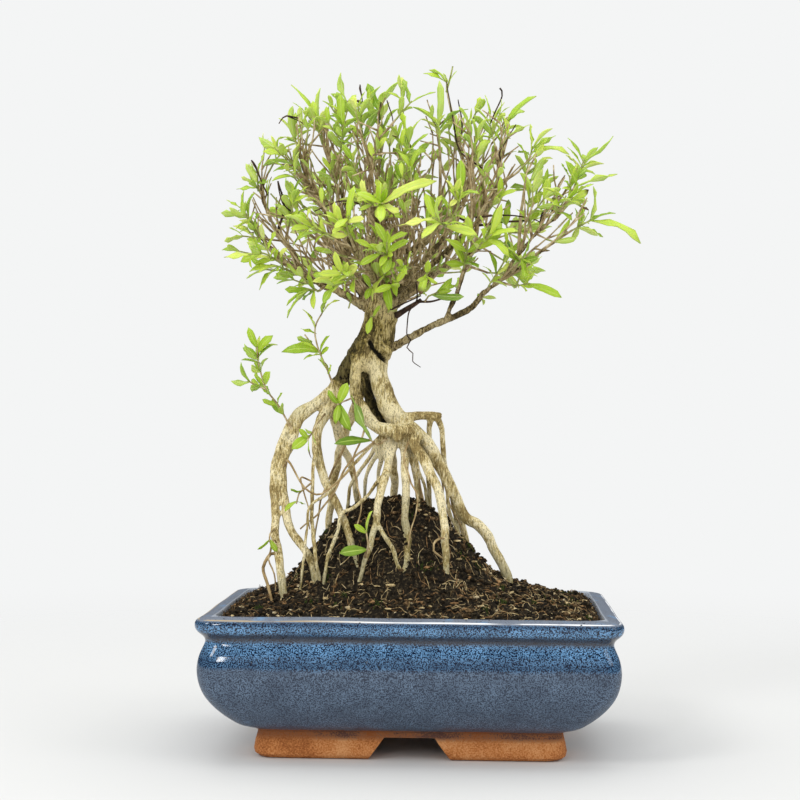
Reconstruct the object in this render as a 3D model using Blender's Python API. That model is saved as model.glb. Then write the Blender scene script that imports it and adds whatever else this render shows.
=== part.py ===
"""Serissa bonsai on exposed roots, in a glazed stoneware pot.

The pot, the soil, the two drain screens and the wood are one node each. Every leafy
spray of the crown and of the low shoots is a node of its own: its green stems and
its leaves are fused, and it starts where the woody twig that carries it ends.

Lists of points are in millimetres, X to the right, Y away from the front, Z up from
the floor, with X = Y = 0 under the middle of the pot.
"""

import math
import random
from dataclasses import dataclass, field

import bmesh
import bpy
from mathutils import Vector, noise
from mathutils.bvhtree import BVHTree

MM = 0.001
GAP = 0.3
PART_NAME = "serissa_bonsai"

# Pot, in millimetres
POT_HALF_WIDTH = 100.0
POT_HALF_DEPTH = 75.0
POT_HEIGHT = 70.0
POT_INSET = POT_HALF_WIDTH - POT_HALF_DEPTH
CORNER_RADIUS = 9.0
CORNER_STEPS = 3
INNER_CORNER_RADIUS = 6.0
FOOT_HEIGHT = 13.3
FOOT_WALL = 16.0
FOOT_FLARE = 2.0
FOOT_EDGE = 1.2
FOOT_EDGE_HEIGHT = 2.4
FOOT_JOINT = 1.5
HOLLOW_RADIUS = 5.0
HOLLOW_TOP = 12.6
BELOW = 1.0
FLOOR_TOP = 20.5
RIM_INNER = 92.0
DRAIN_RADIUS = 8.0
DRAIN_X = 40.0
DRAIN_SIDES = 12
DRAIN_DEPTH = 30.0
DRAIN_MIDDLE = 18.0
NOTCH_TOP = 24.0
NOTCH_BOTTOM = 40.0
NOTCH_HEIGHT = 10.8
# Half-width and height of the outside, from the foot up to the top of the rim
POT_OUTSIDE = (
    (73.6, 13.3), (80.2, 16.0), (88.0, 22.4), (93.0, 27.8), (96.6, 33.0), (98.8, 39.6),
    (99.5, 45.8), (97.8, 53.0), (96.0, 58.0), (98.6, 62.6), (100.0, 66.2), (99.0, 68.8),
)
# Half-width and height of the inside, from the rim down to the floor
POT_INSIDE = ((RIM_INNER, POT_HEIGHT), (90.0, 58.0), (91.6, 45.0), (87.0, 29.0), (76.0, FLOOR_TOP))

# Drain screens
SCREEN_SIZE = 24.0
SCREEN_THICKNESS = 1.2
SCREEN_HOLES = 2
SCREEN_BAR = 1.6

# Soil: a gentle dome that carries a steep clump held by the roots
SOIL_EDGE = 68.3
SOIL_DOME = 15.0
SOIL_CLUMP = 40.0
CLUMP_CENTRE = (-14.0, 3.0)
CLUMP_LEFT = 41.0
CLUMP_RIGHT = 44.0
CLUMP_DEPTH = 34.0
SOIL_REACH_X = 94.0
SOIL_REACH_Y = 68.0
SOIL_ROUGHNESS = 1.2
SOIL_GRAIN = 0.12
SOIL_SCALES = (0.93, 0.74, 0.58, 0.47, 0.36, 0.20)
SOIL_SIDE_STEPS = 2
SOIL_RIM_GAP = 1.1
SOIL_RIM_DROP = 1.0
SOIL_REACH_UP = 120.0
ROOT_CLEARANCE = 0.5

# Leaves and green stems
LEAF_KEEL = 0.9
LEAF_STATIONS = ((0.30, 0.90), (0.66, 0.88))
LEAF_SUNK = 0.3
LEAF_ARCH = 0.16
LEAF_PROBE_START = 1.6
LEAF_NARROWEST = 3.0
LEAF_WIDEST = 5.8
LEAF_ABOVE_SOIL = 3.0
LEAF_SETBACK = 3.0
LEAF_MARGIN = 1.5
NODE_SPACING = 2.4
STEM_RADIUS = 0.75
TWIG_RADIUS = 0.95
TIP_TAPER = 0.1
PAIR_SPACING = 6.5
LOWEST_PAIR = 2.6
FORK_MIDDLE = 5.0
FORK_ANGLE = math.radians(25)
SHORTEST_GREEN = 4.0
CLEARANCE = 0.35
STEM_START_CLEARANCE = 1.6
CROWN_CENTRE = Vector((0.0, 0.0, 255.0))


@dataclass(frozen=True)
class Limb:
    """A length of wood: its points are x, y, z and radius in millimetres."""

    name: str
    points: tuple
    sides: int = 6


@dataclass(frozen=True)
class Spray:
    """A leafy spray and the woody twig that carries it.

    The route runs from the wood to the tip. Its first stretch, woody millimetres
    long, is a twig of the tree. Leaf tips are those of the leaves set by hand, and
    pairs counts the leaf pairs that the rule sets below the tip.
    """

    name: str
    route: tuple
    woody: float
    leaf_tips: tuple = ()
    pairs: int = 1
    leaf: float = 14.5
    forks: int = 0


@dataclass
class Leaf:
    """A blade from its base to its tip, with the side that faces up."""

    base: Vector
    tip: Vector
    up: Vector
    width: float


@dataclass
class Growth:
    """What a spray has grown: green stems as lists of points, and leaves."""

    name: str
    stems: list = field(default_factory=list)
    leaves: list = field(default_factory=list)


TRUNK = (
    Limb("trunk", ((-16, 0, 232, 5.8), (-17, 0, 217, 8.2), (-19, 0, 208, 8.9), (-21, 0, 200, 9.9),
                   (-25, 0, 193, 9.4), (-27, 0, 187, 6.0)), 8),
    Limb("right_trunk", ((-22, 0, 202, 7.0), (-20, -2, 194, 6.0), (-18, -3, 183, 4.9),
                         (-14, -4, 172, 5.2), (-9, -5, 162, 5.3), (-5, -6, 157, 4.4)), 8),
    Limb("left_trunk", ((-25, 0, 200, 6.6), (-32, 0, 191, 5.2), (-36, 1, 185, 4.7), (-39, 2, 178, 4.4),
                        (-42, 1, 171, 4.2))),
    Limb("middle_root", ((-27, -3, 199, 3.6), (-30, -6, 187, 3.1), (-30, -7, 177, 2.8),
                         (-28, -8, 171, 2.8), (-25, -9, 167, 2.9))),
    Limb("shaded_stem", ((-28, 3, 190, 3.4), (-26, 5, 182, 3.0), (-24, 5, 175, 2.8),
                         (-21, 3, 167, 2.8), (-16, 0, 160, 3.0)), 4),
    Limb("root_lobe", ((-25, -9, 167, 2.8), (-22, -11, 162, 3.2), (-17, -12, 158, 3.4),
                       (-11, -13, 157, 3.4), (-5, -12, 157, 3.3), (-2, -11, 158, 2.9),
                       (3, -8, 153, 3.0))),
    Limb("gash_stub", ((-18, -6, 202, 3.0), (-12, -9, 196, 1.6))),
)

ROOTS = (
    Limb("root_right", ((-4, -6, 160, 3.4), (2, -5, 156, 3.3), (8, -4, 148, 3.3),
                        (21, 2, 124, 2.9), (26, 3, 113, 2.8), (35, 2, 107, 2.7), (46, 0, 86, 2.5),
                        (50, 0, 72, 1.8))),
    Limb("root_front_right", ((-2, -8, 157, 2.8), (1, -11, 149, 2.9), (8, -16, 138, 2.6),
                              (14, -21, 122, 2.3), (16, -25, 101, 2.0), (18, -31, 74, 1.4))),
    Limb("root_front", ((-6, -4, 157, 2.6), (-5, -8, 148, 2.3), (-4, -13, 135, 2.1),
                        (-4, -18, 116, 2.0), (-2, -24, 102, 2.1), (-4, -33, 88, 1.7),
                        (-5, -37, 76, 1.2))),
    Limb("root_front_left", ((-9, -4, 156, 2.4), (-11, -9, 147, 2.3), (-14, -15, 136, 2.1),
                             (-17, -21, 124, 2.0), (-18, -25, 110, 1.7), (-23, -33, 94, 1.3),
                             (-28, -40, 74, 0.9))),
    Limb("root_front_fork", ((-17, -25, 111, 1.4), (-14, -28, 106, 1.2), (-10, -30, 100, 1.2),
                             (-7, -32, 93, 1.1), (-5, -34, 84, 0.9)), 4),
    Limb("root_inner", ((-6, -8, 157, 2.2), (-2, -6, 143, 1.4), (1, -3, 132, 1.3), (2, -4, 122, 1.2),
                        (1, -12, 107, 1.2), (1, -19, 98, 1.1), (1, -24, 86, 0.9)), 4),
    Limb("root_stub", ((-12, -6, 157, 3.6), (-14, -8, 150, 2.9), (-14, -9, 145, 2.2),
                       (-13, -10, 139, 0.9))),
    Limb("root_arm", ((-7, -4, 163, 3.2), (-1, -3, 164, 2.4), (4, -1, 165, 2.3), (13, 2, 164, 2.3))),
    Limb("root_arm_drop", ((11, 1, 164, 1.7), (14, 4, 156, 1.5), (14, 8, 146, 1.4), (17, 11, 132, 1.4),
                           (20, 12, 118, 1.3), (23, 13, 100, 1.0)), 4),
    Limb("root_arm_back", ((8, 0, 164, 1.6), (7, 4, 156, 1.4), (6, 9, 142, 1.4), (7, 16, 126, 1.3),
                           (8, 20, 106, 1.0)), 4),
    Limb("root_thin_right", ((12, -3, 142, 1.6), (16, -2, 128, 1.0), (18, -1, 116, 0.9),
                             (23, 0, 103, 0.9), (25, 0, 90, 0.8)), 4),
    Limb("root_thin_middle", ((-2, -6, 152, 1.5), (2, -4, 138, 1.0), (6, 2, 124, 0.9),
                              (8, 5, 108, 0.8)), 4),
    Limb("root_fan_1", ((-12, -8, 157, 1.8), (-19, -3, 149, 1.3), (-26, 3, 139, 1.1),
                        (-33, 7, 128, 1.1), (-36, 9, 106, 0.9)), 4),
    Limb("root_fan_2", ((-14, -8, 157, 1.5), (-22, -11, 149, 1.0), (-32, -16, 138, 0.9),
                        (-41, -22, 127, 0.9), (-50, -26, 119, 0.8), (-52, -27, 106, 0.8),
                        (-54, -29, 88, 0.8), (-55, -30, 74, 0.7)), 4),
    Limb("root_fan_3", ((-15, -8, 156, 1.6), (-19, -4, 145, 1.3), (-24, 0, 135, 1.1),
                        (-25, 3, 122, 1.1), (-26, 6, 104, 0.9)), 4),
    Limb("root_fan_4", ((-13, -9, 154, 1.9), (-16, -6, 146, 1.4), (-18, 0, 134, 1.1),
                        (-18, 6, 120, 1.0), (-18, 9, 104, 0.9)), 4),
    Limb("root_looped", ((-16, -15, 134, 1.2), (-22, -17, 126, 1.0), (-29, -19, 119, 1.0),
                         (-35, -21, 116, 1.0), (-37, -24, 107, 1.0), (-41, -28, 97, 1.0),
                         (-43, -31, 86, 1.0), (-44, -33, 74, 0.8)), 4),
    Limb("root_left_inner", ((-40, 1, 177, 4.3), (-44, 0, 168, 3.4), (-48, -3, 161, 2.8),
                             (-49, -7, 149, 2.5), (-46, -10, 135, 2.3), (-37, -16, 118, 2.1),
                             (-30, -24, 101, 1.9), (-24, -36, 80, 1.2))),
    Limb("root_left_thin", ((-49, -8, 152, 1.6), (-50, -15, 137, 1.1), (-50, -20, 120, 1.1),
                            (-49, -25, 104, 1.1), (-46, -28, 89, 1.0), (-45, -30, 76, 0.8)), 4),
    Limb("root_behind", ((-41, 2, 173, 3.8), (-41, 7, 162, 2.7), (-38, 12, 148, 2.2),
                         (-33, 17, 137, 1.9), (-28, 24, 100, 1.2)), 4),
    Limb("root_left_1", ((-38, 1, 182, 4.0), (-43, 0, 176, 3.4), (-51, -2, 170, 3.0),
                         (-59, -4, 162, 2.6), (-62, -7, 152, 2.4), (-66, -11, 139, 2.3),
                         (-62, -17, 110, 2.2), (-56, -20, 101, 2.1), (-50, -24, 92, 2.0),
                         (-45, -30, 72, 1.3))),
    Limb("root_left_2", ((-51, -2, 170, 2.6), (-58, -4, 166, 2.5), (-64, -6, 157, 2.4),
                         (-68, -9, 146, 2.3), (-70, -12, 133, 2.4), (-69, -17, 114, 2.2),
                         (-67, -24, 100, 2.1), (-63, -31, 78, 2.2), (-61, -33, 66, 1.4))),
    Limb("root_back_left", ((-24, 2, 190, 3.2), (-30, 12, 172, 2.6), (-38, 22, 152, 2.3),
                            (-44, 31, 128, 2.1), (-48, 42, 86, 1.7),
                            (-49, 45, 72, 1.2)), 4),
    Limb("root_back", ((-16, 0, 176, 3.0), (-16, 12, 158, 2.5), (-12, 24, 138, 2.2),
                       (-12, 33, 116, 2.0), (-9, 40, 96, 1.8), (-8, 45, 80, 1.3)), 4),
    Limb("root_back_right", ((-6, -2, 161, 2.8), (4, 8, 150, 2.4), (14, 18, 136, 2.2),
                             (22, 27, 116, 2.0), (26, 33, 98, 1.8), (29, 38, 80, 1.4)), 4),
)

BRANCHES = (
    Limb("branch_right", ((-16, -2, 197, 2.4), (-8, -5, 201, 2.2), (5, -8, 208, 1.8),
                          (16, -11, 213, 1.7), (28, -13, 219, 1.6), (37, -15, 228, 1.4),
                          (52, -18, 238, 1.0)), 4),
    Limb("branch_right_fork", ((16, -12, 214, 1.3), (19, -14, 221, 1.2), (24, -18, 234, 1.0),
                               (28, -19, 247, 1.0), (28, -20, 257, 0.8)), 4),
    Limb("branch_right_rise", ((43, -16, 232, 1.0), (50, -18, 243, 1.0), (60, -19, 255, 0.8),
                               (70, -18, 263, 0.8)), 4),
    Limb("branch_left", ((-18, 0, 214, 2.7), (-26, 0, 220, 2.4), (-36, -1, 226, 2.2),
                         (-48, -2, 231, 1.8), (-58, -4, 236, 1.5), (-73, -6, 248, 1.0),
                         (-80, -6, 256, 0.8)), 4),
    Limb("branch_left_rise", ((-56, -4, 235, 1.3), (-63, -5, 248, 1.2), (-76, 0, 267, 0.9),
                              (-81, 4, 288, 0.8), (-85, 6, 295, 0.8)), 4),
    Limb("branch_up_left", ((-19, 0, 218, 2.6), (-27, 1, 226, 2.2), (-33, 3, 239, 1.9),
                            (-37, 5, 259, 1.4), (-36, 6, 271, 1.1), (-42, 7, 285, 1.0),
                            (-47, 9, 303, 0.8)), 4),
    Limb("branch_up_left_fork", ((-36, 4, 254, 1.1), (-44, 3, 265, 1.0), (-51, 2, 275, 0.9),
                                 (-57, -1, 288, 0.8), (-60, -4, 301, 0.8)), 4),
    Limb("branch_middle", ((-16, 0, 224, 3.0), (-18, 4, 232, 2.5), (-17, 5, 241, 2.1),
                           (-12, 7, 247, 1.8), (2, 8, 252, 1.5), (20, 13, 271, 1.1),
                           (27, 13, 284, 1.0), (21, 12, 306, 0.8)), 4),
    Limb("branch_middle_left", ((-17, 4, 240, 1.4), (-16, 0, 252, 1.2), (-21, -4, 264, 1.0),
                                (-25, -7, 276, 0.8), (-22, -10, 290, 0.8)), 4),
    Limb("branch_up_right", ((-14, 0, 222, 2.5), (-7, -5, 229, 1.9), (5, -8, 238, 1.7),
                             (25, -14, 256, 1.3), (36, -13, 268, 1.0), (41, -12, 280, 0.9),
                             (41, -12, 293, 0.8)), 4),
    Limb("branch_upright", ((-19, -2, 222, 2.4), (-19, -3, 242, 1.9), (-18, -4, 258, 1.4),
                            (-16, -4, 276, 1.0)), 4),
    Limb("branch_upright_right", ((-14, -2, 222, 1.9), (-9, -4, 242, 1.5), (-4, -6, 257, 1.1),
                                  (2, -8, 273, 0.8)), 4),
    Limb("branch_front_left", ((-16, -3, 222, 2.2), (-20, -18, 232, 1.7), (-26, -34, 242, 1.3),
                               (-32, -46, 250, 1.0)), 4),
    Limb("branch_front_right", ((-12, -4, 224, 2.1), (0, -22, 236, 1.6), (11, -36, 246, 1.3),
                                (18, -46, 254, 1.0)), 4),
    Limb("branch_back_left", ((-18, 2, 222, 2.2), (-30, 18, 235, 1.7), (-42, 32, 248, 1.3),
                              (-52, 44, 260, 1.0)), 4),
    Limb("branch_back_right", ((-13, 3, 222, 2.2), (4, 18, 235, 1.7), (22, 31, 247, 1.3),
                               (38, 41, 258, 1.0)), 4),
    Limb("branch_back", ((-16, 3, 226, 2.2), (-14, 22, 243, 1.6), (-10, 38, 260, 1.2),
                         (-8, 50, 276, 1.0)), 4),
    Limb("branch_back_low", ((-14, 4, 218, 1.8), (-6, 24, 226, 1.4), (4, 42, 235, 1.0),
                             (10, 54, 244, 0.8)), 4),
    Limb("stump_left", ((-34, 4, 246, 3.6), (-41, 1, 249, 3.2)), 6),
    Limb("stump_right", ((-10, -3, 215, 2.8), (3, -7, 223, 1.6)), 6),
    Limb("dead_twig_right", ((2, -7, 222, 1.2), (9, -10, 222, 0.9), (19, -13, 225, 0.7)), 4),
    Limb("dead_tendril", ((0, -7, 220, 1.0), (-2, -10, 214, 0.7), (-3, -10, 206, 0.7),
                          (1, -11, 196, 0.6)), 4),
    Limb("dead_twig_low", ((-46, -2, 229, 1.2), (-41, -7, 241, 0.9), (-43, -9, 247, 0.7)), 4),
    Limb("dead_twig_far", ((-70, -2, 259, 1.2), (-67, -4, 271, 0.9), (-70, -6, 283, 0.7)), 4),
    Limb("dead_twig_level", ((30, 8, 262, 1.1), (46, 5, 264, 1.0), (58, 2, 264, 0.8)), 4),
    Limb("dead_twig_root", ((19, 11, 268, 1.4), (30, 8, 262, 1.1)), 4),
    Limb("dead_stub_right", ((62, -19, 258, 1.0), (64, -12, 267, 0.9), (72, -10, 269, 0.9)), 4),
)

SPRAYS = (
    # Left side, as in front view
    Spray("far_left", ((-73, -6, 249), (-78, -11, 256), (-83, -14, 263), (-88, -14, 269)), 9,
          ((-95, -16, 272), (-92, -12, 265), (-87, -10, 278), (-80, -18, 276))),
    Spray("far_left_high", ((-79, 2, 276), (-81, -2, 280), (-83, -4, 283)), 2.5,
          ((-86, 0, 293), (-89, -6, 285), (-92, -2, 279)), pairs=0),
    Spray("left_yellow", ((-69, -5, 244), (-75, -14, 249), (-81, -20, 254), (-84, -22, 258)), 11,
          ((-87, -24, 255), (-79, -24, 266))),
    Spray("left_single", ((-60, -4, 237), (-66, -18, 240), (-74, -30, 244), (-81, -34, 243)), 18,
          ((-93, -36, 241), (-78, -32, 252), (-79, -36, 236)), pairs=2),
    Spray("left_star", ((-56, -4, 235), (-61, -16, 236), (-67, -24, 238), (-71, -26, 239)), 14,
          ((-82, -26, 236), (-82, -30, 243), (-78, -22, 227), (-76, -34, 234)), forks=1),
    Spray("left_under", ((-46, -2, 230), (-48, -12, 227), (-51, -19, 227), (-54, -21, 227)), 11,
          ((-64, -20, 219), (-64, -24, 213), (-50, -22, 217), (-65, -18, 228)), pairs=0),
    Spray("upper_left_low", ((-66, -4, 253), (-63, -12, 262), (-61, -16, 270), (-60, -17, 275)), 10,
          ((-71, -12, 271), (-58, -16, 284), (-66, -20, 283)), pairs=2),
    Spray("upper_left", ((-55, 0, 283), (-61, -5, 290), (-66, -8, 297)), 7,
          ((-80, -8, 305), (-68, -4, 288), (-69, -12, 302)), pairs=2),
    Spray("upper_left_tip", ((-59, -3, 296), (-62, 2, 304), (-65, 5, 311)), 7,
          ((-71, 4, 317), (-54, 4, 311))),
    # Top of the crown, left to right
    Spray("top_left", ((-45, 8, 294), (-49, 10, 306), (-51, 10, 317)), 12,
          ((-65, 11, 336), (-59, 8, 322), (-51, 12, 334), (-44, 7, 325))),
    Spray("top_left_back", ((-46, 9, 299), (-42, 17, 309), (-38, 22, 320), (-37, 23, 329)), 14,
          ((-42, 24, 344), (-46, 22, 333), (-33, 28, 334))),
    Spray("top_left_front", ((-42, 7, 285), (-39, -4, 296), (-37, -9, 304), (-37, -11, 311)), 17,
          ((-38, -12, 326), (-42, -16, 316)), pairs=2),
    Spray("top_bud", ((-22, -10, 290), (-25, -3, 300), (-28, 0, 310), (-28, 0, 320)), 14,
          ((-19, 1, 333), (-34, -3, 326)), pairs=2),
    Spray("top_middle_back", ((-23, -8, 286), (-19, 4, 298), (-18, 12, 312), (-20, 14, 325)), 22,
          ((-10, 14, 338), (-15, 10, 336), (-26, 16, 337)), pairs=2),
    Spray("top_long_twig", ((-22, -10, 290), (-19, -11, 302), (-10, -13, 313), (-2, -14, 322)), 26,
          ((-7, -15, 333), (10, -14, 327), (-8, -18, 318)), pairs=0),
    Spray("top_front", ((-19, -3, 260), (-10, -16, 274), (-3, -21, 290), (-3, -22, 302)), 30,
          ((-6, -24, 315), (2, -22, 312), (3, -26, 294)), pairs=2),
    Spray("top_highest", ((21, 12, 306), (18, 9, 318), (15, 8, 332), (15, 8, 337)), 25,
          ((3, 7, 341), (8, 10, 343), (20, 8, 342)), pairs=0),
    Spray("top_upright", ((14, 10, 261), (12, 0, 282), (12, -5, 298), (11, -5, 313)), 42,
          ((12, -6, 334), (-2, -6, 321), (24, -5, 322)), pairs=2, leaf=11.0),
    Spray("top_right_back", ((25, 13, 288), (22, 17, 300), (19, 18, 309)), 12,
          ((18, 20, 323), (32, 17, 320)), forks=1),
    Spray("top_right_front", ((36, -13, 268), (33, -18, 282), (30, -20, 293), (30, -20, 301)), 20,
          ((28, -21, 313), (35, -22, 313)), pairs=2),
    Spray("top_right_yellow", ((41, -12, 291), (40, -6, 300), (38, -2, 308), (37, -1, 313)), 12,
          ((35, 0, 328), (30, -2, 321), (44, -2, 324))),
    Spray("top_right_large", ((41, -12, 284), (42, 0, 296), (43, 9, 308), (46, 12, 317)), 24,
          ((61, 13, 330), (54, 16, 328), (38, 16, 322)), leaf=12.0),
    # Right side
    Spray("right_top", ((50, -17, 246), (53, -12, 268), (56, -4, 290), (59, 4, 302)), 40,
          ((69, 6, 312), (71, 2, 307), (78, 6, 302), (57, 6, 314)), pairs=2),
    Spray("right_middle", ((58, -19, 253), (56, -14, 266), (55, -8, 278), (57, -5, 288)), 14,
          ((49, -4, 294), (64, -8, 295), (70, -4, 287), (44, -6, 282)), pairs=2),
    Spray("right_yellow", ((52, -18, 245), (56, -22, 258), (58, -24, 270), (58, -24, 276)), 14,
          ((57, -26, 264), (63, -27, 282), (68, -22, 266)), pairs=0),
    Spray("right_outer_top", ((70, -18, 263), (78, -15, 276), (82, -14, 287), (84, -14, 293)), 18,
          ((76, -14, 304), (99, -14, 304), (93, -16, 292), (79, -16, 300))),
    Spray("right_outer_middle", ((69, -18, 262), (75, -24, 268), (78, -27, 274), (80, -28, 279)), 8,
          ((100, -26, 283), (74, -30, 290), (87, -34, 277))),
    Spray("right_outer_low", ((63, -19, 257), (68, -26, 262), (72, -32, 268), (74, -34, 272)), 9,
          ((62, -36, 276), (85, -36, 264), (80, -38, 278)), forks=1),
    Spray("right_far", ((52, -18, 238), (62, -21, 246), (77, -23, 256), (88, -24, 262)), 32,
          ((89, -24, 278), (113, -24, 254), (79, -28, 267), (99, -22, 266))),
    Spray("right_low", ((42, -16, 231), (50, -22, 229), (57, -25, 230)), 8,
          ((73, -26, 223), (55, -28, 241), (61, -22, 238)), pairs=0),
    Spray("right_cluster", ((48, -17, 236), (51, -27, 239), (53, -35, 242)), 10,
          ((61, -38, 235), (54, -38, 231), (46, -44, 246), (57, -36, 251)), pairs=0),
    Spray("middle_right_long", ((25, -18, 238), (28, -30, 243), (33, -40, 248), (38, -44, 252)), 16,
          ((43, -44, 267), (51, -44, 254), (28, -50, 252), (47, -48, 243))),
    Spray("middle_right_low", ((21, -15, 226), (24, -22, 236), (26, -30, 245), (27, -32, 251)), 14,
          ((36, -34, 245), (15, -32, 239)), pairs=2),
    Spray("trunk_leaves", ((-13, -5, 226), (-14, -15, 231), (-15, -22, 235)), 11,
          ((-11, -26, 217), (1, -26, 236), (-26, -26, 226)), pairs=0, leaf=9.0),
    # Front of the crown
    Spray("front_pale", ((18, -46, 254), (16, -54, 255), (12, -61, 257), (10, -63, 258)), 6,
          ((31, -64, 250), (-6, -66, 253), (6, -62, 270))),
    Spray("front_pale_high", ((-22, -8, 270), (-18, -30, 268), (-16, -48, 265), (-14, -60, 265)), 36,
          ((10, -66, 277), (-26, -68, 269), (-14, -72, 255)), forks=1),
    Spray("front_broad", ((13, -38, 248), (18, -44, 258), (22, -50, 266), (23, -52, 272)), 12,
          ((23, -54, 287), (32, -58, 270)), leaf=14.0),
    Spray("front_middle", ((-6, -14, 230), (-9, -34, 236), (-12, -50, 242), (-12, -56, 247)), 26,
          ((-15, -58, 235), (-3, -60, 252), (-17, -62, 256)), pairs=2),
    Spray("front_left_broad", ((-32, -46, 250), (-39, -49, 251), (-46, -52, 253), (-50, -53, 255)), 6,
          ((-31, -56, 250), (-61, -56, 260), (-56, -58, 247)), leaf=14.0),
    Spray("front_left_tall", ((-28, -38, 244), (-30, -48, 250), (-31, -56, 255), (-30, -60, 259)), 10,
          ((-27, -62, 273), (-36, -68, 252), (-22, -68, 257))),
    Spray("front_left_low", ((-22, -22, 235), (-28, -36, 231), (-32, -46, 232), (-34, -50, 233)), 14,
          ((-37, -54, 243), (-45, -54, 232), (-30, -60, 233)), forks=1),
    # Back of the crown
    Spray("back_left_far", ((-52, 44, 260), (-60, 49, 264), (-68, 51, 268), (-73, 51, 271)),
          6, pairs=2, forks=1),
    Spray("back_left_high", ((-46, 36, 252), (-49, 40, 266), (-52, 42, 280), (-53, 42, 288)),
          14, pairs=2, forks=1),
    Spray("back_left_low", ((-36, 26, 242), (-48, 30, 240), (-60, 33, 240), (-66, 34, 241)),
          14, pairs=2, forks=1),
    Spray("back_left_inner", ((-37, 6, 264), (-42, 22, 276), (-44, 31, 290), (-44, 34, 300)),
          24, pairs=2, forks=1),
    Spray("back_middle", ((-8, 50, 276), (-12, 56, 282), (-16, 61, 288), (-18, 63, 293)),
          5, pairs=2, forks=1),
    Spray("back_middle_high", ((-12, 32, 254), (-6, 36, 272), (-3, 37, 290), (-2, 36, 302)),
          24, pairs=2, forks=1),
    Spray("back_low", ((10, 54, 244), (10, 61, 248), (8, 67, 251), (7, 69, 253)), 4, pairs=2, forks=1),
    Spray("back_right_far", ((38, 41, 258), (48, 46, 262), (58, 48, 267), (63, 48, 271)),
          7, pairs=2, forks=1),
    Spray("back_right_high", ((30, 36, 252), (32, 40, 268), (34, 40, 282), (34, 39, 292)),
          16, pairs=2, forks=1),
    Spray("back_right_low", ((20, 30, 245), (36, 32, 240), (50, 33, 240), (57, 33, 242)),
          18, pairs=2, forks=1),
)
LOW_SPRAYS = (
    Spray("low_far_left", ((-62, -6, 156), (-68, -12, 169), (-74, -17, 178), (-77, -20, 189),
                           (-78, -22, 199)),
          8,
          ((-82, -26, 208), (-68, -16, 200), (-71, -28, 204), (-86, -22, 192)), pairs=2, leaf=10.0),
    Spray("low_left", ((-40, 0, 176), (-44, -5, 187), (-49, -9, 199), (-50, -10, 209), (-46, -11, 217)), 5,
          ((-67, -12, 198), (-43, -12, 199), (-56, -14, 193), (-58, -8, 208), (-39, -13, 224)), pairs=0,
          leaf=10.0),
    Spray("front_pair", ((-13, -10, 153), (-18, -16, 150), (-22, -20, 153)), 4,
          ((-30, -24, 175), (-39, -26, 151)), pairs=0),
    Spray("base_shoot", ((-23, -33, 95), (-21, -38, 102), (-22, -39, 109)), 4,
          ((-35, -42, 98), (-19, -42, 119), (-28, -40, 112)), pairs=0, leaf=9.0),
)


def lerp(start, end, share):
    """Return the value that lies the given share of the way from start to end."""
    return start + (end - start) * share


def soil_height(x, y):
    """Return the height of the soil surface in millimetres at a place in the pot."""
    dome = SOIL_DOME * (1 - (x / SOIL_REACH_X) ** 2) * (1 - (y / SOIL_REACH_Y) ** 2)
    reach = CLUMP_LEFT if x < CLUMP_CENTRE[0] else CLUMP_RIGHT
    distance = math.hypot((x - CLUMP_CENTRE[0]) / reach, (y - CLUMP_CENTRE[1]) / CLUMP_DEPTH)
    clump = SOIL_CLUMP * math.exp(-distance ** 3)
    rough = SOIL_ROUGHNESS * noise.noise(Vector((x, y, 0.0)) * SOIL_GRAIN)
    return SOIL_EDGE + max(dome, 0.0) + clump + rough


def path_length(points):
    """Return the length of a polyline."""
    return sum((b - a).length for a, b in zip(points, points[1:]))


def point_along(points, distance):
    """Return the point and the direction at a distance along a polyline."""
    for a, b in zip(points, points[1:]):
        step = (b - a).length
        if distance <= step:
            return a.lerp(b, distance / step), (b - a).normalized()
        distance -= step
    return points[-1].copy(), (points[-1] - points[-2]).normalized()


def cut_path(points, distance):
    """Split a polyline at a distance from its start into two polylines."""
    place, direction = point_along(points, distance)
    before = []
    travelled = 0.0
    for index, point in enumerate(points):
        if index:
            travelled += (point - points[index - 1]).length
        if travelled < distance - 1.0:
            before.append(point)
    after = points[len(before):]
    after = [p for p in after if (p - place).dot(direction) > 1.5]
    return before + [place], [place + direction * GAP] + after


def nearest_along(points, target):
    """Return how far along a polyline its nearest point to the target lies."""
    best = (1e9, 0.0)
    travelled = 0.0
    for a, b in zip(points, points[1:]):
        step = b - a
        share = min(max((target - a).dot(step) / step.length_squared, 0.0), 1.0)
        best = min(best, ((target - a.lerp(b, share)).length, travelled + share * step.length))
        travelled += step.length
    return best[1]


def nearest_on_wood(target):
    """Return the point on the axes of the wood nearest to the target."""
    best = (1e9, target)
    for limb in TRUNK + ROOTS + BRANCHES:
        axis = [Vector(p[:3]) for p in limb.points]
        place, _ = point_along(axis, nearest_along(axis, target))
        best = min(best, ((target - place).length, place), key=lambda pair: pair[0])
    return best[1]


def faces_of_tube(rings, sides):
    """Return the faces of a tube of rings with the given number of sides."""
    faces = []
    for ring in range(rings - 1):
        for side in range(sides):
            a = ring * sides + side
            b = ring * sides + (side + 1) % sides
            faces.append((a, b, b + sides, a + sides))
    return faces


def tube_shape(points, radii, sides=4):
    """Return the vertices and faces of a plain open tube, for testing room only."""
    vertices = []
    for index, point in enumerate(points):
        ahead = points[min(index + 1, len(points) - 1)]
        behind = points[max(index - 1, 0)]
        axis = (ahead - behind).normalized()
        side = axis.orthogonal().normalized()
        other = axis.cross(side)
        for step in range(sides):
            angle = math.tau * step / sides
            aside = side * math.cos(angle) + other * math.sin(angle)
            vertices.append(point + aside * radii[index])
    return vertices, faces_of_tube(len(points), sides)


def leaf_frame(leaf):
    """Return a leaf's direction, its sideways direction and its upward direction."""
    direction = (leaf.tip - leaf.base).normalized()
    side = direction.cross(leaf.up).normalized()
    return direction, side, side.cross(direction).normalized()


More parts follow.
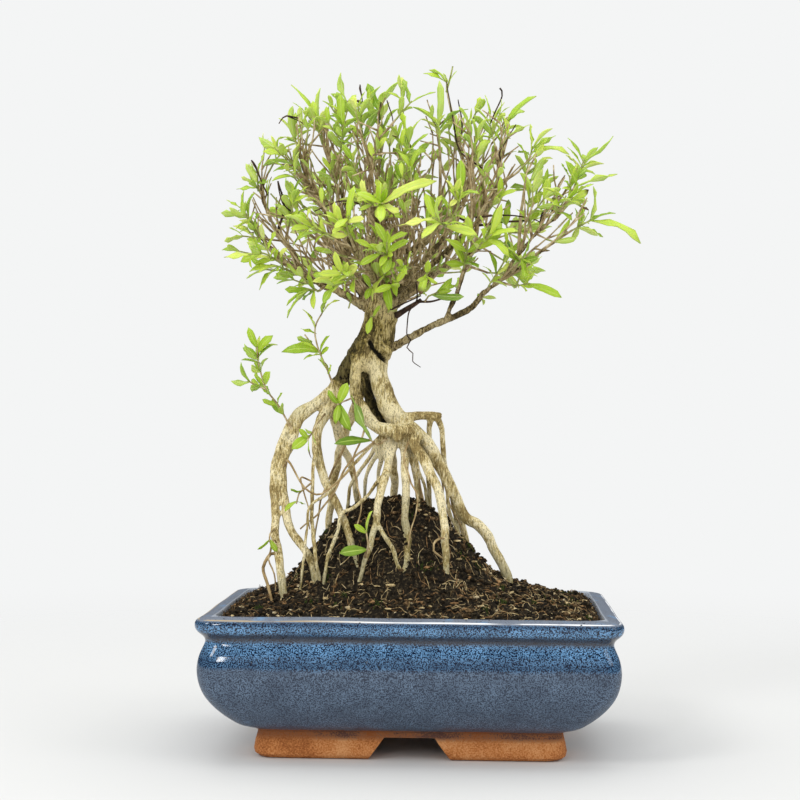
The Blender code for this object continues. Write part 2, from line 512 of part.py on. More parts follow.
def blade_shape(leaf, margin=0.0):
    """Return the vertices and faces of a blade, flat above and keeled below.

    Args:
        leaf: the leaf to shape.
        margin: millimetres added all round, for testing room.

    Returns:
        A list of vertices and a list of faces, as loft sections from base to tip.
    """
    direction, side, up = leaf_frame(leaf)
    length = (leaf.tip - leaf.base).length
    half = leaf.width / 2 + margin
    vertices = [leaf.base - direction * LEAF_SUNK]
    if margin:
        vertices = [leaf.base + direction * LEAF_PROBE_START]
    for share, fullness in LEAF_STATIONS:
        arch = up * length * LEAF_ARCH * share * (1 - share)
        centre = leaf.base + direction * length * share + arch
        vertices.append(centre + side * half * fullness + up * margin)
        vertices.append(centre - side * half * fullness + up * margin)
        vertices.append(centre - up * (LEAF_KEEL * (0.75 + 0.25 * fullness) + margin))
    vertices.append(leaf.tip + direction * margin)
    faces = [(0, 1, 2), (0, 2, 3), (0, 3, 1), (7, 5, 4), (7, 6, 5), (7, 4, 6)]
    faces += [(1, 4, 5, 2), (2, 5, 6, 3), (3, 6, 4, 1)]
    return vertices, faces


class Room:
    """The space taken by each node so far, for keeping nodes clear of each other."""

    def __init__(self):
        self.shapes = {}
        self.trees = {}

    def take(self, node, shape):
        """Record that a node fills the given shape."""
        vertices, faces = self.shapes.setdefault(node, ([], []))
        start = len(vertices)
        vertices.extend(shape[0])
        faces.extend(tuple(start + index for index in face) for face in shape[1])
        self.trees.pop(node, None)

    def tree(self, node):
        """Return the search tree of a node's shape."""
        if node not in self.trees:
            self.trees[node] = BVHTree.FromPolygons(*self.shapes[node])
        return self.trees[node]

    def is_free(self, node, shape):
        """Return whether a shape of a node crosses no other node."""
        probe = BVHTree.FromPolygons(*shape)
        return not any(probe.overlap(self.tree(other)) for other in self.shapes if other != node)


def is_near_wood(target):
    """Return whether a point is inside a limb, or too near one for a stem to start."""
    for limb in TRUNK + ROOTS + BRANCHES:
        for start, end in zip(limb.points, limb.points[1:]):
            a = Vector(start[:3])
            step = Vector(end[:3]) - a
            share = min(max((target - a).dot(step) / step.length_squared, 0.0), 1.0)
            reach = lerp(start[3], end[3], share) + STEM_START_CLEARANCE
            if (target - a - step * share).length < reach:
                return True
    return False


def spray_paths(spray):
    """Return the woody twig and the green stem of a spray as polylines.

    The twig is as long as the spray says, or longer where it would end in other wood.
    """
    route = [Vector(point) for point in spray.route]
    route[0] = nearest_on_wood(route[0])
    woody = spray.woody
    longest = path_length(route) - SHORTEST_GREEN
    while woody < longest and is_near_wood(point_along(route, woody)[0]):
        woody += 0.5
    return cut_path(route, woody)


def random_push(rng):
    """Return a random vector in a cube of half-width one."""
    return Vector((rng.uniform(-1, 1), rng.uniform(-1, 1), rng.uniform(-1, 1)))


def bent(path, rng, reach):
    """Return a green stem with its free points moved aside by up to reach."""
    moved = [path[0]]
    for index, point in enumerate(path[1:], 1):
        share = index / (len(path) - 1)
        moved.append(point + random_push(rng) * reach * (0.4 + 0.6 * share))
    return moved


def stem_radii(path):
    """Return the radii of a green stem, which tapers to its tip."""
    count = max(len(path) - 1, 1)
    thick = STEM_RADIUS + TIP_TAPER
    thin = STEM_RADIUS - TIP_TAPER
    return [lerp(thick, thin, index / count) for index in range(len(path))]


def stem_probe(path, start=1.2):
    """Return a stem's shape with clearance, without its first stretch at the twig."""
    place, _ = point_along(path, start)
    points = [place] + [p for p in path[1:] if (p - place).length > 0.5]
    return tube_shape(points, [radius + CLEARANCE * 1.5 for radius in stem_radii(points)])


def settle_stem(room, name, path, rng):
    """Bend a green stem until it crosses no other node, and take its room."""
    for attempt in range(40):
        trial = path if attempt == 0 else bent(path, rng, 1.0 + 0.15 * attempt)
        if room.is_free(name, stem_probe(trial)):
            break
    room.take(name, tube_shape(trial, [radius + CLEARANCE for radius in stem_radii(trial)]))
    return trial


def leaf_towards(place, tip, stem_direction, rng):
    """Return a leaf from a place on a stem to a tip, with its face turned up and out."""
    length = (tip - place).length
    outward = (place - CROWN_CENTRE).normalized()
    up = Vector((0, 0, 1)) * 0.4 + stem_direction * 0.3 + outward * 0.6
    up += random_push(rng) * 0.5
    width = min(max(length * rng.uniform(0.34, 0.42), LEAF_NARROWEST), LEAF_WIDEST)
    return Leaf(place, tip, up.normalized(), width)


def try_leaf(room, growth, leaf, strict=True):
    """Add a leaf to a spray where it has room, and return whether it had."""
    probe = blade_shape(leaf, CLEARANCE)
    if not room.is_free(growth.name, probe):
        return False
    if strict and any(crosses(leaf, other) for other in growth.leaves):
        return False
    growth.leaves.append(leaf)
    return True


def crosses(leaf, other):
    """Return whether two leaves of one spray cross each other."""
    first = BVHTree.FromPolygons(*blade_shape(leaf, 0.1))
    return bool(first.overlap(BVHTree.FromPolygons(*blade_shape(other, 0.1))))


def grow_pair(room, growth, stem, distance, turn, opening, length, rng):
    """Grow two opposite leaves on a stem, each turned aside until it has room."""
    place, direction = point_along(stem, distance)
    side = direction.orthogonal().normalized()
    other = direction.cross(side)
    for half in range(2):
        for attempt in range(9):
            spread = 0.28 * ((attempt + 1) // 2) * (-1) ** attempt
            angle = turn + math.pi * half + spread
            lean = opening * (1 - 0.05 * attempt)
            aside = side * math.cos(angle) + other * math.sin(angle)
            heading = direction * math.cos(lean) + aside * math.sin(lean)
            tip = place + heading * length * rng.uniform(0.85, 1.1)
            leaf = leaf_towards(place, tip, direction, rng)
            lowest = soil_height(tip.x, tip.y) + LEAF_ABOVE_SOIL
            if tip.z > lowest and try_leaf(room, growth, leaf):
                break


def grow_along(room, growth, stem, pairs, leaf, rng, tip_pair=True):
    """Grow leaf pairs along a stem, each pair turned a quarter from the last."""
    length = path_length(stem)
    turn = rng.uniform(0, math.pi)
    if tip_pair:
        opening = math.radians(rng.uniform(24, 34))
        grow_pair(room, growth, stem, length - LEAF_MARGIN, turn, opening, leaf * 0.9, rng)
    for index in range(pairs):
        distance = length - (index + 1) * PAIR_SPACING * rng.uniform(0.9, 1.1)
        if distance < LOWEST_PAIR:
            break
        turn += math.pi / 2
        opening = math.radians(rng.uniform(46, 62))
        grow_pair(room, growth, stem, distance, turn, opening, leaf * rng.uniform(0.85, 1.1), rng)


def grow_fork(room, growth, stem, share, leaf, rng):
    """Grow a short side shoot from a stem where there is room for it."""
    place, direction = point_along(stem, path_length(stem) * share)
    for _ in range(10):
        aside = Vector((rng.uniform(-1, 1), rng.uniform(-1, 1), rng.uniform(-0.3, 0.9)))
        outward = (place - CROWN_CENTRE).normalized()
        heading = (direction * 0.7 + aside * 0.9 + outward * 0.4).normalized()
        middle = place + heading * FORK_MIDDLE
        tip = middle + (heading + Vector((0, 0, 0.25))).normalized() * rng.uniform(5.0, 8.0)
        shoot = [place, middle, tip]
        if heading.angle(direction) > FORK_ANGLE and room.is_free(growth.name, stem_probe(shoot)):
            growth.stems.append(shoot)
            grow_along(room, growth, shoot, 0, leaf, rng)
            return


def grow_spray(room, spray, stem):
    """Grow one spray: the leaves set by hand first, then those of the rule."""
    rng = random.Random(spray.name)
    growth = Growth(spray.name, [stem])
    length = path_length(stem)
    at_end = 0
    for tip in spray.leaf_tips:
        tip = Vector(tip)
        distance = nearest_along(stem, tip) - LEAF_SETBACK
        if distance > length - LEAF_SETBACK - LEAF_MARGIN:
            distance = length - LEAF_MARGIN - NODE_SPACING * (at_end // 2)
            at_end += 1
        distance = max(distance, LEAF_MARGIN)
        place, direction = point_along(stem, distance)
        for attempt in range(12):
            shift = random_push(rng) * 0.6 * attempt
            leaf = leaf_towards(place, tip + shift, direction, rng)
            if try_leaf(room, growth, leaf, attempt < 10):
                break
    grow_along(room, growth, stem, spray.pairs, spray.leaf, rng, at_end < 2)
    for index in range(spray.forks):
        grow_fork(room, growth, stem, 0.35 + 0.3 * index, spray.leaf * 0.9, rng)
    for shoot in growth.stems[1:]:
        radii = [radius + CLEARANCE for radius in stem_radii(shoot)]
        room.take(spray.name, tube_shape(shoot, radii))
    for leaf in growth.leaves:
        room.take(spray.name, blade_shape(leaf))
    return growth


def grow_tree():
    """Grow every spray clear of the others, and return the twigs and the growths."""
    room = Room()
    sprays = SPRAYS + LOW_SPRAYS
    paths = [spray_paths(spray) for spray in sprays]
    for limb in TRUNK + ROOTS + BRANCHES:
        points = [Vector(p[:3]) for p in limb.points]
        room.take("tree", tube_shape(points, [p[3] for p in limb.points], limb.sides))
    twigs = [twig for twig, _ in paths]
    for twig in twigs:
        room.take("tree", tube_shape(twig, [TWIG_RADIUS + 0.05] * len(twig)))
    stems = []
    for spray, (_, path) in zip(sprays, paths):
        stems.append(settle_stem(room, spray.name, path, random.Random("stem " + spray.name)))
    growths = [grow_spray(room, spray, stem) for spray, stem in zip(sprays, stems)]
    return twigs, growths


def clear_scene():
    """Remove everything that the scene holds."""
    for obj in list(bpy.data.objects):
        bpy.data.objects.remove(obj, do_unlink=True)


def new_collection(name):
    """Add a collection to the scene."""
    collection = bpy.data.collections.new(name)
    bpy.context.scene.collection.children.link(collection)
    return collection


def make_material(name, colour, roughness, metallic=0.0):
    """Return a Principled material of one linear colour."""
    material = bpy.data.materials.new(name)
    material.use_nodes = True
    shader = material.node_tree.nodes["Principled BSDF"]
    shader.inputs["Base Color"].default_value = (*colour, 1.0)
    shader.inputs["Roughness"].default_value = roughness
    shader.inputs["Metallic"].default_value = metallic
    return material


def mesh_object(name, vertices, faces, collection):
    """Add an object from vertices in millimetres, its faces turned outward."""
    mesh = bpy.data.meshes.new(name)
    shape = bmesh.new()
    points = [shape.verts.new(Vector(vertex) * MM) for vertex in vertices]
    for face in faces:
        shape.faces.new([points[index] for index in face])
    bmesh.ops.triangulate(shape, faces=shape.faces[:])
    bmesh.ops.recalc_face_normals(shape, faces=shape.faces[:])
    shape.to_mesh(mesh)
    shape.free()
    obj = bpy.data.objects.new(name, mesh)
    collection.objects.link(obj)
    return obj


def evaluated_mesh(obj):
    """Return a new mesh of an object with its modifiers applied."""
    depsgraph = bpy.context.evaluated_depsgraph_get()
    return bpy.data.meshes.new_from_object(obj.evaluated_get(depsgraph))


def tube(name, points, sides, collection):
    """Add a closed tube through points of x, y, z and radius, made from a curve.

    Args:
        name: the object's name.
        points: x, y, z and radius of each point, in millimetres.
        sides: an even number of sides, from four.
        collection: the collection that takes the object.

    Returns:
        The tube as a mesh object.
    """
    curve = bpy.data.curves.new(name, "CURVE")
    curve.dimensions = "3D"
    curve.bevel_depth = MM
    curve.bevel_resolution = (sides - 4) // 2
    curve.use_fill_caps = True
    spline = curve.splines.new("POLY")
    spline.points.add(len(points) - 1)
    for handle, (x, y, z, radius) in zip(spline.points, points):
        handle.co = (x * MM, y * MM, z * MM, 1.0)
        handle.radius = radius
    guide = bpy.data.objects.new(name, curve)
    collection.objects.link(guide)
    bpy.context.view_layer.update()
    mesh = evaluated_mesh(guide)
    shape = bmesh.new()
    shape.from_mesh(mesh)
    bmesh.ops.remove_doubles(shape, verts=shape.verts[:], dist=1e-7)
    bmesh.ops.recalc_face_normals(shape, faces=shape.faces[:])
    shape.to_mesh(mesh)
    shape.free()
    obj = bpy.data.objects.new(name, mesh)
    obj.matrix_world = guide.matrix_world
    bpy.data.objects.remove(guide, do_unlink=True)
    bpy.data.curves.remove(curve)
    collection.objects.link(obj)
    return obj


def body_volume(faces):
    """Return the volume inside a set of triangulated faces."""
    total = 0.0
    for face in faces:
        a, b, c = (vertex.co for vertex in face.verts)
        total += a.dot(b.cross(c)) / 6
    return total


def keep_main_body(mesh):
    """Leave only the largest closed body of a mesh, without scraps and sealed hollows."""
    shape = bmesh.new()
    shape.from_mesh(mesh)
    bmesh.ops.triangulate(shape, faces=shape.faces[:])
    unseen = set(shape.faces)
    bodies = []
    while unseen:
        front = [unseen.pop()]
        body = set(front)
        while front:
            face = front.pop()
            for edge in face.edges:
                for neighbour in edge.link_faces:
                    if neighbour in unseen:
                        unseen.remove(neighbour)
                        body.add(neighbour)
                        front.append(neighbour)
        bodies.append(body)
    bodies.sort(key=body_volume)
    scraps = [face for body in bodies[:-1] for face in body]
    bmesh.ops.delete(shape, geom=scraps, context="FACES")
    shape.to_mesh(mesh)
    shape.free()


def combine(obj, operation, others, solver="EXACT"):
    """Apply a Boolean of an object with a collection of others, and remove the others."""
    group = bpy.data.collections.new("operands")
    for other in others:
        group.objects.link(other)
    modifier = obj.modifiers.new("combine", "BOOLEAN")
    modifier.operation = operation
    modifier.operand_type = "COLLECTION"
    modifier.collection = group
    modifier.solver = solver
    mesh = evaluated_mesh(obj)
    keep_main_body(mesh)
    obj.modifiers.clear()
    obj.data = mesh
    for other in others:
        bpy.data.objects.remove(other, do_unlink=True)
    bpy.data.collections.remove(group)
    return obj


def rounded_rectangle(half_x, half_y, radius, z, side_steps=0):
    """Return the points of a rounded rectangle, counter-clockwise from the right.

    Args:
        half_x: half of its width.
        half_y: half of its depth.
        radius: the radius of its corners.
        z: its height.
        side_steps: how many more points stand along each straight side.

    Returns:
        The points as x, y and z.
    """
    points = []
    for corner, (sign_x, sign_y) in enumerate(((1, 1), (-1, 1), (-1, -1), (1, -1))):
        for step in range(CORNER_STEPS + 1):
            angle = math.pi / 2 * (corner + step / CORNER_STEPS)
            x = sign_x * (half_x - radius) + radius * math.cos(angle)
            y = sign_y * (half_y - radius) + radius * math.sin(angle)
            points.append((x, y, z))
        for step in range(side_steps):
            share = 1 - 2 * (step + 1) / (side_steps + 1)
            if corner % 2 == 0:
                points.append((share * (half_x - radius) * sign_x, sign_y * half_y, z))
            else:
                points.append((sign_x * half_x, share * (half_y - radius) * sign_y, z))
    return points


def loft(name, rings, collection):
    """Add a closed body through rings of equal point counts, capped at both ends."""
    count = len(rings[0])
    vertices = [point for ring in rings for point in ring]
    faces = faces_of_tube(len(rings), count)
    faces.append(tuple(range(count)))
    faces.append(tuple(range(len(vertices) - count, len(vertices))))
    return mesh_object(name, vertices, faces, collection)


def pot_ring(half_width, z, radius=CORNER_RADIUS, side_steps=0):
    """Return a ring of the pot at a height, POT_INSET less deep than it is wide."""
    return rounded_rectangle(half_width, half_width - POT_INSET, radius, z, side_steps)


def soil_ring(rim, scale):
    """Return a ring of the soil's top, which rounds off towards the clump."""
    half_x = max(point[0] for point in rim)
    half_y = max(point[1] for point in rim)
    ring = []
    for x, y, _ in rim:
        angle = math.atan2(y / half_y, x / half_x)
        x = lerp(half_x * math.cos(angle), x, scale) * scale + CLUMP_CENTRE[0] * (1 - scale)
        y = lerp(half_y * math.sin(angle), y, scale) * scale + CLUMP_CENTRE[1] * (1 - scale)
        ring.append((x, y, soil_height(x, y)))
    return ring


def box(name, size, centre, collection):
    """Add a box of a size around a centre, in millimetres."""
    shape = bmesh.new()
    bmesh.ops.create_cube(shape, size=1.0)
    bmesh.ops.scale(shape, vec=Vector(size) * MM, verts=shape.verts[:])
    bmesh.ops.translate(shape, vec=Vector(centre) * MM, verts=shape.verts[:])
    mesh = bpy.data.meshes.new(name)
    shape.to_mesh(mesh)
    shape.free()
    obj = bpy.data.objects.new(name, mesh)
    collection.objects.link(obj)
    return obj


def notch(name, along_x, cutters):
    """Add the trapezoid prism that opens the feet from one side to the other."""
    reach = POT_HALF_WIDTH
    section = ((-NOTCH_BOTTOM / 2, -BELOW), (NOTCH_BOTTOM / 2, -BELOW),
               (NOTCH_TOP / 2, NOTCH_HEIGHT), (-NOTCH_TOP / 2, NOTCH_HEIGHT))
    ends = []
    for end in (-reach, reach):
        ends.append([(end, a, z) if along_x else (a, end, z) for a, z in section])
    return loft(name, ends, cutters)


def drain_cutter(x, cutters):
    """Add the upright prism that cuts a drain hole through the floor of the pot."""
    shape = bmesh.new()
    radius = DRAIN_RADIUS * MM
    bmesh.ops.create_cone(shape, cap_ends=True, segments=DRAIN_SIDES, radius1=radius,
                          radius2=radius, depth=DRAIN_DEPTH * MM)
    bmesh.ops.translate(shape, vec=Vector((x, 0.0, DRAIN_MIDDLE)) * MM, verts=shape.verts[:])
    mesh = bpy.data.meshes.new("drain")
    shape.to_mesh(mesh)
    shape.free()
    drain = bpy.data.objects.new("drain", mesh)
    cutters.objects.link(drain)
    return drain


def make_pot(parts, cutters, material):
    """Model the pot: a lofted bowl on a foot that two passages split into four."""
    rings = [pot_ring(half, z) for half, z in POT_OUTSIDE]
    rings += [pot_ring(half, z, INNER_CORNER_RADIUS) for half, z in POT_INSIDE]
    bowl = loft("pot", rings, parts)
    base = POT_OUTSIDE[0][0]
    foot_rings = [pot_ring(base + FOOT_FLARE - FOOT_EDGE, 0.0)]
    foot_rings.append(pot_ring(base + FOOT_FLARE, FOOT_EDGE_HEIGHT))
    foot_rings.append(pot_ring(base, FOOT_HEIGHT + FOOT_JOINT))
    foot = loft("foot", foot_rings, cutters)
    hollow_rings = [pot_ring(base - FOOT_WALL, z, HOLLOW_RADIUS) for z in (-BELOW, HOLLOW_TOP)]
    hollow = loft("foot_hollow", hollow_rings, cutters)
    notches = [notch("notch_x", True, cutters), notch("notch_y", False, cutters)]
    combine(foot, "DIFFERENCE", [hollow, *notches])
    combine(bowl, "UNION", [foot])
    combine(bowl, "DIFFERENCE", [drain_cutter(sign * DRAIN_X, cutters) for sign in (-1, 1)])
    bowl.data.materials.clear()
    bowl.data.materials.append(material)
    return bowl


def make_screen(name, x, parts, cutters, material):
    """Model a plastic drain screen, which lies over a drain hole."""
    z = FLOOR_TOP + GAP + SCREEN_THICKNESS / 2
    screen = box(name, (SCREEN_SIZE, SCREEN_SIZE, SCREEN_THICKNESS), (x, 0, z), parts)
    pitch = (SCREEN_SIZE - SCREEN_BAR) / SCREEN_HOLES
    hole = pitch - SCREEN_BAR
    middle = (SCREEN_HOLES - 1) / 2
    holes = []
    for row in range(SCREEN_HOLES):
        for column in range(SCREEN_HOLES):
            place = (x + (column - middle) * pitch, (row - middle) * pitch, z)
            holes.append(box("hole", (hole, hole, SCREEN_THICKNESS * 3), place, cutters))
    combine(screen, "DIFFERENCE", holes)
    screen.data.materials.append(material)
    return screen


def make_soil(parts, cutters, material):
    """Model the soil: a lofted block with a mounded top and a plain hole for each root."""
    walls = [(POT_INSIDE[-1][0], FLOOR_TOP + GAP), *reversed(POT_INSIDE[1:-1])]
    rings = []
    for half, z in walls:
        rings.append(pot_ring(half - GAP, z, INNER_CORNER_RADIUS, SOIL_SIDE_STEPS))
    rim = pot_ring(RIM_INNER - SOIL_RIM_GAP, 0.0, INNER_CORNER_RADIUS, SOIL_SIDE_STEPS)
    rings.append([(x, y, soil_height(x, y) - SOIL_RIM_DROP) for x, y, _ in rim])
    rings += [soil_ring(rim, scale) for scale in SOIL_SCALES]
    soil = loft("soil", rings, parts)
    holes = []
    for limb in ROOTS:
        if min(point[2] for point in limb.points) < SOIL_REACH_UP:
            holes.append(tube("root_hole", widened(limb.points), limb.sides, cutters))
    pocket = SCREEN_SIZE + 2 * GAP
    for sign in (-1, 1):
        size = (pocket, pocket, 2 * (SCREEN_THICKNESS + 2 * GAP))
        holes.append(box("screen_pocket", size, (sign * DRAIN_X, 0, FLOOR_TOP), cutters))
    combine(soil, "DIFFERENCE", holes)
    soil.data.materials.append(material)
    return soil


def widened(points):
    """Return a root's points with clearance round it and past its end."""
    last = Vector(points[-1][:3])
    end = last + (last - Vector(points[-2][:3])).normalized() * ROOT_CLEARANCE
    wider = [(*point[:3], point[3] + ROOT_CLEARANCE) for point in points[:-1]]
    return wider + [(*end, points[-1][3] + ROOT_CLEARANCE)]


def make_wood(twigs, parts, cutters, material):
    """Model the wood: trunk, exposed roots, branches and twigs, fused to one body."""
    limbs = TRUNK + ROOTS + BRANCHES
    tubes = [tube(limb.name, limb.points, limb.sides, cutters) for limb in limbs]
    for twig in twigs:
        count = max(len(twig) - 1, 1)
        points = []
        for index, point in enumerate(twig):
            radius = lerp(TWIG_RADIUS, STEM_RADIUS + TIP_TAPER, index / count)
            points.append((*point, radius))
        tubes.append(tube("twig", points, 4, cutters))
    tree = combine(tubes[0], "UNION", tubes[1:])
    cutters.objects.unlink(tree)
    parts.objects.link(tree)
    tree.name = "tree"
    tree.data.name = "tree"
    tree.data.materials.append(material)
    return tree


def make_spray(growth, parts, cutters, material):
    """Model a spray: its green stems and its leaves, fused to one body."""
    pieces = []
    for stem in growth.stems:
        points = [(*point, radius) for point, radius in zip(stem, stem_radii(stem))]
        pieces.append(tube("stem", points, 4, cutters))
    for leaf in growth.leaves:
        pieces.append(mesh_object("leaf", *blade_shape(leaf), cutters))
    spray = combine(pieces[0], "UNION", pieces[1:])
    cutters.objects.unlink(spray)
    parts.objects.link(spray)
    spray.name = "spray_" + growth.name
    spray.data.name = spray.name
    spray.data.materials.append(material)
    return spray


def centre_on_origin(objects):
    """Move every object so that the origin is under the middle of the whole."""
    corners = [obj.matrix_world @ vertex.co for obj in objects for vertex in obj.data.vertices]
    middle_x = (min(c.x for c in corners) + max(c.x for c in corners)) / 2
    middle_y = (min(c.y for c in corners) + max(c.y for c in corners)) / 2
    lowest = min(c.z for c in corners)
    for obj in objects:
        obj.location = (-middle_x, -middle_y, -lowest)


def main():
    """Build the bonsai."""
    clear_scene()
    parts = new_collection(PART_NAME)
    cutters = new_collection("cutters")
    ceramic = make_material("glazed_stoneware", (0.035, 0.085, 0.24), 0.25)
    earth = make_material("potting_soil", (0.028, 0.018, 0.012), 0.95)
    bark = make_material("serissa_wood", (0.38, 0.27, 0.15), 0.8)
    green = make_material("serissa_leaf", (0.22, 0.42, 0.03), 0.5)
    plastic = make_material("drain_screen_plastic", (0.02, 0.02, 0.02), 0.6)
    twigs, growths = grow_tree()
    objects = [make_pot(parts, cutters, ceramic)]
    for side, sign in (("left", -1), ("right", 1)):
        objects.append(make_screen("drain_screen_" + side, sign * DRAIN_X, parts, cutters, plastic))
    objects.append(make_soil(parts, cutters, earth))
    objects.append(make_wood(twigs, parts, cutters, bark))
    for growth in growths:
        objects.append(make_spray(growth, parts, cutters, green))
    centre_on_origin(objects)


main()
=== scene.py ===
"""Serissa bonsai on exposed roots in a glazed stoneware pot: the finished look.

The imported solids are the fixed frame. Each leafy spray is grown again by the rule that
shaped its solid, with finer leaves, and the crown gets the small shoots, dead twigs,
hair roots and crumbs of soil that the solids leave out.

Lists of points are in millimetres, X to the right, Y away from the front, Z up from
the floor, with X = Y = 0 under the middle of the pot. Pieces end up in metres in the
frame's own coordinates.
"""

from __future__ import annotations

import logging
import math
import random
from collections.abc import Callable, Iterable, Sequence
from dataclasses import dataclass, field
from enum import Enum

import bmesh
import bpy
from mathutils import Matrix, Vector, noise
from mathutils.bvhtree import BVHTree
from mathutils.kdtree import KDTree

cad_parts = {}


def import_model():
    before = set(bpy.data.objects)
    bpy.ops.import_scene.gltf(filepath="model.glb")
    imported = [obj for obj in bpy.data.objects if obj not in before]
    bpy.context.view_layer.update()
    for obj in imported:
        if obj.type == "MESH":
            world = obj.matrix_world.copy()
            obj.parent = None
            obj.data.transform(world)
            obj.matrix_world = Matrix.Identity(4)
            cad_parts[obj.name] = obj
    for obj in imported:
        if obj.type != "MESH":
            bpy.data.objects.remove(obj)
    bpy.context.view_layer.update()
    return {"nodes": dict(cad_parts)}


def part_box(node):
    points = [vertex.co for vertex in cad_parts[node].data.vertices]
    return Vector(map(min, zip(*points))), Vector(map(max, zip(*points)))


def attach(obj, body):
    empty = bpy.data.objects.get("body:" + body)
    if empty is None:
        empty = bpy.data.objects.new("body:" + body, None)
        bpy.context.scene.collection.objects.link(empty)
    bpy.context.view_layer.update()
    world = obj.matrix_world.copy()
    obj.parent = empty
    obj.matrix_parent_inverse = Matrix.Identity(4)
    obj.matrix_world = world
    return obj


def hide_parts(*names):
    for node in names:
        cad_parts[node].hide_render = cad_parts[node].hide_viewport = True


MM = 0.001
BODY = "root"
LOG = logging.getLogger("bonsai")

# Sizes that the solids have too, in millimetres
POT_HALF_WIDTH = 100.0
POT_INSET = 25.0
CORNER_RADIUS = 9.0
FOOT_HEIGHT = 13.3
FOOT_BASE = 73.6
FOOT_WALL = 16.0
FOOT_FLARE = 2.0
NOTCH_TOP = 24.0
NOTCH_BOTTOM = 40.0
NOTCH_HEIGHT = 10.8
SOIL_EDGE = 68.3
SOIL_DOME = 15.0
SOIL_CLUMP = 40.0
CLUMP_CENTRE = (-14.0, 3.0)
CLUMP_LEFT = 41.0
CLUMP_RIGHT = 44.0
CLUMP_DEPTH = 34.0
SOIL_REACH_X = 94.0
SOIL_REACH_Y = 68.0
SOIL_ROUGHNESS = 1.2
SOIL_GRAIN = 0.12
GAP = 0.3
LEAF_KEEL = 0.9
LEAF_STATIONS = ((0.30, 0.90), (0.66, 0.88))
LEAF_SUNK = 0.3
LEAF_ARCH = 0.16
LEAF_PROBE_START = 1.6
LEAF_NARROWEST = 3.0
LEAF_WIDEST = 5.8
LEAF_ABOVE_SOIL = 3.0
LEAF_SETBACK = 3.0
LEAF_MARGIN = 1.5
NODE_SPACING = 2.4
STEM_RADIUS = 0.75
TWIG_RADIUS = 0.95
TIP_TAPER = 0.1
PAIR_SPACING = 6.5
LOWEST_PAIR = 2.6
FORK_MIDDLE = 5.0
FORK_ANGLE = math.radians(25)
SHORTEST_GREEN = 4.0
CLEARANCE = 0.35
STEM_START_CLEARANCE = 1.6
CROWN_CENTRE = Vector((0.0, 0.0, 255.0))

# Limits of the small growth, in millimetres
CROWN_DEPTH = 66.0
CROWN_LEFT = -98.0
CROWN_RIGHT = 106.0
LOW_SHOOTS_TOP = 205.0
INNER_START = 0.3
INNER_SPACING = (7.0, 11.0)
FILL_SPACING = (4.8, 7.0)
FILL_LEAF = (8.0, 13.0)
BARE_SPACING = 3.4
BARE_INSET = 14.0
BARE_DEPTH = 44.0
# The dense heart of the crown from the front: middle, half-width and half-height
HEART = (-14.0, 278.0)
HEART_WIDTH = 52.0
HEART_HEIGHT = 50.0
BARE_LIMBS = ("dead", "stump")

# Corners of the pot's rings and the spacing along its straight sides
CORNER_SEGMENTS = 6
SIDE_STEP = 8.0
SIDE_CUTS = 10

# The camera, found from the pot's edges in the photograph: millimetres and degrees
EYE = Vector((30.72, -859.4, 164.1))
YAW = 2.557
PITCH = 0.564
ROLL = 0.358
FOCAL_PIXELS = 1695.2
PHOTO_PIXELS = 800.0
SENSOR = 36.0

Shape = tuple[list[Vector], list[tuple[int, ...]]]
Route = list[Vector]


@dataclass(frozen=True)
class Limb:
    """A length of wood: its points are x, y, z and radius in millimetres."""

    name: str
    points: tuple
    sides: int = 6


@dataclass(frozen=True)
class Spray:
    """A leafy spray and the woody twig that carries it, as in the part's source."""

    name: str
    route: tuple
    woody: float
    leaf_tips: tuple = ()
    pairs: int = 1
    leaf: float = 14.5
    forks: int = 0


@dataclass
class Leaf:
    """A blade from its base to its tip, with the side that faces up."""

    base: Vector
    tip: Vector
    up: Vector
    width: float


@dataclass
class Growth:
    """What a spray has grown: green stems as lists of points, and leaves."""

    name: str
    stems: list = field(default_factory=list)
    leaves: list = field(default_factory=list)


TRUNK = (
    Limb("trunk", ((-16, 0, 232, 5.8), (-17, 0, 217, 8.2), (-19, 0, 208, 8.9), (-21, 0, 200, 9.9),
                   (-25, 0, 193, 9.4), (-27, 0, 187, 6.0)), 8),
    Limb("right_trunk", ((-22, 0, 202, 7.0), (-20, -2, 194, 6.0), (-18, -3, 183, 4.9),
                         (-14, -4, 172, 5.2), (-9, -5, 162, 5.3), (-5, -6, 157, 4.4)), 8),
    Limb("left_trunk", ((-25, 0, 200, 6.6), (-32, 0, 191, 5.2), (-36, 1, 185, 4.7), (-39, 2, 178, 4.4),
                        (-42, 1, 171, 4.2))),
    Limb("middle_root", ((-27, -3, 199, 3.6), (-30, -6, 187, 3.1), (-30, -7, 177, 2.8),
                         (-28, -8, 171, 2.8), (-25, -9, 167, 2.9))),
    # This stem fills the dark gap behind the right trunk, and its bark is darkened as painted shade
    Limb("shaded_stem", ((-28, 3, 190, 3.4), (-26, 5, 182, 3.0), (-24, 5, 175, 2.8),
                         (-21, 3, 167, 2.8), (-16, 0, 160, 3.0)), 4),
    Limb("root_lobe", ((-25, -9, 167, 2.8), (-22, -11, 162, 3.2), (-17, -12, 158, 3.4),
                       (-11, -13, 157, 3.4), (-5, -12, 157, 3.3), (-2, -11, 158, 2.9),
                       (3, -8, 153, 3.0))),
    Limb("gash_stub", ((-18, -6, 202, 3.0), (-12, -9, 196, 1.6))),
)

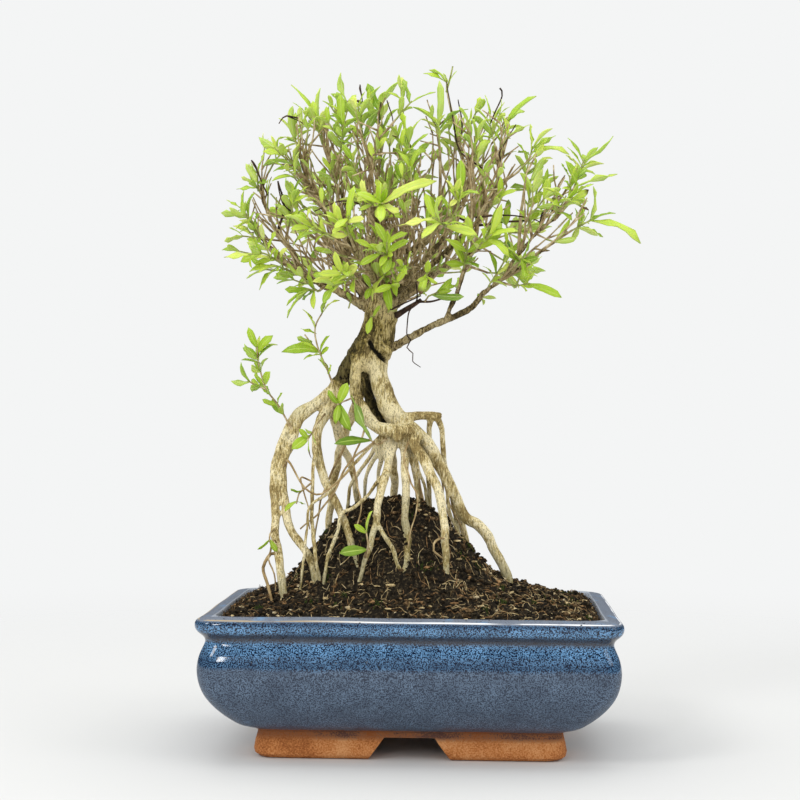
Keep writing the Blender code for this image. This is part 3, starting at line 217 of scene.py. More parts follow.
ROOTS = (
    Limb("root_right", ((-4, -6, 160, 3.4), (2, -5, 156, 3.3), (8, -4, 148, 3.3),
                        (21, 2, 124, 2.9), (26, 3, 113, 2.8), (35, 2, 107, 2.7), (46, 0, 86, 2.5),
                        (50, 0, 72, 1.8))),
    Limb("root_front_right", ((-2, -8, 157, 2.8), (1, -11, 149, 2.9), (8, -16, 138, 2.6),
                              (14, -21, 122, 2.3), (16, -25, 101, 2.0), (18, -31, 74, 1.4))),
    Limb("root_front", ((-6, -4, 157, 2.6), (-5, -8, 148, 2.3), (-4, -13, 135, 2.1),
                        (-4, -18, 116, 2.0), (-2, -24, 102, 2.1), (-4, -33, 88, 1.7),
                        (-5, -37, 76, 1.2))),
    Limb("root_front_left", ((-9, -4, 156, 2.4), (-11, -9, 147, 2.3), (-14, -15, 136, 2.1),
                             (-17, -21, 124, 2.0), (-18, -25, 110, 1.7), (-23, -33, 94, 1.3),
                             (-28, -40, 74, 0.9))),
    Limb("root_front_fork", ((-17, -25, 111, 1.4), (-14, -28, 106, 1.2), (-10, -30, 100, 1.2),
                             (-7, -32, 93, 1.1), (-5, -34, 84, 0.9)), 4),
    Limb("root_inner", ((-6, -8, 157, 2.2), (-2, -6, 143, 1.4), (1, -3, 132, 1.3), (2, -4, 122, 1.2),
                        (1, -12, 107, 1.2), (1, -19, 98, 1.1), (1, -24, 86, 0.9)), 4),
    Limb("root_stub", ((-12, -6, 157, 3.6), (-14, -8, 150, 2.9), (-14, -9, 145, 2.2),
                       (-13, -10, 139, 0.9))),
    Limb("root_arm", ((-7, -4, 163, 3.2), (-1, -3, 164, 2.4), (4, -1, 165, 2.3), (13, 2, 164, 2.3))),
    Limb("root_arm_drop", ((11, 1, 164, 1.7), (14, 4, 156, 1.5), (14, 8, 146, 1.4), (17, 11, 132, 1.4),
                           (20, 12, 118, 1.3), (23, 13, 100, 1.0)), 4),
    Limb("root_arm_back", ((8, 0, 164, 1.6), (7, 4, 156, 1.4), (6, 9, 142, 1.4), (7, 16, 126, 1.3),
                           (8, 20, 106, 1.0)), 4),
    Limb("root_thin_right", ((12, -3, 142, 1.6), (16, -2, 128, 1.0), (18, -1, 116, 0.9),
                             (23, 0, 103, 0.9), (25, 0, 90, 0.8)), 4),
    Limb("root_thin_middle", ((-2, -6, 152, 1.5), (2, -4, 138, 1.0), (6, 2, 124, 0.9),
                              (8, 5, 108, 0.8)), 4),
    Limb("root_fan_1", ((-12, -8, 157, 1.8), (-19, -3, 149, 1.3), (-26, 3, 139, 1.1),
                        (-33, 7, 128, 1.1), (-36, 9, 106, 0.9)), 4),
    Limb("root_fan_2", ((-14, -8, 157, 1.5), (-22, -11, 149, 1.0), (-32, -16, 138, 0.9),
                        (-41, -22, 127, 0.9), (-50, -26, 119, 0.8), (-52, -27, 106, 0.8),
                        (-54, -29, 88, 0.8), (-55, -30, 74, 0.7)), 4),
    Limb("root_fan_3", ((-15, -8, 156, 1.6), (-19, -4, 145, 1.3), (-24, 0, 135, 1.1),
                        (-25, 3, 122, 1.1), (-26, 6, 104, 0.9)), 4),
    Limb("root_fan_4", ((-13, -9, 154, 1.9), (-16, -6, 146, 1.4), (-18, 0, 134, 1.1),
                        (-18, 6, 120, 1.0), (-18, 9, 104, 0.9)), 4),
    Limb("root_looped", ((-16, -15, 134, 1.2), (-22, -17, 126, 1.0), (-29, -19, 119, 1.0),
                         (-35, -21, 116, 1.0), (-37, -24, 107, 1.0), (-41, -28, 97, 1.0),
                         (-43, -31, 86, 1.0), (-44, -33, 74, 0.8)), 4),
    Limb("root_left_inner", ((-40, 1, 177, 4.3), (-44, 0, 168, 3.4), (-48, -3, 161, 2.8),
                             (-49, -7, 149, 2.5), (-46, -10, 135, 2.3), (-37, -16, 118, 2.1),
                             (-30, -24, 101, 1.9), (-24, -36, 80, 1.2))),
    Limb("root_left_thin", ((-49, -8, 152, 1.6), (-50, -15, 137, 1.1), (-50, -20, 120, 1.1),
                            (-49, -25, 104, 1.1), (-46, -28, 89, 1.0), (-45, -30, 76, 0.8)), 4),
    Limb("root_behind", ((-41, 2, 173, 3.8), (-41, 7, 162, 2.7), (-38, 12, 148, 2.2),
                         (-33, 17, 137, 1.9), (-28, 24, 100, 1.2)), 4),
    Limb("root_left_1", ((-38, 1, 182, 4.0), (-43, 0, 176, 3.4), (-51, -2, 170, 3.0),
                         (-59, -4, 162, 2.6), (-62, -7, 152, 2.4), (-66, -11, 139, 2.3),
                         (-62, -17, 110, 2.2), (-56, -20, 101, 2.1), (-50, -24, 92, 2.0),
                         (-45, -30, 72, 1.3))),
    Limb("root_left_2", ((-51, -2, 170, 2.6), (-58, -4, 166, 2.5), (-64, -6, 157, 2.4),
                         (-68, -9, 146, 2.3), (-70, -12, 133, 2.4), (-69, -17, 114, 2.2),
                         (-67, -24, 100, 2.1), (-63, -31, 78, 2.2), (-61, -33, 66, 1.4))),
    Limb("root_back_left", ((-24, 2, 190, 3.2), (-30, 12, 172, 2.6), (-38, 22, 152, 2.3),
                            (-44, 31, 128, 2.1), (-48, 42, 86, 1.7),
                            (-49, 45, 72, 1.2)), 4),
    Limb("root_back", ((-16, 0, 176, 3.0), (-16, 12, 158, 2.5), (-12, 24, 138, 2.2),
                       (-12, 33, 116, 2.0), (-9, 40, 96, 1.8), (-8, 45, 80, 1.3)), 4),
    Limb("root_back_right", ((-6, -2, 161, 2.8), (4, 8, 150, 2.4), (14, 18, 136, 2.2),
                             (22, 27, 116, 2.0), (26, 33, 98, 1.8), (29, 38, 80, 1.4)), 4),
)

BRANCHES = (
    Limb("branch_right", ((-16, -2, 197, 2.4), (-8, -5, 201, 2.2), (5, -8, 208, 1.8),
                          (16, -11, 213, 1.7), (28, -13, 219, 1.6), (37, -15, 228, 1.4),
                          (52, -18, 238, 1.0)), 4),
    Limb("branch_right_fork", ((16, -12, 214, 1.3), (19, -14, 221, 1.2), (24, -18, 234, 1.0),
                               (28, -19, 247, 1.0), (28, -20, 257, 0.8)), 4),
    Limb("branch_right_rise", ((43, -16, 232, 1.0), (50, -18, 243, 1.0), (60, -19, 255, 0.8),
                               (70, -18, 263, 0.8)), 4),
    Limb("branch_left", ((-18, 0, 214, 2.7), (-26, 0, 220, 2.4), (-36, -1, 226, 2.2),
                         (-48, -2, 231, 1.8), (-58, -4, 236, 1.5), (-73, -6, 248, 1.0),
                         (-80, -6, 256, 0.8)), 4),
    Limb("branch_left_rise", ((-56, -4, 235, 1.3), (-63, -5, 248, 1.2), (-76, 0, 267, 0.9),
                              (-81, 4, 288, 0.8), (-85, 6, 295, 0.8)), 4),
    Limb("branch_up_left", ((-19, 0, 218, 2.6), (-27, 1, 226, 2.2), (-33, 3, 239, 1.9),
                            (-37, 5, 259, 1.4), (-36, 6, 271, 1.1), (-42, 7, 285, 1.0),
                            (-47, 9, 303, 0.8)), 4),
    Limb("branch_up_left_fork", ((-36, 4, 254, 1.1), (-44, 3, 265, 1.0), (-51, 2, 275, 0.9),
                                 (-57, -1, 288, 0.8), (-60, -4, 301, 0.8)), 4),
    Limb("branch_middle", ((-16, 0, 224, 3.0), (-18, 4, 232, 2.5), (-17, 5, 241, 2.1),
                           (-12, 7, 247, 1.8), (2, 8, 252, 1.5), (20, 13, 271, 1.1),
                           (27, 13, 284, 1.0), (21, 12, 306, 0.8)), 4),
    Limb("branch_middle_left", ((-17, 4, 240, 1.4), (-16, 0, 252, 1.2), (-21, -4, 264, 1.0),
                                (-25, -7, 276, 0.8), (-22, -10, 290, 0.8)), 4),
    Limb("branch_up_right", ((-14, 0, 222, 2.5), (-7, -5, 229, 1.9), (5, -8, 238, 1.7),
                             (25, -14, 256, 1.3), (36, -13, 268, 1.0), (41, -12, 280, 0.9),
                             (41, -12, 293, 0.8)), 4),
    Limb("branch_upright", ((-19, -2, 222, 2.4), (-19, -3, 242, 1.9), (-18, -4, 258, 1.4),
                            (-16, -4, 276, 1.0)), 4),
    Limb("branch_upright_right", ((-14, -2, 222, 1.9), (-9, -4, 242, 1.5), (-4, -6, 257, 1.1),
                                  (2, -8, 273, 0.8)), 4),
    Limb("branch_front_left", ((-16, -3, 222, 2.2), (-20, -18, 232, 1.7), (-26, -34, 242, 1.3),
                               (-32, -46, 250, 1.0)), 4),
    Limb("branch_front_right", ((-12, -4, 224, 2.1), (0, -22, 236, 1.6), (11, -36, 246, 1.3),
                                (18, -46, 254, 1.0)), 4),
    Limb("branch_back_left", ((-18, 2, 222, 2.2), (-30, 18, 235, 1.7), (-42, 32, 248, 1.3),
                              (-52, 44, 260, 1.0)), 4),
    Limb("branch_back_right", ((-13, 3, 222, 2.2), (4, 18, 235, 1.7), (22, 31, 247, 1.3),
                               (38, 41, 258, 1.0)), 4),
    Limb("branch_back", ((-16, 3, 226, 2.2), (-14, 22, 243, 1.6), (-10, 38, 260, 1.2),
                         (-8, 50, 276, 1.0)), 4),
    Limb("branch_back_low", ((-14, 4, 218, 1.8), (-6, 24, 226, 1.4), (4, 42, 235, 1.0),
                             (10, 54, 244, 0.8)), 4),
    Limb("stump_left", ((-34, 4, 246, 3.6), (-41, 1, 249, 3.2)), 6),
    Limb("stump_right", ((-10, -3, 215, 2.8), (3, -7, 223, 1.6)), 6),
    Limb("dead_twig_right", ((2, -7, 222, 1.2), (9, -10, 222, 0.9), (19, -13, 225, 0.7)), 4),
    Limb("dead_tendril", ((0, -7, 220, 1.0), (-2, -10, 214, 0.7), (-3, -10, 206, 0.7),
                          (1, -11, 196, 0.6)), 4),
    Limb("dead_twig_low", ((-46, -2, 229, 1.2), (-41, -7, 241, 0.9), (-43, -9, 247, 0.7)), 4),
    Limb("dead_twig_far", ((-70, -2, 259, 1.2), (-67, -4, 271, 0.9), (-70, -6, 283, 0.7)), 4),
    Limb("dead_twig_level", ((30, 8, 262, 1.1), (46, 5, 264, 1.0), (58, 2, 264, 0.8)), 4),
    Limb("dead_twig_root", ((19, 11, 268, 1.4), (30, 8, 262, 1.1)), 4),
    Limb("dead_stub_right", ((62, -19, 258, 1.0), (64, -12, 267, 0.9), (72, -10, 269, 0.9)), 4),
)

SPRAYS = (
    # Left side, as in front view
    Spray("far_left", ((-73, -6, 249), (-78, -11, 256), (-83, -14, 263), (-88, -14, 269)), 9,
          ((-95, -16, 272), (-92, -12, 265), (-87, -10, 278), (-80, -18, 276))),
    Spray("far_left_high", ((-79, 2, 276), (-81, -2, 280), (-83, -4, 283)), 2.5,
          ((-86, 0, 293), (-89, -6, 285), (-92, -2, 279)), pairs=0),
    Spray("left_yellow", ((-69, -5, 244), (-75, -14, 249), (-81, -20, 254), (-84, -22, 258)), 11,
          ((-87, -24, 255), (-79, -24, 266))),
    Spray("left_single", ((-60, -4, 237), (-66, -18, 240), (-74, -30, 244), (-81, -34, 243)), 18,
          ((-93, -36, 241), (-78, -32, 252), (-79, -36, 236)), pairs=2),
    Spray("left_star", ((-56, -4, 235), (-61, -16, 236), (-67, -24, 238), (-71, -26, 239)), 14,
          ((-82, -26, 236), (-82, -30, 243), (-78, -22, 227), (-76, -34, 234)), forks=1),
    Spray("left_under", ((-46, -2, 230), (-48, -12, 227), (-51, -19, 227), (-54, -21, 227)), 11,
          ((-64, -20, 219), (-64, -24, 213), (-50, -22, 217), (-65, -18, 228)), pairs=0),
    Spray("upper_left_low", ((-66, -4, 253), (-63, -12, 262), (-61, -16, 270), (-60, -17, 275)), 10,
          ((-71, -12, 271), (-58, -16, 284), (-66, -20, 283)), pairs=2),
    Spray("upper_left", ((-55, 0, 283), (-61, -5, 290), (-66, -8, 297)), 7,
          ((-80, -8, 305), (-68, -4, 288), (-69, -12, 302)), pairs=2),
    Spray("upper_left_tip", ((-59, -3, 296), (-62, 2, 304), (-65, 5, 311)), 7,
          ((-71, 4, 317), (-54, 4, 311))),
    # Top of the crown, left to right
    Spray("top_left", ((-45, 8, 294), (-49, 10, 306), (-51, 10, 317)), 12,
          ((-65, 11, 336), (-59, 8, 322), (-51, 12, 334), (-44, 7, 325))),
    Spray("top_left_back", ((-46, 9, 299), (-42, 17, 309), (-38, 22, 320), (-37, 23, 329)), 14,
          ((-42, 24, 344), (-46, 22, 333), (-33, 28, 334))),
    Spray("top_left_front", ((-42, 7, 285), (-39, -4, 296), (-37, -9, 304), (-37, -11, 311)), 17,
          ((-38, -12, 326), (-42, -16, 316)), pairs=2),
    Spray("top_bud", ((-22, -10, 290), (-25, -3, 300), (-28, 0, 310), (-28, 0, 320)), 14,
          ((-19, 1, 333), (-34, -3, 326)), pairs=2),
    Spray("top_middle_back", ((-23, -8, 286), (-19, 4, 298), (-18, 12, 312), (-20, 14, 325)), 22,
          ((-10, 14, 338), (-15, 10, 336), (-26, 16, 337)), pairs=2),
    Spray("top_long_twig", ((-22, -10, 290), (-19, -11, 302), (-10, -13, 313), (-2, -14, 322)), 26,
          ((-7, -15, 333), (10, -14, 327), (-8, -18, 318)), pairs=0),
    Spray("top_front", ((-19, -3, 260), (-10, -16, 274), (-3, -21, 290), (-3, -22, 302)), 30,
          ((-6, -24, 315), (2, -22, 312), (3, -26, 294)), pairs=2),
    Spray("top_highest", ((21, 12, 306), (18, 9, 318), (15, 8, 332), (15, 8, 337)), 25,
          ((3, 7, 341), (8, 10, 343), (20, 8, 342)), pairs=0),
    Spray("top_upright", ((14, 10, 261), (12, 0, 282), (12, -5, 298), (11, -5, 313)), 42,
          ((12, -6, 334), (-2, -6, 321), (24, -5, 322)), pairs=2, leaf=11.0),
    Spray("top_right_back", ((25, 13, 288), (22, 17, 300), (19, 18, 309)), 12,
          ((18, 20, 323), (32, 17, 320)), forks=1),
    Spray("top_right_front", ((36, -13, 268), (33, -18, 282), (30, -20, 293), (30, -20, 301)), 20,
          ((28, -21, 313), (35, -22, 313)), pairs=2),
    Spray("top_right_yellow", ((41, -12, 291), (40, -6, 300), (38, -2, 308), (37, -1, 313)), 12,
          ((35, 0, 328), (30, -2, 321), (44, -2, 324))),
    Spray("top_right_large", ((41, -12, 284), (42, 0, 296), (43, 9, 308), (46, 12, 317)), 24,
          ((61, 13, 330), (54, 16, 328), (38, 16, 322)), leaf=12.0),
    # Right side
    Spray("right_top", ((50, -17, 246), (53, -12, 268), (56, -4, 290), (59, 4, 302)), 40,
          ((69, 6, 312), (71, 2, 307), (78, 6, 302), (57, 6, 314)), pairs=2),
    Spray("right_middle", ((58, -19, 253), (56, -14, 266), (55, -8, 278), (57, -5, 288)), 14,
          ((49, -4, 294), (64, -8, 295), (70, -4, 287), (44, -6, 282)), pairs=2),
    Spray("right_yellow", ((52, -18, 245), (56, -22, 258), (58, -24, 270), (58, -24, 276)), 14,
          ((57, -26, 264), (63, -27, 282), (68, -22, 266)), pairs=0),
    Spray("right_outer_top", ((70, -18, 263), (78, -15, 276), (82, -14, 287), (84, -14, 293)), 18,
          ((76, -14, 304), (99, -14, 304), (93, -16, 292), (79, -16, 300))),
    Spray("right_outer_middle", ((69, -18, 262), (75, -24, 268), (78, -27, 274), (80, -28, 279)), 8,
          ((100, -26, 283), (74, -30, 290), (87, -34, 277))),
    Spray("right_outer_low", ((63, -19, 257), (68, -26, 262), (72, -32, 268), (74, -34, 272)), 9,
          ((62, -36, 276), (85, -36, 264), (80, -38, 278)), forks=1),
    Spray("right_far", ((52, -18, 238), (62, -21, 246), (77, -23, 256), (88, -24, 262)), 32,
          ((89, -24, 278), (113, -24, 254), (79, -28, 267), (99, -22, 266))),
    Spray("right_low", ((42, -16, 231), (50, -22, 229), (57, -25, 230)), 8,
          ((73, -26, 223), (55, -28, 241), (61, -22, 238)), pairs=0),
    Spray("right_cluster", ((48, -17, 236), (51, -27, 239), (53, -35, 242)), 10,
          ((61, -38, 235), (54, -38, 231), (46, -44, 246), (57, -36, 251)), pairs=0),
    Spray("middle_right_long", ((25, -18, 238), (28, -30, 243), (33, -40, 248), (38, -44, 252)), 16,
          ((43, -44, 267), (51, -44, 254), (28, -50, 252), (47, -48, 243))),
    Spray("middle_right_low", ((21, -15, 226), (24, -22, 236), (26, -30, 245), (27, -32, 251)), 14,
          ((36, -34, 245), (15, -32, 239)), pairs=2),
    Spray("trunk_leaves", ((-13, -5, 226), (-14, -15, 231), (-15, -22, 235)), 11,
          ((-11, -26, 217), (1, -26, 236), (-26, -26, 226)), pairs=0, leaf=9.0),
    # Front of the crown
    Spray("front_pale", ((18, -46, 254), (16, -54, 255), (12, -61, 257), (10, -63, 258)), 6,
          ((31, -64, 250), (-6, -66, 253), (6, -62, 270))),
    Spray("front_pale_high", ((-22, -8, 270), (-18, -30, 268), (-16, -48, 265), (-14, -60, 265)), 36,
          ((10, -66, 277), (-26, -68, 269), (-14, -72, 255)), forks=1),
    Spray("front_broad", ((13, -38, 248), (18, -44, 258), (22, -50, 266), (23, -52, 272)), 12,
          ((23, -54, 287), (32, -58, 270)), leaf=14.0),
    Spray("front_middle", ((-6, -14, 230), (-9, -34, 236), (-12, -50, 242), (-12, -56, 247)), 26,
          ((-15, -58, 235), (-3, -60, 252), (-17, -62, 256)), pairs=2),
    Spray("front_left_broad", ((-32, -46, 250), (-39, -49, 251), (-46, -52, 253), (-50, -53, 255)), 6,
          ((-31, -56, 250), (-61, -56, 260), (-56, -58, 247)), leaf=14.0),
    Spray("front_left_tall", ((-28, -38, 244), (-30, -48, 250), (-31, -56, 255), (-30, -60, 259)), 10,
          ((-27, -62, 273), (-36, -68, 252), (-22, -68, 257))),
    Spray("front_left_low", ((-22, -22, 235), (-28, -36, 231), (-32, -46, 232), (-34, -50, 233)), 14,
          ((-37, -54, 243), (-45, -54, 232), (-30, -60, 233)), forks=1),
    # Back of the crown
    Spray("back_left_far", ((-52, 44, 260), (-60, 49, 264), (-68, 51, 268), (-73, 51, 271)),
          6, pairs=2, forks=1),
    Spray("back_left_high", ((-46, 36, 252), (-49, 40, 266), (-52, 42, 280), (-53, 42, 288)),
          14, pairs=2, forks=1),
    Spray("back_left_low", ((-36, 26, 242), (-48, 30, 240), (-60, 33, 240), (-66, 34, 241)),
          14, pairs=2, forks=1),
    Spray("back_left_inner", ((-37, 6, 264), (-42, 22, 276), (-44, 31, 290), (-44, 34, 300)),
          24, pairs=2, forks=1),
    Spray("back_middle", ((-8, 50, 276), (-12, 56, 282), (-16, 61, 288), (-18, 63, 293)),
          5, pairs=2, forks=1),
    Spray("back_middle_high", ((-12, 32, 254), (-6, 36, 272), (-3, 37, 290), (-2, 36, 302)),
          24, pairs=2, forks=1),
    Spray("back_low", ((10, 54, 244), (10, 61, 248), (8, 67, 251), (7, 69, 253)), 4, pairs=2, forks=1),
    Spray("back_right_far", ((38, 41, 258), (48, 46, 262), (58, 48, 267), (63, 48, 271)),
          7, pairs=2, forks=1),
    Spray("back_right_high", ((30, 36, 252), (32, 40, 268), (34, 40, 282), (34, 39, 292)),
          16, pairs=2, forks=1),
    Spray("back_right_low", ((20, 30, 245), (36, 32, 240), (50, 33, 240), (57, 33, 242)),
          18, pairs=2, forks=1),
)
LOW_SPRAYS = (
    Spray("low_far_left", ((-62, -6, 156), (-68, -12, 169), (-74, -17, 178), (-77, -20, 189),
                           (-78, -22, 199)),
          8,
          ((-82, -26, 208), (-68, -16, 200), (-71, -28, 204), (-86, -22, 192)), pairs=2, leaf=10.0),
    Spray("low_left", ((-40, 0, 176), (-44, -5, 187), (-49, -9, 199), (-50, -10, 209), (-46, -11, 217)), 5,
          ((-67, -12, 198), (-43, -12, 199), (-56, -14, 193), (-58, -8, 208), (-39, -13, 224)), pairs=0,
          leaf=10.0),
    Spray("front_pair", ((-13, -10, 153), (-18, -16, 150), (-22, -20, 153)), 4,
          ((-30, -24, 175), (-39, -26, 151)), pairs=0),
    Spray("base_shoot", ((-23, -33, 95), (-21, -38, 102), (-22, -39, 109)), 4,
          ((-35, -42, 98), (-19, -42, 119), (-28, -40, 112)), pairs=0, leaf=9.0),
)

# Sprays too small for the solids, in the same form as the sprays of the solids
EXTRA_SPRAYS = (
    Spray("under_middle", ((-30, -8, 226), (-32, -14, 222), (-33, -15, 218)), 5,
          leaf_tips=((-36, -14, 212), (-29, -14, 213)), pairs=1, leaf=8),
    Spray("middle_right_under", ((36, -15, 227), (37, -26, 229), (41, -30, 235)), 9,
          leaf_tips=((47, -30, 241), (37, -30, 245), (46, -30, 228), (35, -30, 239)), leaf=9),
    Spray("right_under_low", ((30, -12, 227), (33, -10, 224), (35, -10, 222)), 4,
          leaf_tips=((26, -10, 219), (35, -10, 214), (42, -10, 219)), pairs=0, leaf=8),
    Spray("under_right", ((5, -8, 224), (7, -18, 224), (12, -20, 226)), 8,
          leaf_tips=((19, -20, 227), (20, -20, 232), (19, -20, 221)), pairs=1, leaf=9),
    Spray("withered_right", ((52, -18, 240), (57, -26, 242), (61, -30, 243)), 8,
          leaf_tips=((72, -30, 238), (66, -30, 247)), pairs=0, leaf=10),
    Spray("right_front_single", ((60, -19, 255), (67, -24, 251), (70, -26, 250)), 8,
          leaf_tips=((77, -26, 262), (80, -27, 252)), pairs=0, leaf=10),
    Spray("trunk_middle", ((-16, -6, 216), (-12, -13, 217), (-9, -15, 217)), 5,
          leaf_tips=((-3, -14, 213), (-14, -14, 225)), pairs=0, leaf=8),
    Spray("trunk_left", ((-20, -6, 214), (-21, -12, 214), (-22, -15, 214)), 5,
          leaf_tips=((-26, -14, 207), (-17, -15, 220)), pairs=0, leaf=8),
    Spray("low_left_small", ((-44, -6, 168), (-48, -20, 160), (-52, -28, 152)), 14,
          leaf_tips=((-56, -30, 158), (-50, -30, 143), (-60, -30, 148)), pairs=1, leaf=8),
    Spray("low_left_lowest", ((-53, -18, 132), (-56, -26, 126), (-57, -29, 121)), 8,
          leaf_tips=((-63, -30, 117), (-52, -30, 121), (-60, -30, 128)), pairs=0, leaf=8),
    Spray("low_middle_small", ((-35, -4, 172), (-36, -18, 171), (-37, -28, 170)), 14,
          leaf_tips=((-42, -30, 177), (-32, -30, 181), (-38, -30, 161), (-31, -30, 157)), pairs=0,
          leaf=8),
    Spray("low_outer_small", ((-68, -26, 112), (-70, -29, 106), (-70, -30, 102)), 4,
          leaf_tips=((-76, -30, 98), (-66, -30, 97)), pairs=0, leaf=6),
)

# The edge of the crown from the front, x and z in millimetres over the pot's middle
CROWN_OUTLINE = ((-100, 245), (-98, 273), (-88, 296), (-80, 308), (-67, 318), (-65, 334), (-40, 339),
                 (-26, 334), (-8, 339), (8, 341), (20, 338), (42, 333), (58, 328), (69, 313),
                 (79, 308), (99, 307), (103, 284), (95, 268), (110, 257), (93, 253), (79, 249),
                 (64, 240), (70, 226), (53, 228), (33, 220), (23, 222), (12, 228), (-7, 223),
                 (-16, 218), (-23, 223), (-44, 223), (-64, 217), (-78, 229))

# Sprays and leaves that the photo shows yellow or pale, by a word in their name
PALE_WORDS = ("yellow", "pale", "front_broad")


def lerp(start: float, end: float, share: float) -> float:
    """Return the value that lies the given share of the way from start to end."""
    return start + (end - start) * share


def soil_height(x: float, y: float) -> float:
    """Return the height of the packed soil in millimetres at a place in the pot."""
    dome = SOIL_DOME * (1 - (x / SOIL_REACH_X) ** 2) * (1 - (y / SOIL_REACH_Y) ** 2)
    reach = CLUMP_LEFT if x < CLUMP_CENTRE[0] else CLUMP_RIGHT
    distance = math.hypot((x - CLUMP_CENTRE[0]) / reach, (y - CLUMP_CENTRE[1]) / CLUMP_DEPTH)
    clump = SOIL_CLUMP * math.exp(-distance ** 3)
    rough = SOIL_ROUGHNESS * noise.noise(Vector((x, y, 0.0)) * SOIL_GRAIN)
    return SOIL_EDGE + max(dome, 0.0) + clump + rough


def path_length(points: Route) -> float:
    """Return the length of a polyline."""
    return sum((b - a).length for a, b in zip(points, points[1:]))


def point_along(points: Route, distance: float) -> tuple[Vector, Vector]:
    """Return the point and the direction at a distance along a polyline."""
    for a, b in zip(points, points[1:]):
        step = (b - a).length
        if distance <= step:
            return a.lerp(b, distance / step), (b - a).normalized()
        distance -= step
    return points[-1].copy(), (points[-1] - points[-2]).normalized()


def cut_path(points: Route, distance: float) -> tuple[Route, Route]:
    """Split a polyline at a distance from its start into two polylines."""
    place, direction = point_along(points, distance)
    before = []
    travelled = 0.0
    for index, point in enumerate(points):
        if index:
            travelled += (point - points[index - 1]).length
        if travelled < distance - 1.0:
            before.append(point)
    after = points[len(before):]
    after = [p for p in after if (p - place).dot(direction) > 1.5]
    return before + [place], [place + direction * GAP] + after


def nearest_along(points: Route, target: Vector) -> float:
    """Return how far along a polyline its nearest point to the target lies."""
    best = (1e9, 0.0)
    travelled = 0.0
    for a, b in zip(points, points[1:]):
        step = b - a
        share = min(max((target - a).dot(step) / step.length_squared, 0.0), 1.0)
        best = min(best, ((target - a.lerp(b, share)).length, travelled + share * step.length))
        travelled += step.length
    return best[1]


def nearest_on_wood(target: Vector) -> Vector:
    """Return the point on the axes of the wood nearest to the target."""
    best = (1e9, target)
    for limb in TRUNK + ROOTS + BRANCHES:
        axis = [Vector(p[:3]) for p in limb.points]
        place, _ = point_along(axis, nearest_along(axis, target))
        best = min(best, ((target - place).length, place), key=lambda pair: pair[0])
    return best[1]


def tube_shape(points: Route, radii: Sequence[float], sides: int = 4) -> Shape:
    """Return the vertices and faces of a plain open tube, for testing room only."""
    vertices = []
    for index, point in enumerate(points):
        ahead = points[min(index + 1, len(points) - 1)]
        behind = points[max(index - 1, 0)]
        axis = (ahead - behind).normalized()
        side = axis.orthogonal().normalized()
        other = axis.cross(side)
        for step in range(sides):
            angle = math.tau * step / sides
            aside = side * math.cos(angle) + other * math.sin(angle)
            vertices.append(point + aside * radii[index])
    faces = []
    for ring in range(len(points) - 1):
        for side_index in range(sides):
            a = ring * sides + side_index
            b = ring * sides + (side_index + 1) % sides
            faces.append((a, b, b + sides, a + sides))
    return vertices, faces


def leaf_frame(leaf: Leaf) -> tuple[Vector, Vector, Vector]:
    """Return a leaf's direction, its sideways direction and its upward direction."""
    direction = (leaf.tip - leaf.base).normalized()
    side = direction.cross(leaf.up).normalized()
    return direction, side, side.cross(direction).normalized()


def blade_shape(leaf: Leaf, margin: float = 0.0) -> Shape:
    """Return the plain blade of the solids, for testing room.

    Args:
        leaf: the leaf to shape.
        margin: millimetres added all round.

    Returns:
        Its vertices and its faces.
    """
    direction, side, up = leaf_frame(leaf)
    length = (leaf.tip - leaf.base).length
    half = leaf.width / 2 + margin
    vertices = [leaf.base - direction * LEAF_SUNK]
    if margin:
        vertices = [leaf.base + direction * LEAF_PROBE_START]
    for share, fullness in LEAF_STATIONS:
        arch = up * length * LEAF_ARCH * share * (1 - share)
        centre = leaf.base + direction * length * share + arch
        vertices.append(centre + side * half * fullness + up * margin)
        vertices.append(centre - side * half * fullness + up * margin)
        vertices.append(centre - up * (LEAF_KEEL * (0.75 + 0.25 * fullness) + margin))
    vertices.append(leaf.tip + direction * margin)
    faces = [(0, 1, 2), (0, 2, 3), (0, 3, 1), (7, 5, 4), (7, 6, 5), (7, 4, 6)]
    faces += [(1, 4, 5, 2), (2, 5, 6, 3), (3, 6, 4, 1)]
    return vertices, faces


class Room:
    """The space taken by each spray so far, for keeping leaves clear of each other."""

    def __init__(self) -> None:
        """Start with nothing taken."""
        self.shapes: dict[str, Shape] = {}
        self.trees: dict[str, BVHTree] = {}

    def take(self, node: str, shape: Shape) -> None:
        """Record that a node fills the given shape."""
        vertices, faces = self.shapes.setdefault(node, ([], []))
        start = len(vertices)
        vertices.extend(shape[0])
        faces.extend(tuple(start + index for index in face) for face in shape[1])
        self.trees.pop(node, None)

    def tree(self, node: str) -> BVHTree:
        """Return the search tree of a node's shape."""
        if node not in self.trees:
            self.trees[node] = BVHTree.FromPolygons(*self.shapes[node])
        return self.trees[node]

    def is_free(self, node: str, shape: Shape) -> bool:
        """Return whether a shape of a node crosses no other node."""
        probe = BVHTree.FromPolygons(*shape)
        return not any(probe.overlap(self.tree(other)) for other in self.shapes if other != node)


def is_near_wood(target: Vector) -> bool:
    """Return whether a point is inside a limb, or too near one for a stem to start."""
    for limb in TRUNK + ROOTS + BRANCHES:
        for start, end in zip(limb.points, limb.points[1:]):
            a = Vector(start[:3])
            step = Vector(end[:3]) - a
            share = min(max((target - a).dot(step) / step.length_squared, 0.0), 1.0)
            reach = lerp(start[3], end[3], share) + STEM_START_CLEARANCE
            if (target - a - step * share).length < reach:
                return True
    return False


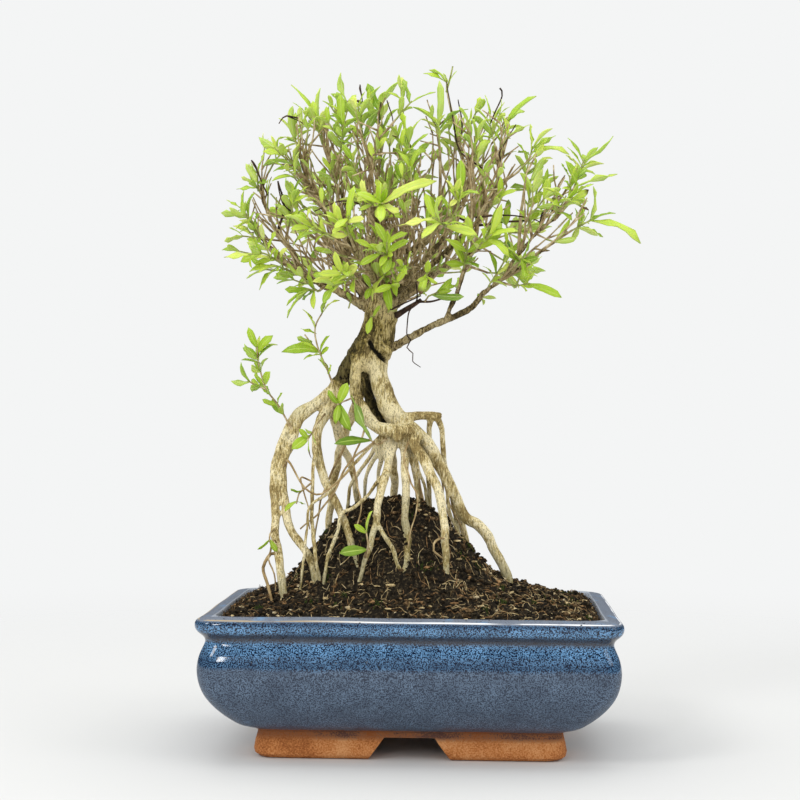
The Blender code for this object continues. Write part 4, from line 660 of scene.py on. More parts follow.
def spray_paths(spray: Spray) -> tuple[Route, Route]:
    """Return the woody twig and the green stem of a spray as polylines."""
    route = [Vector(point) for point in spray.route]
    route[0] = nearest_on_wood(route[0])
    woody = spray.woody
    longest = path_length(route) - SHORTEST_GREEN
    while woody < longest and is_near_wood(point_along(route, woody)[0]):
        woody += 0.5
    return cut_path(route, woody)


def random_push(rng: random.Random) -> Vector:
    """Return a random vector in a cube of half-width one."""
    return Vector((rng.uniform(-1, 1), rng.uniform(-1, 1), rng.uniform(-1, 1)))


def stem_radii(path: Route) -> list[float]:
    """Return the radii of a green stem, which tapers to its tip."""
    count = max(len(path) - 1, 1)
    thick = STEM_RADIUS + TIP_TAPER
    thin = STEM_RADIUS - TIP_TAPER
    return [lerp(thick, thin, index / count) for index in range(len(path))]


def stem_probe(path: Route, start: float = 1.2) -> Shape:
    """Return a stem's shape with clearance, without its first stretch at the twig."""
    place, _ = point_along(path, start)
    points = [place] + [p for p in path[1:] if (p - place).length > 0.5]
    return tube_shape(points, [radius + CLEARANCE * 1.5 for radius in stem_radii(points)])


def leaf_towards(place: Vector, tip: Vector, along: Vector, rng: random.Random) -> Leaf:
    """Return a leaf from a place on a stem to a tip, with its face turned up and out."""
    length = (tip - place).length
    outward = (place - CROWN_CENTRE).normalized()
    up = Vector((0, 0, 1)) * 0.4 + along * 0.3 + outward * 0.6
    up += random_push(rng) * 0.5
    width = min(max(length * rng.uniform(0.34, 0.42), LEAF_NARROWEST), LEAF_WIDEST)
    return Leaf(place, tip, up.normalized(), width)


def crosses(leaf: Leaf, other: Leaf) -> bool:
    """Return whether two leaves of one spray cross each other."""
    first = BVHTree.FromPolygons(*blade_shape(leaf, 0.1))
    return bool(first.overlap(BVHTree.FromPolygons(*blade_shape(other, 0.1))))


def fullness(place: Vector) -> float:
    """Return how dense the small growth is at a place, from 0.35 at the edges to 1.6."""
    reach = math.hypot((place.x - HEART[0]) / HEART_WIDTH, (place.z - HEART[1]) / HEART_HEIGHT)
    return lerp(1.6, 0.35, min(max((reach - 0.6) / 0.8, 0.0), 1.0))


def is_in_outline(place: Vector) -> bool:
    """Return whether the crown's edge, as the camera sees it, lies around a place."""
    share = EYE.y / (EYE.y - place.y)
    x = EYE.x + (place.x - EYE.x) * share
    z = EYE.z + (place.z - EYE.z) * share
    inside = False
    for (ax, az), (bx, bz) in zip(CROWN_OUTLINE, CROWN_OUTLINE[1:] + CROWN_OUTLINE[:1]):
        if (az > z) != (bz > z) and x < ax + (z - az) / (bz - az) * (bx - ax):
            inside = not inside
    return inside


def is_in_crown(place: Vector) -> bool:
    """Return whether small growth may reach a place: within the solids' reach, in the outline."""
    if not (abs(place.y) < CROWN_DEPTH and CROWN_LEFT < place.x < CROWN_RIGHT):
        return False
    return place.z < LOW_SHOOTS_TOP or is_in_outline(place)


class Plant:
    """The growth rule of the sprays, as in the part's source, and the finer growth."""

    def __init__(self) -> None:
        """Grow every spray of the solids, and then the small growth between them."""
        self.room = Room()
        self.is_trimmed = False
        sprays = SPRAYS + LOW_SPRAYS
        paths = [spray_paths(spray) for spray in sprays]
        for limb in TRUNK + ROOTS + BRANCHES:
            points = [Vector(p[:3]) for p in limb.points]
            self.room.take("tree", tube_shape(points, [p[3] for p in limb.points], limb.sides))
        self.twigs = [twig for twig, _ in paths]
        for twig in self.twigs:
            self.room.take("tree", tube_shape(twig, [TWIG_RADIUS + 0.05] * len(twig)))
        stems = []
        for spray, (_, path) in zip(sprays, paths):
            stems.append(self.settle_stem(spray.name, path, random.Random("stem " + spray.name)))
        self.growths = [self.grow_spray(spray, stem) for spray, stem in zip(sprays, stems)]
        self.is_trimmed = True
        self.fine_twigs: list[Route] = []
        self.fine_growths: list[Growth] = []
        self.bare_twigs: list[Route] = []
        self.grow_extra()
        for growth in self.growths:
            if growth.name not in ("front_pair", "base_shoot"):
                self.fill_spray(growth)
        for limb in BRANCHES:
            if not limb.name.startswith(BARE_LIMBS):
                self.grow_inner(limb)
                self.grow_bare(limb)

    def settle_stem(self, name: str, path: Route, rng: random.Random) -> Route:
        """Bend a green stem until it crosses no other node, and take its room.

        Args:
            name: the spray that it belongs to.
            path: its points.
            rng: the source of its draws.

        Returns:
            Its points where it has room.
        """
        trial = path
        for attempt in range(40):
            trial = path
            if attempt:
                reach = 1.0 + 0.15 * attempt
                trial = [path[0]]
                for index, point in enumerate(path[1:], 1):
                    share = index / (len(path) - 1)
                    trial.append(point + random_push(rng) * reach * (0.4 + 0.6 * share))
            if self.room.is_free(name, stem_probe(trial)):
                break
        radii = [radius + CLEARANCE for radius in stem_radii(trial)]
        self.room.take(name, tube_shape(trial, radii))
        return trial

    def try_leaf(self, growth: Growth, leaf: Leaf, strict: bool = True) -> bool:
        """Add a leaf to a spray where it has room, and return whether it had."""
        if self.is_trimmed and not is_in_crown(leaf.tip):
            return False
        if not self.room.is_free(growth.name, blade_shape(leaf, CLEARANCE)):
            return False
        if strict and any(crosses(leaf, other) for other in growth.leaves):
            return False
        growth.leaves.append(leaf)
        return True

    def grow_pair(self, growth: Growth, stem: Route, distance: float, turn: float,
                  opening: float, length: float, rng: random.Random) -> None:
        """Grow two opposite leaves on a stem, each turned aside until it has room."""
        place, direction = point_along(stem, distance)
        side = direction.orthogonal().normalized()
        other = direction.cross(side)
        for half in range(2):
            for attempt in range(9):
                spread = 0.28 * ((attempt + 1) // 2) * (-1) ** attempt
                angle = turn + math.pi * half + spread
                lean = opening * (1 - 0.05 * attempt)
                aside = side * math.cos(angle) + other * math.sin(angle)
                heading = direction * math.cos(lean) + aside * math.sin(lean)
                tip = place + heading * length * rng.uniform(0.85, 1.1)
                leaf = leaf_towards(place, tip, direction, rng)
                lowest = soil_height(tip.x, tip.y) + LEAF_ABOVE_SOIL
                if tip.z > lowest and self.try_leaf(growth, leaf):
                    break

    def grow_along(self, growth: Growth, stem: Route, pairs: int, leaf: float,
                   rng: random.Random, tip_pair: bool = True) -> None:
        """Grow leaf pairs along a stem, each pair turned a quarter from the last."""
        length = path_length(stem)
        turn = rng.uniform(0, math.pi)
        if tip_pair:
            opening = math.radians(rng.uniform(24, 34))
            self.grow_pair(growth, stem, length - LEAF_MARGIN, turn, opening, leaf * 0.9, rng)
        for index in range(pairs):
            distance = length - (index + 1) * PAIR_SPACING * rng.uniform(0.9, 1.1)
            if distance < LOWEST_PAIR:
                break
            turn += math.pi / 2
            opening = math.radians(rng.uniform(46, 62))
            self.grow_pair(growth, stem, distance, turn, opening, leaf * rng.uniform(0.85, 1.1), rng)

    def grow_fork(self, growth: Growth, stem: Route, share: float, leaf: float,
                  rng: random.Random, pairs: int = 0) -> None:
        """Grow a short side shoot from a stem where there is room for it."""
        place, direction = point_along(stem, path_length(stem) * share)
        for _ in range(10):
            aside = Vector((rng.uniform(-1, 1), rng.uniform(-1, 1), rng.uniform(-0.3, 0.9)))
            outward = (place - CROWN_CENTRE).normalized()
            heading = (direction * 0.7 + aside * 0.9 + outward * 0.4).normalized()
            middle = place + heading * FORK_MIDDLE
            tip = middle + (heading + Vector((0, 0, 0.25))).normalized() * rng.uniform(5.0, 8.0)
            shoot = [place, middle, tip]
            if heading.angle(direction) > FORK_ANGLE and self.room.is_free(growth.name, stem_probe(shoot)):
                growth.stems.append(shoot)
                self.grow_along(growth, shoot, pairs, leaf, rng)
                return

    def grow_spray(self, spray: Spray, stem: Route) -> Growth:
        """Grow one spray: the listed leaves first, then those of the rule."""
        rng = random.Random(spray.name)
        growth = Growth(spray.name, [stem])
        length = path_length(stem)
        at_end = 0
        for tip in spray.leaf_tips:
            tip = Vector(tip)
            distance = nearest_along(stem, tip) - LEAF_SETBACK
            if distance > length - LEAF_SETBACK - LEAF_MARGIN:
                distance = length - LEAF_MARGIN - NODE_SPACING * (at_end // 2)
                at_end += 1
            distance = max(distance, LEAF_MARGIN)
            place, direction = point_along(stem, distance)
            for attempt in range(12):
                shift = random_push(rng) * 0.6 * attempt
                leaf = leaf_towards(place, tip + shift, direction, rng)
                if self.try_leaf(growth, leaf, attempt < 10):
                    break
        self.grow_along(growth, stem, spray.pairs, spray.leaf, rng, at_end < 2)
        for index in range(spray.forks):
            self.grow_fork(growth, stem, 0.35 + 0.3 * index, spray.leaf * 0.9, rng)
        for shoot in growth.stems[1:]:
            radii = [radius + CLEARANCE for radius in stem_radii(shoot)]
            self.room.take(spray.name, tube_shape(shoot, radii))
        for leaf in growth.leaves:
            self.room.take(spray.name, blade_shape(leaf))
        return growth

    def grow_extra(self) -> None:
        """Grow the sprays that are too small for the solids."""
        for spray in EXTRA_SPRAYS:
            twig, path = spray_paths(spray)
            if len(path) < 2:
                path.append(path[0] + (twig[-1] - twig[-2]).normalized() * SHORTEST_GREEN)
            stem = self.settle_stem(spray.name, path, random.Random("stem " + spray.name))
            self.fine_twigs.append(twig)
            self.fine_growths.append(self.grow_spray(spray, stem))

    def fill_spray(self, growth: Growth) -> None:
        """Add small leaves between the pairs of a spray, and a short side shoot."""
        rng = random.Random("fill " + growth.name)
        first_leaf = len(growth.leaves)
        first_stem = len(growth.stems)
        for stem in list(growth.stems):
            distance = rng.uniform(2.2, 4.5)
            while distance < path_length(stem) - 1.5:
                turn = rng.uniform(0, math.pi)
                opening = math.radians(rng.uniform(36, 58))
                self.grow_pair(growth, stem, distance, turn, opening, rng.uniform(*FILL_LEAF), rng)
                is_low = point_along(stem, distance)[0].z < LOW_SHOOTS_TOP
                share = 1.0 if is_low else 0.5 * fullness(stem[0])
                distance += rng.uniform(*FILL_SPACING) / share
        self.grow_fork(growth, growth.stems[0], rng.uniform(0.2, 0.6), rng.uniform(9.0, 13.0), rng, 1)
        self.settle(growth, first_stem, first_leaf)

    def settle(self, growth: Growth, first_stem: int, first_leaf: int) -> None:
        """Take the room of a spray's new stems and leaves."""
        for shoot in growth.stems[first_stem:]:
            self.room.take(growth.name, tube_shape(shoot, stem_radii(shoot)))
        for leaf in growth.leaves[first_leaf:]:
            self.room.take(growth.name, blade_shape(leaf))

    def grow_inner(self, limb: Limb) -> None:
        """Grow small shoots all along the outer part of a branch.

        Args:
            limb: the branch.
        """
        rng = random.Random("inner " + limb.name)
        axis = [Vector(point[:3]) for point in limb.points]
        length = path_length(axis)
        distance = length * INNER_START
        while distance < length:
            place, direction = point_along(axis, distance)
            for _ in range(6):
                outward = (place - CROWN_CENTRE).normalized()
                heading = outward * 0.5 + random_push(rng) + direction * 0.3 + Vector((0, 0, 0.35))
                heading.normalize()
                reach = rng.uniform(12.0, 25.0)
                middle = place + heading * reach * 0.5 + random_push(rng) * 1.5
                tip = place + heading * reach + Vector((0, 0, 2.0))
                twig, path = cut_path([place, middle, tip], rng.uniform(0.45, 0.7) * reach)
                name = f"inner_{limb.name}_{len(self.fine_growths)}"
                is_inside = tip.z > LOW_SHOOTS_TOP + 15 and is_in_crown(tip)
                if is_inside and self.room.is_free(name, stem_probe(path)):
                    growth = Growth(name, [path])
                    self.room.take("tree", tube_shape(twig, [0.8] * len(twig)))
                    self.room.take(name, tube_shape(path, stem_radii(path)))
                    self.grow_along(growth, path, 1, rng.uniform(9.0, 13.5), rng)
                    self.settle(growth, 1, 0)
                    self.fine_twigs.append(twig)
                    self.fine_growths.append(growth)
                    break
            distance += rng.uniform(*INNER_SPACING) / (0.75 * fullness(place))

    def grow_bare(self, limb: Limb) -> None:
        """Grow thin leafless stems from a branch up through the crown, most near the trunk."""
        rng = random.Random("bare " + limb.name)
        axis = [Vector(point[:3]) for point in limb.points]
        length = path_length(axis)
        for _ in range(int(length / BARE_SPACING)):
            place, direction = point_along(axis, length * rng.random() ** 1.6)
            if rng.random() * 1.4 > fullness(place):
                continue
            outward = (place - CROWN_CENTRE + Vector((0, 0, 25))).normalized()
            heading = outward * 0.45 + direction * 0.4 + random_push(rng) * 0.55 + Vector((0, 0, 0.75))
            heading.normalize()
            route = [place]
            for _ in range(rng.randrange(3, 8)):
                heading = (heading + random_push(rng) * 0.22 + Vector((0, 0, 0.08))).normalized()
                reached = route[-1] + heading * rng.uniform(6.0, 10.0)
                if reached.z < LOW_SHOOTS_TOP + 15 or abs(reached.y) > BARE_DEPTH:
                    break
                if not is_in_crown(reached + heading * BARE_INSET):
                    break
                route.append(reached)
                aside = (heading + random_push(rng) * 0.9).normalized()
                if rng.random() < 0.5 and is_in_crown(reached + aside * (11.0 + BARE_INSET)):
                    self.bare_twigs.append([reached, reached + aside * 5.0, reached + aside * 11.0])
            if len(route) > 2:
                self.bare_twigs.append(route)
                self.grow_tip(f"tip_{limb.name}_{len(self.fine_growths)}", route, rng)

    def grow_tip(self, name: str, route: Route, rng: random.Random) -> None:
        """Grow a small leafy end on a thin stem of the crown's heart, where it has room."""
        place = route[-1]
        heading = (place - route[-2]).normalized()
        path = [place, place + heading * 3.0, place + heading * 6.5]
        if rng.random() * 3.0 > fullness(place) or not self.room.is_free(name, stem_probe(path)):
            return
        growth = Growth(name, [path])
        self.room.take(name, tube_shape(path, stem_radii(path)))
        self.grow_along(growth, path, 1, rng.uniform(9.0, 13.0), rng)
        self.settle(growth, 1, 0)
        self.fine_growths.append(growth)

    def woody_routes(self) -> list[Route]:
        """Return the routes that a dead twig can stand on."""
        stems = [growth.stems[0] for growth in self.growths + self.fine_growths]
        return self.twigs + self.fine_twigs + self.bare_twigs + stems


def linear(colour: str) -> tuple[float, float, float, float]:
    """Return an sRGB hex colour as linear red, green, blue and alpha."""
    channels = [int(colour[start:start + 2], 16) / 255 for start in (0, 2, 4)]
    light = [c / 12.92 if c <= 0.04045 else ((c + 0.055) / 1.055) ** 2.4 for c in channels]
    return light[0], light[1], light[2], 1.0


def add_node(tree: bpy.types.NodeTree, kind: str, inputs: dict | None = None,
             stops: Sequence[tuple[float, str]] = (), **settings: object) -> bpy.types.Node:
    """Add a node with its settings and links.

    Args:
        tree: the node tree that takes it.
        kind: its type's name without the prefix ShaderNode.
        inputs: a value or an output socket for each input, by name or by index.
        stops: positions and hex colours of a colour ramp.
        settings: properties of the node.

    Returns:
        The node.
    """
    node = tree.nodes.new("ShaderNode" + kind)
    for name, value in settings.items():
        setattr(node, name, value)
    for key, value in (inputs or {}).items():
        if isinstance(value, bpy.types.NodeSocket):
            tree.links.new(value, node.inputs[key])
        else:
            node.inputs[key].default_value = value
    if stops:
        ramp = node.color_ramp
        while len(ramp.elements) < len(stops):
            ramp.elements.new(1.0)
        for element, (position, colour) in zip(ramp.elements, stops):
            element.position = position
            element.color = linear(colour)
    return node


def new_material(name: str) -> tuple[bpy.types.Material, bpy.types.NodeTree]:
    """Return an empty node material and its tree."""
    material = bpy.data.materials.new(name)
    material.use_nodes = True
    material.node_tree.nodes.clear()
    return material, material.node_tree


def close_surface(tree: bpy.types.NodeTree, inputs: dict) -> None:
    """Put a Principled shader with these inputs on a material's output."""
    shader = add_node(tree, "BsdfPrincipled", inputs)
    add_node(tree, "OutputMaterial", {"Surface": shader.outputs[0]})


def mixed(tree: bpy.types.NodeTree, factor: object, first: object, second: object,
          blend_type: str = "MIX") -> bpy.types.NodeSocket:
    """Return the colour output of a colour mix.

    Args:
        tree: the node tree that takes it.
        factor: how much of the second colour shows.
        first: a socket or a hex colour.
        second: a socket or a hex colour.
        blend_type: how the second goes on the first.

    Returns:
        The socket with the mixed colour.
    """
    first = linear(first) if isinstance(first, str) else first
    second = linear(second) if isinstance(second, str) else second
    node = add_node(tree, "Mix", data_type="RGBA", blend_type=blend_type)
    for index, value in ((0, factor), (6, first), (7, second)):
        if isinstance(value, bpy.types.NodeSocket):
            tree.links.new(value, node.inputs[index])
        else:
            node.inputs[index].default_value = value
    return node.outputs[2]


def finish_mesh(name: str, shape: bmesh.types.BMesh, materials: Sequence[bpy.types.Material],
                origin: Vector, smooth: bool = True) -> bpy.types.Object:
    """Turn a shape in millimetres into a piece in the frame, in metres.

    Args:
        name: the piece's name.
        shape: the mesh, which this frees.
        materials: its materials, in the order of its faces' indices.
        origin: where the middle of the pot stands in the frame.
        smooth: whether its faces are shaded smooth.

    Returns:
        The piece, with its object at the origin.
    """
    bmesh.ops.transform(shape, matrix=Matrix.Translation(origin) @ Matrix.Scale(MM, 4),
                        verts=shape.verts[:])
    for face in shape.faces:
        face.smooth = smooth
    mesh = bpy.data.meshes.new(name)
    shape.to_mesh(mesh)
    shape.free()
    for material in materials:
        mesh.materials.append(material)
    piece = bpy.data.objects.new(name, mesh)
    bpy.context.scene.collection.objects.link(piece)
    LOG.info("%s: %d faces", name, len(mesh.polygons))
    return piece


def evaluated(mesh: bpy.types.Mesh, modifiers: Sequence[tuple[str, dict]]) -> bpy.types.Mesh:
    """Return a mesh with modifiers applied, each given by its type and settings."""
    carrier = bpy.data.objects.new("carrier", mesh)
    bpy.context.scene.collection.objects.link(carrier)
    for kind, settings in modifiers:
        modifier = carrier.modifiers.new(kind, kind)
        for name, value in settings.items():
            setattr(modifier, name, value)
    graph = bpy.context.evaluated_depsgraph_get()
    result = bpy.data.meshes.new_from_object(carrier.evaluated_get(graph))
    bpy.data.objects.remove(carrier, do_unlink=True)
    return result


def tubes_mesh(routes: Iterable[Sequence[Sequence[float]]], sides: int) -> bpy.types.Mesh:
    """Return the mesh of closed tubes along routes of x, y, z and radius, in millimetres."""
    curve = bpy.data.curves.new("tubes", "CURVE")
    curve.dimensions = "3D"
    curve.bevel_depth = 1.0
    curve.bevel_resolution = (sides - 4) // 2
    curve.use_fill_caps = True
    for route in routes:
        spline = curve.splines.new("POLY")
        spline.points.add(len(route) - 1)
        for handle, (x, y, z, radius) in zip(spline.points, route):
            handle.co = (x, y, z, 1.0)
            handle.radius = radius
    guide = bpy.data.objects.new("tubes", curve)
    bpy.context.scene.collection.objects.link(guide)
    graph = bpy.context.evaluated_depsgraph_get()
    mesh = bpy.data.meshes.new_from_object(guide.evaluated_get(graph))
    bpy.data.objects.remove(guide, do_unlink=True)
    bpy.data.curves.remove(curve)
    return mesh


def eased(points: Sequence[Sequence[float]], step: float, wander: float,
          seed: float = 0.0) -> list[Vector]:
    """Return a smooth route through points, with small natural bends.

    Args:
        points: x, y, z and radius of each point.
        step: the spacing of the new points.
        wander: how far they stray from the smooth line.
        seed: shifts the bends, so that routes differ.

    Returns:
        Four-dimensional points of x, y, z and radius.
    """
    knots = [Vector(point) for point in points]
    knots = [knots[0] * 2 - knots[1], *knots, knots[-1] * 2 - knots[-2]]
    route = []
    for a, b, c, d in zip(knots, knots[1:], knots[2:], knots[3:]):
        count = max(int((c.xyz - b.xyz).length / step), 1)
        for index in range(count):
            t = index / count
            place = (b * 2 + (c - a) * t + (a * 2 - b * 5 + c * 4 - d) * t * t
                     + (b * 3 - a - c * 3 + d) * t ** 3) / 2
            place.w = lerp(b.w, c.w, t)
            route.append(place)
    route.append(knots[-2].copy())
    for index, place in enumerate(route[1:-1], 1):
        drift = noise.noise_vector(place.xyz * 0.11 + Vector((seed, 0, 0)))
        fade = min(index, len(route) - 1 - index, 4) / 4
        place.xyz = place.xyz + drift * wander * fade
        place.w *= 1 + 0.10 * noise.noise(place.xyz * 0.23 + Vector((0, seed, 0)))
    return route


def shaped(meshes: Iterable[bpy.types.Mesh]) -> bmesh.types.BMesh:
    """Return one shape that holds all the meshes."""
    shape = bmesh.new()
    for mesh in meshes:
        shape.from_mesh(mesh)
    bmesh.ops.remove_doubles(shape, verts=shape.verts[:], dist=1e-4)
    bmesh.ops.recalc_face_normals(shape, faces=shape.faces[:])
    return shape


def declare(piece: bpy.types.Object, slot: str, *nodes: str) -> None:
    """Let a piece ride on the part's body and stand for its nodes, whose solids it hides."""
    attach(piece, BODY)
    if nodes:
        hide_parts(*nodes)


def rounded_ring(shape: bmesh.types.BMesh, half_x: float, half_y: float, radius: float,
                 z: float) -> list[bmesh.types.BMEdge]:
    """Start a shape with the edges of a rounded rectangle.

    Args:
        shape: the empty shape.
        half_x: half of its width.
        half_y: half of its depth.
        radius: the radius of its corners.
        z: its height.

    Returns:
        The edges of the ring.
    """
    bmesh.ops.create_grid(shape, x_segments=1, y_segments=1, size=1.0)
    bmesh.ops.scale(shape, vec=(half_x, half_y, 1.0), verts=shape.verts[:])
    bmesh.ops.translate(shape, vec=(0, 0, z), verts=shape.verts[:])
    bmesh.ops.bevel(shape, geom=shape.verts[:], offset=radius, offset_type="OFFSET",
                    segments=CORNER_SEGMENTS, profile=0.5, affect="VERTICES", material=-1)
    bmesh.ops.delete(shape, geom=shape.faces[:], context="FACES_ONLY")
    straight = [edge for edge in shape.edges if edge.calc_length() > SIDE_STEP * 2]
    bmesh.ops.subdivide_edges(shape, edges=straight, cuts=SIDE_CUTS)
    return shape.edges[:]


def raise_ring(shape: bmesh.types.BMesh, ring: list, wider: float,
               higher: float) -> list[bmesh.types.BMEdge]:
    """Extrude a ring of edges outwards by wider and upwards by higher.

    Args:
        shape: the shape that holds the ring.
        ring: its edges.
        wider: how much its half-width and half-depth grow.
        higher: how far it goes up.

    Returns:
        The edges of the new ring.
    """
    made = bmesh.ops.extrude_edge_only(shape, edges=ring)["geom"]
    corners = [item for item in made if isinstance(item, bmesh.types.BMVert)]
    straight = [max(corner.co[axis] for corner in corners) - CORNER_RADIUS for axis in (0, 1)]
    for corner in corners:
        for axis in (0, 1):
            corner.co[axis] += wider * min(max(corner.co[axis] / straight[axis], -1.0), 1.0)
        corner.co.z += higher
    return [item for item in made if isinstance(item, bmesh.types.BMEdge)]


@dataclass(frozen=True)
class BarkFinish:
    """Serissa bark, grown: smooth tan roots, an olive-brown trunk with dark fissures."""

    name: str = "serissa_bark"
    root_dark: str = "9C8654"
    root: str = "DCC88E"
    root_pale: str = "F6E9C0"
    trunk_dark: str = "40361A"
    trunk: str = "94803F"
    trunk_pale: str = "C8B478"
    # Olive of algae and painted shade on the oldest wood
    old: str = "4C4426"
    fissure: str = "1C170C"
    stain: str = "525026"
    # Colour of the painted shade where other wood shuts the bark in
    hollow: str = "17140A"

    def make(self) -> bpy.types.Material:
        """Return the bark: matt, streaked along the wood, pitted, with painted shade in its hollows."""
        material, tree = new_material(self.name)
        place = add_node(tree, "TexCoord").outputs["Object"]
        # Fibres run along the wood, which mostly stands up: streaks 0.9 mm wide, 4.5 mm long
        along = add_node(tree, "Mapping", {"Vector": place, "Scale": (1.0, 1.0, 0.2)}).outputs[0]
        streaks = add_node(tree, "TexNoise", {"Vector": along, "Scale": 1100.0, "Detail": 4.0,
                                              "Roughness": 0.75}).outputs[0]
        # Patches of lighter and darker bark, about 12 mm across
        patches = add_node(tree, "TexNoise", {"Vector": place, "Scale": 80.0, "Detail": 4.0}).outputs[0]
        both = add_node(tree, "Math", {0: streaks, 1: patches}, operation="ADD").outputs[0]
        share = add_node(tree, "MapRange", {"Value": both, 1: 0.82, 2: 1.10}).outputs[0]
        root = add_node(tree, "ValToRGB", {0: share}, stops=(
            (0.05, self.root_dark), (0.45, self.root), (0.85, self.root_pale))).outputs[0]
        trunk = add_node(tree, "ValToRGB", {0: share}, stops=(
            (0.15, self.trunk_dark), (0.5, self.trunk), (0.9, self.trunk_pale))).outputs[0]
        age = add_node(tree, "Attribute", attribute_name="bark_age").outputs["Fac"]
        colour = mixed(tree, age, root, trunk)
        # The oldest wood is darkened to olive, partly algae and partly painted shade: most of it goes on the
        # left trunk and on the stem in the gap behind the trunk
        algae_and_shade = add_node(tree, "MapRange", {"Value": age, 1: 0.95, 2: 1.35, 3: 0.0, 4: 0.85}).outputs[0]
        colour = mixed(tree, algae_and_shade, colour, self.old)
        # Hairline cracks along the fibres, drawn 0.4 mm wide so that they show
        lines = add_node(tree, "TexNoise", {"Vector": along, "Scale": 1500.0, "Detail": 1.0}).outputs[0]
        hair = add_node(tree, "MapRange", {"Value": lines, 1: 0.42, 2: 0.34, 3: 0.0, 4: 0.5}).outputs[0]
        # Lenticels: dark pits about 0.5 mm wide, 4 mm apart
        pits = add_node(tree, "TexVoronoi", {"Vector": place, "Scale": 260.0}).outputs["Distance"]
        pit = add_node(tree, "MapRange", {"Value": pits, 1: 0.16, 2: 0.08, 3: 0.0, 4: 0.4}).outputs[0]
        marks = add_node(tree, "Math", {0: hair, 1: pit}, operation="MAXIMUM").outputs[0]
        colour = mixed(tree, marks, colour, self.trunk_dark)
        # Dry grain on every face, drawn 0.5 mm wide so that it shows
        grain = add_node(tree, "TexNoise", {"Vector": place, "Scale": 1900.0, "Detail": 2.0}).outputs[0]
        rub = add_node(tree, "MapRange", {"Value": grain, 1: 0.52, 2: 0.38, 3: 0.0, 4: 0.35}).outputs[0]
        colour = mixed(tree, rub, colour, self.trunk_dark)
        crack = add_node(tree, "Attribute", attribute_name="bark_crack").outputs["Fac"]
        colour = mixed(tree, crack, colour, self.fissure)
        damp = add_node(tree, "Attribute", attribute_name="soil_stain").outputs["Fac"]
        spread = add_node(tree, "Math", {0: damp, 1: patches}, operation="MULTIPLY").outputs[0]
        colour = mixed(tree, spread, colour, self.stain)
        # Painted shade: the bark darkens where other wood shuts it in, unevenly in patches
        hollow = add_node(tree, "Attribute", attribute_name="bark_hollow").outputs["Fac"]
        uneven = add_node(tree, "Math", {0: patches, 1: 0.8, 2: hollow},
                          operation="MULTIPLY_ADD").outputs[0]
        painted_shade = add_node(tree, "MapRange", {"Value": uneven, 1: 0.8, 2: 1.3, 3: 0.0, 4: 0.9},
                        interpolation_type="SMOOTHSTEP").outputs[0]
        # The painted shade is weaker on the young roots
        rough = add_node(tree, "MapRange", {"Value": age, 1: 0.1, 2: 0.9, 3: 0.3, 4: 1.0}).outputs[0]
        painted_shade = add_node(tree, "Math", {0: painted_shade, 1: rough}, operation="MULTIPLY").outputs[0]
        colour = mixed(tree, painted_shade, colour, self.hollow)
        height = add_node(tree, "Math", {0: streaks, 1: marks}, operation="SUBTRACT").outputs[0]
        bump = add_node(tree, "Bump", {"Height": height, "Strength": 0.8, "Distance": 0.0006}).outputs[0]
        close_surface(tree, {"Base Color": colour, "Roughness": 0.8, "Normal": bump,
                             "Specular IOR Level": 0.2})
        return material


@dataclass(frozen=True)
class TwigFinish:
    """Young serissa wood: thin pinkish-brown bark that greys and darkens where it died."""

    name: str
    dark: str
    middle: str
    pale: str
    roughness: float = 0.7

    def make(self) -> bpy.types.Material:
        """Return the thin bark: mottled along the twig."""
        material, tree = new_material(self.name)
        place = add_node(tree, "TexCoord").outputs["Object"]
        # Patches about 4 mm long, near the distance between two buds
        mottle = add_node(tree, "TexNoise", {"Vector": place, "Scale": 260.0, "Detail": 4.0}).outputs[0]
        colour = add_node(tree, "ValToRGB", {0: mottle}, stops=(
            (0.32, self.dark), (0.5, self.middle), (0.68, self.pale))).outputs[0]
        bump = add_node(tree, "Bump", {"Height": mottle, "Strength": 0.4, "Distance": 0.0003}).outputs[0]
        close_surface(tree, {"Base Color": colour, "Roughness": self.roughness, "Normal": bump,
                             "Specular IOR Level": 0.3})
        return material


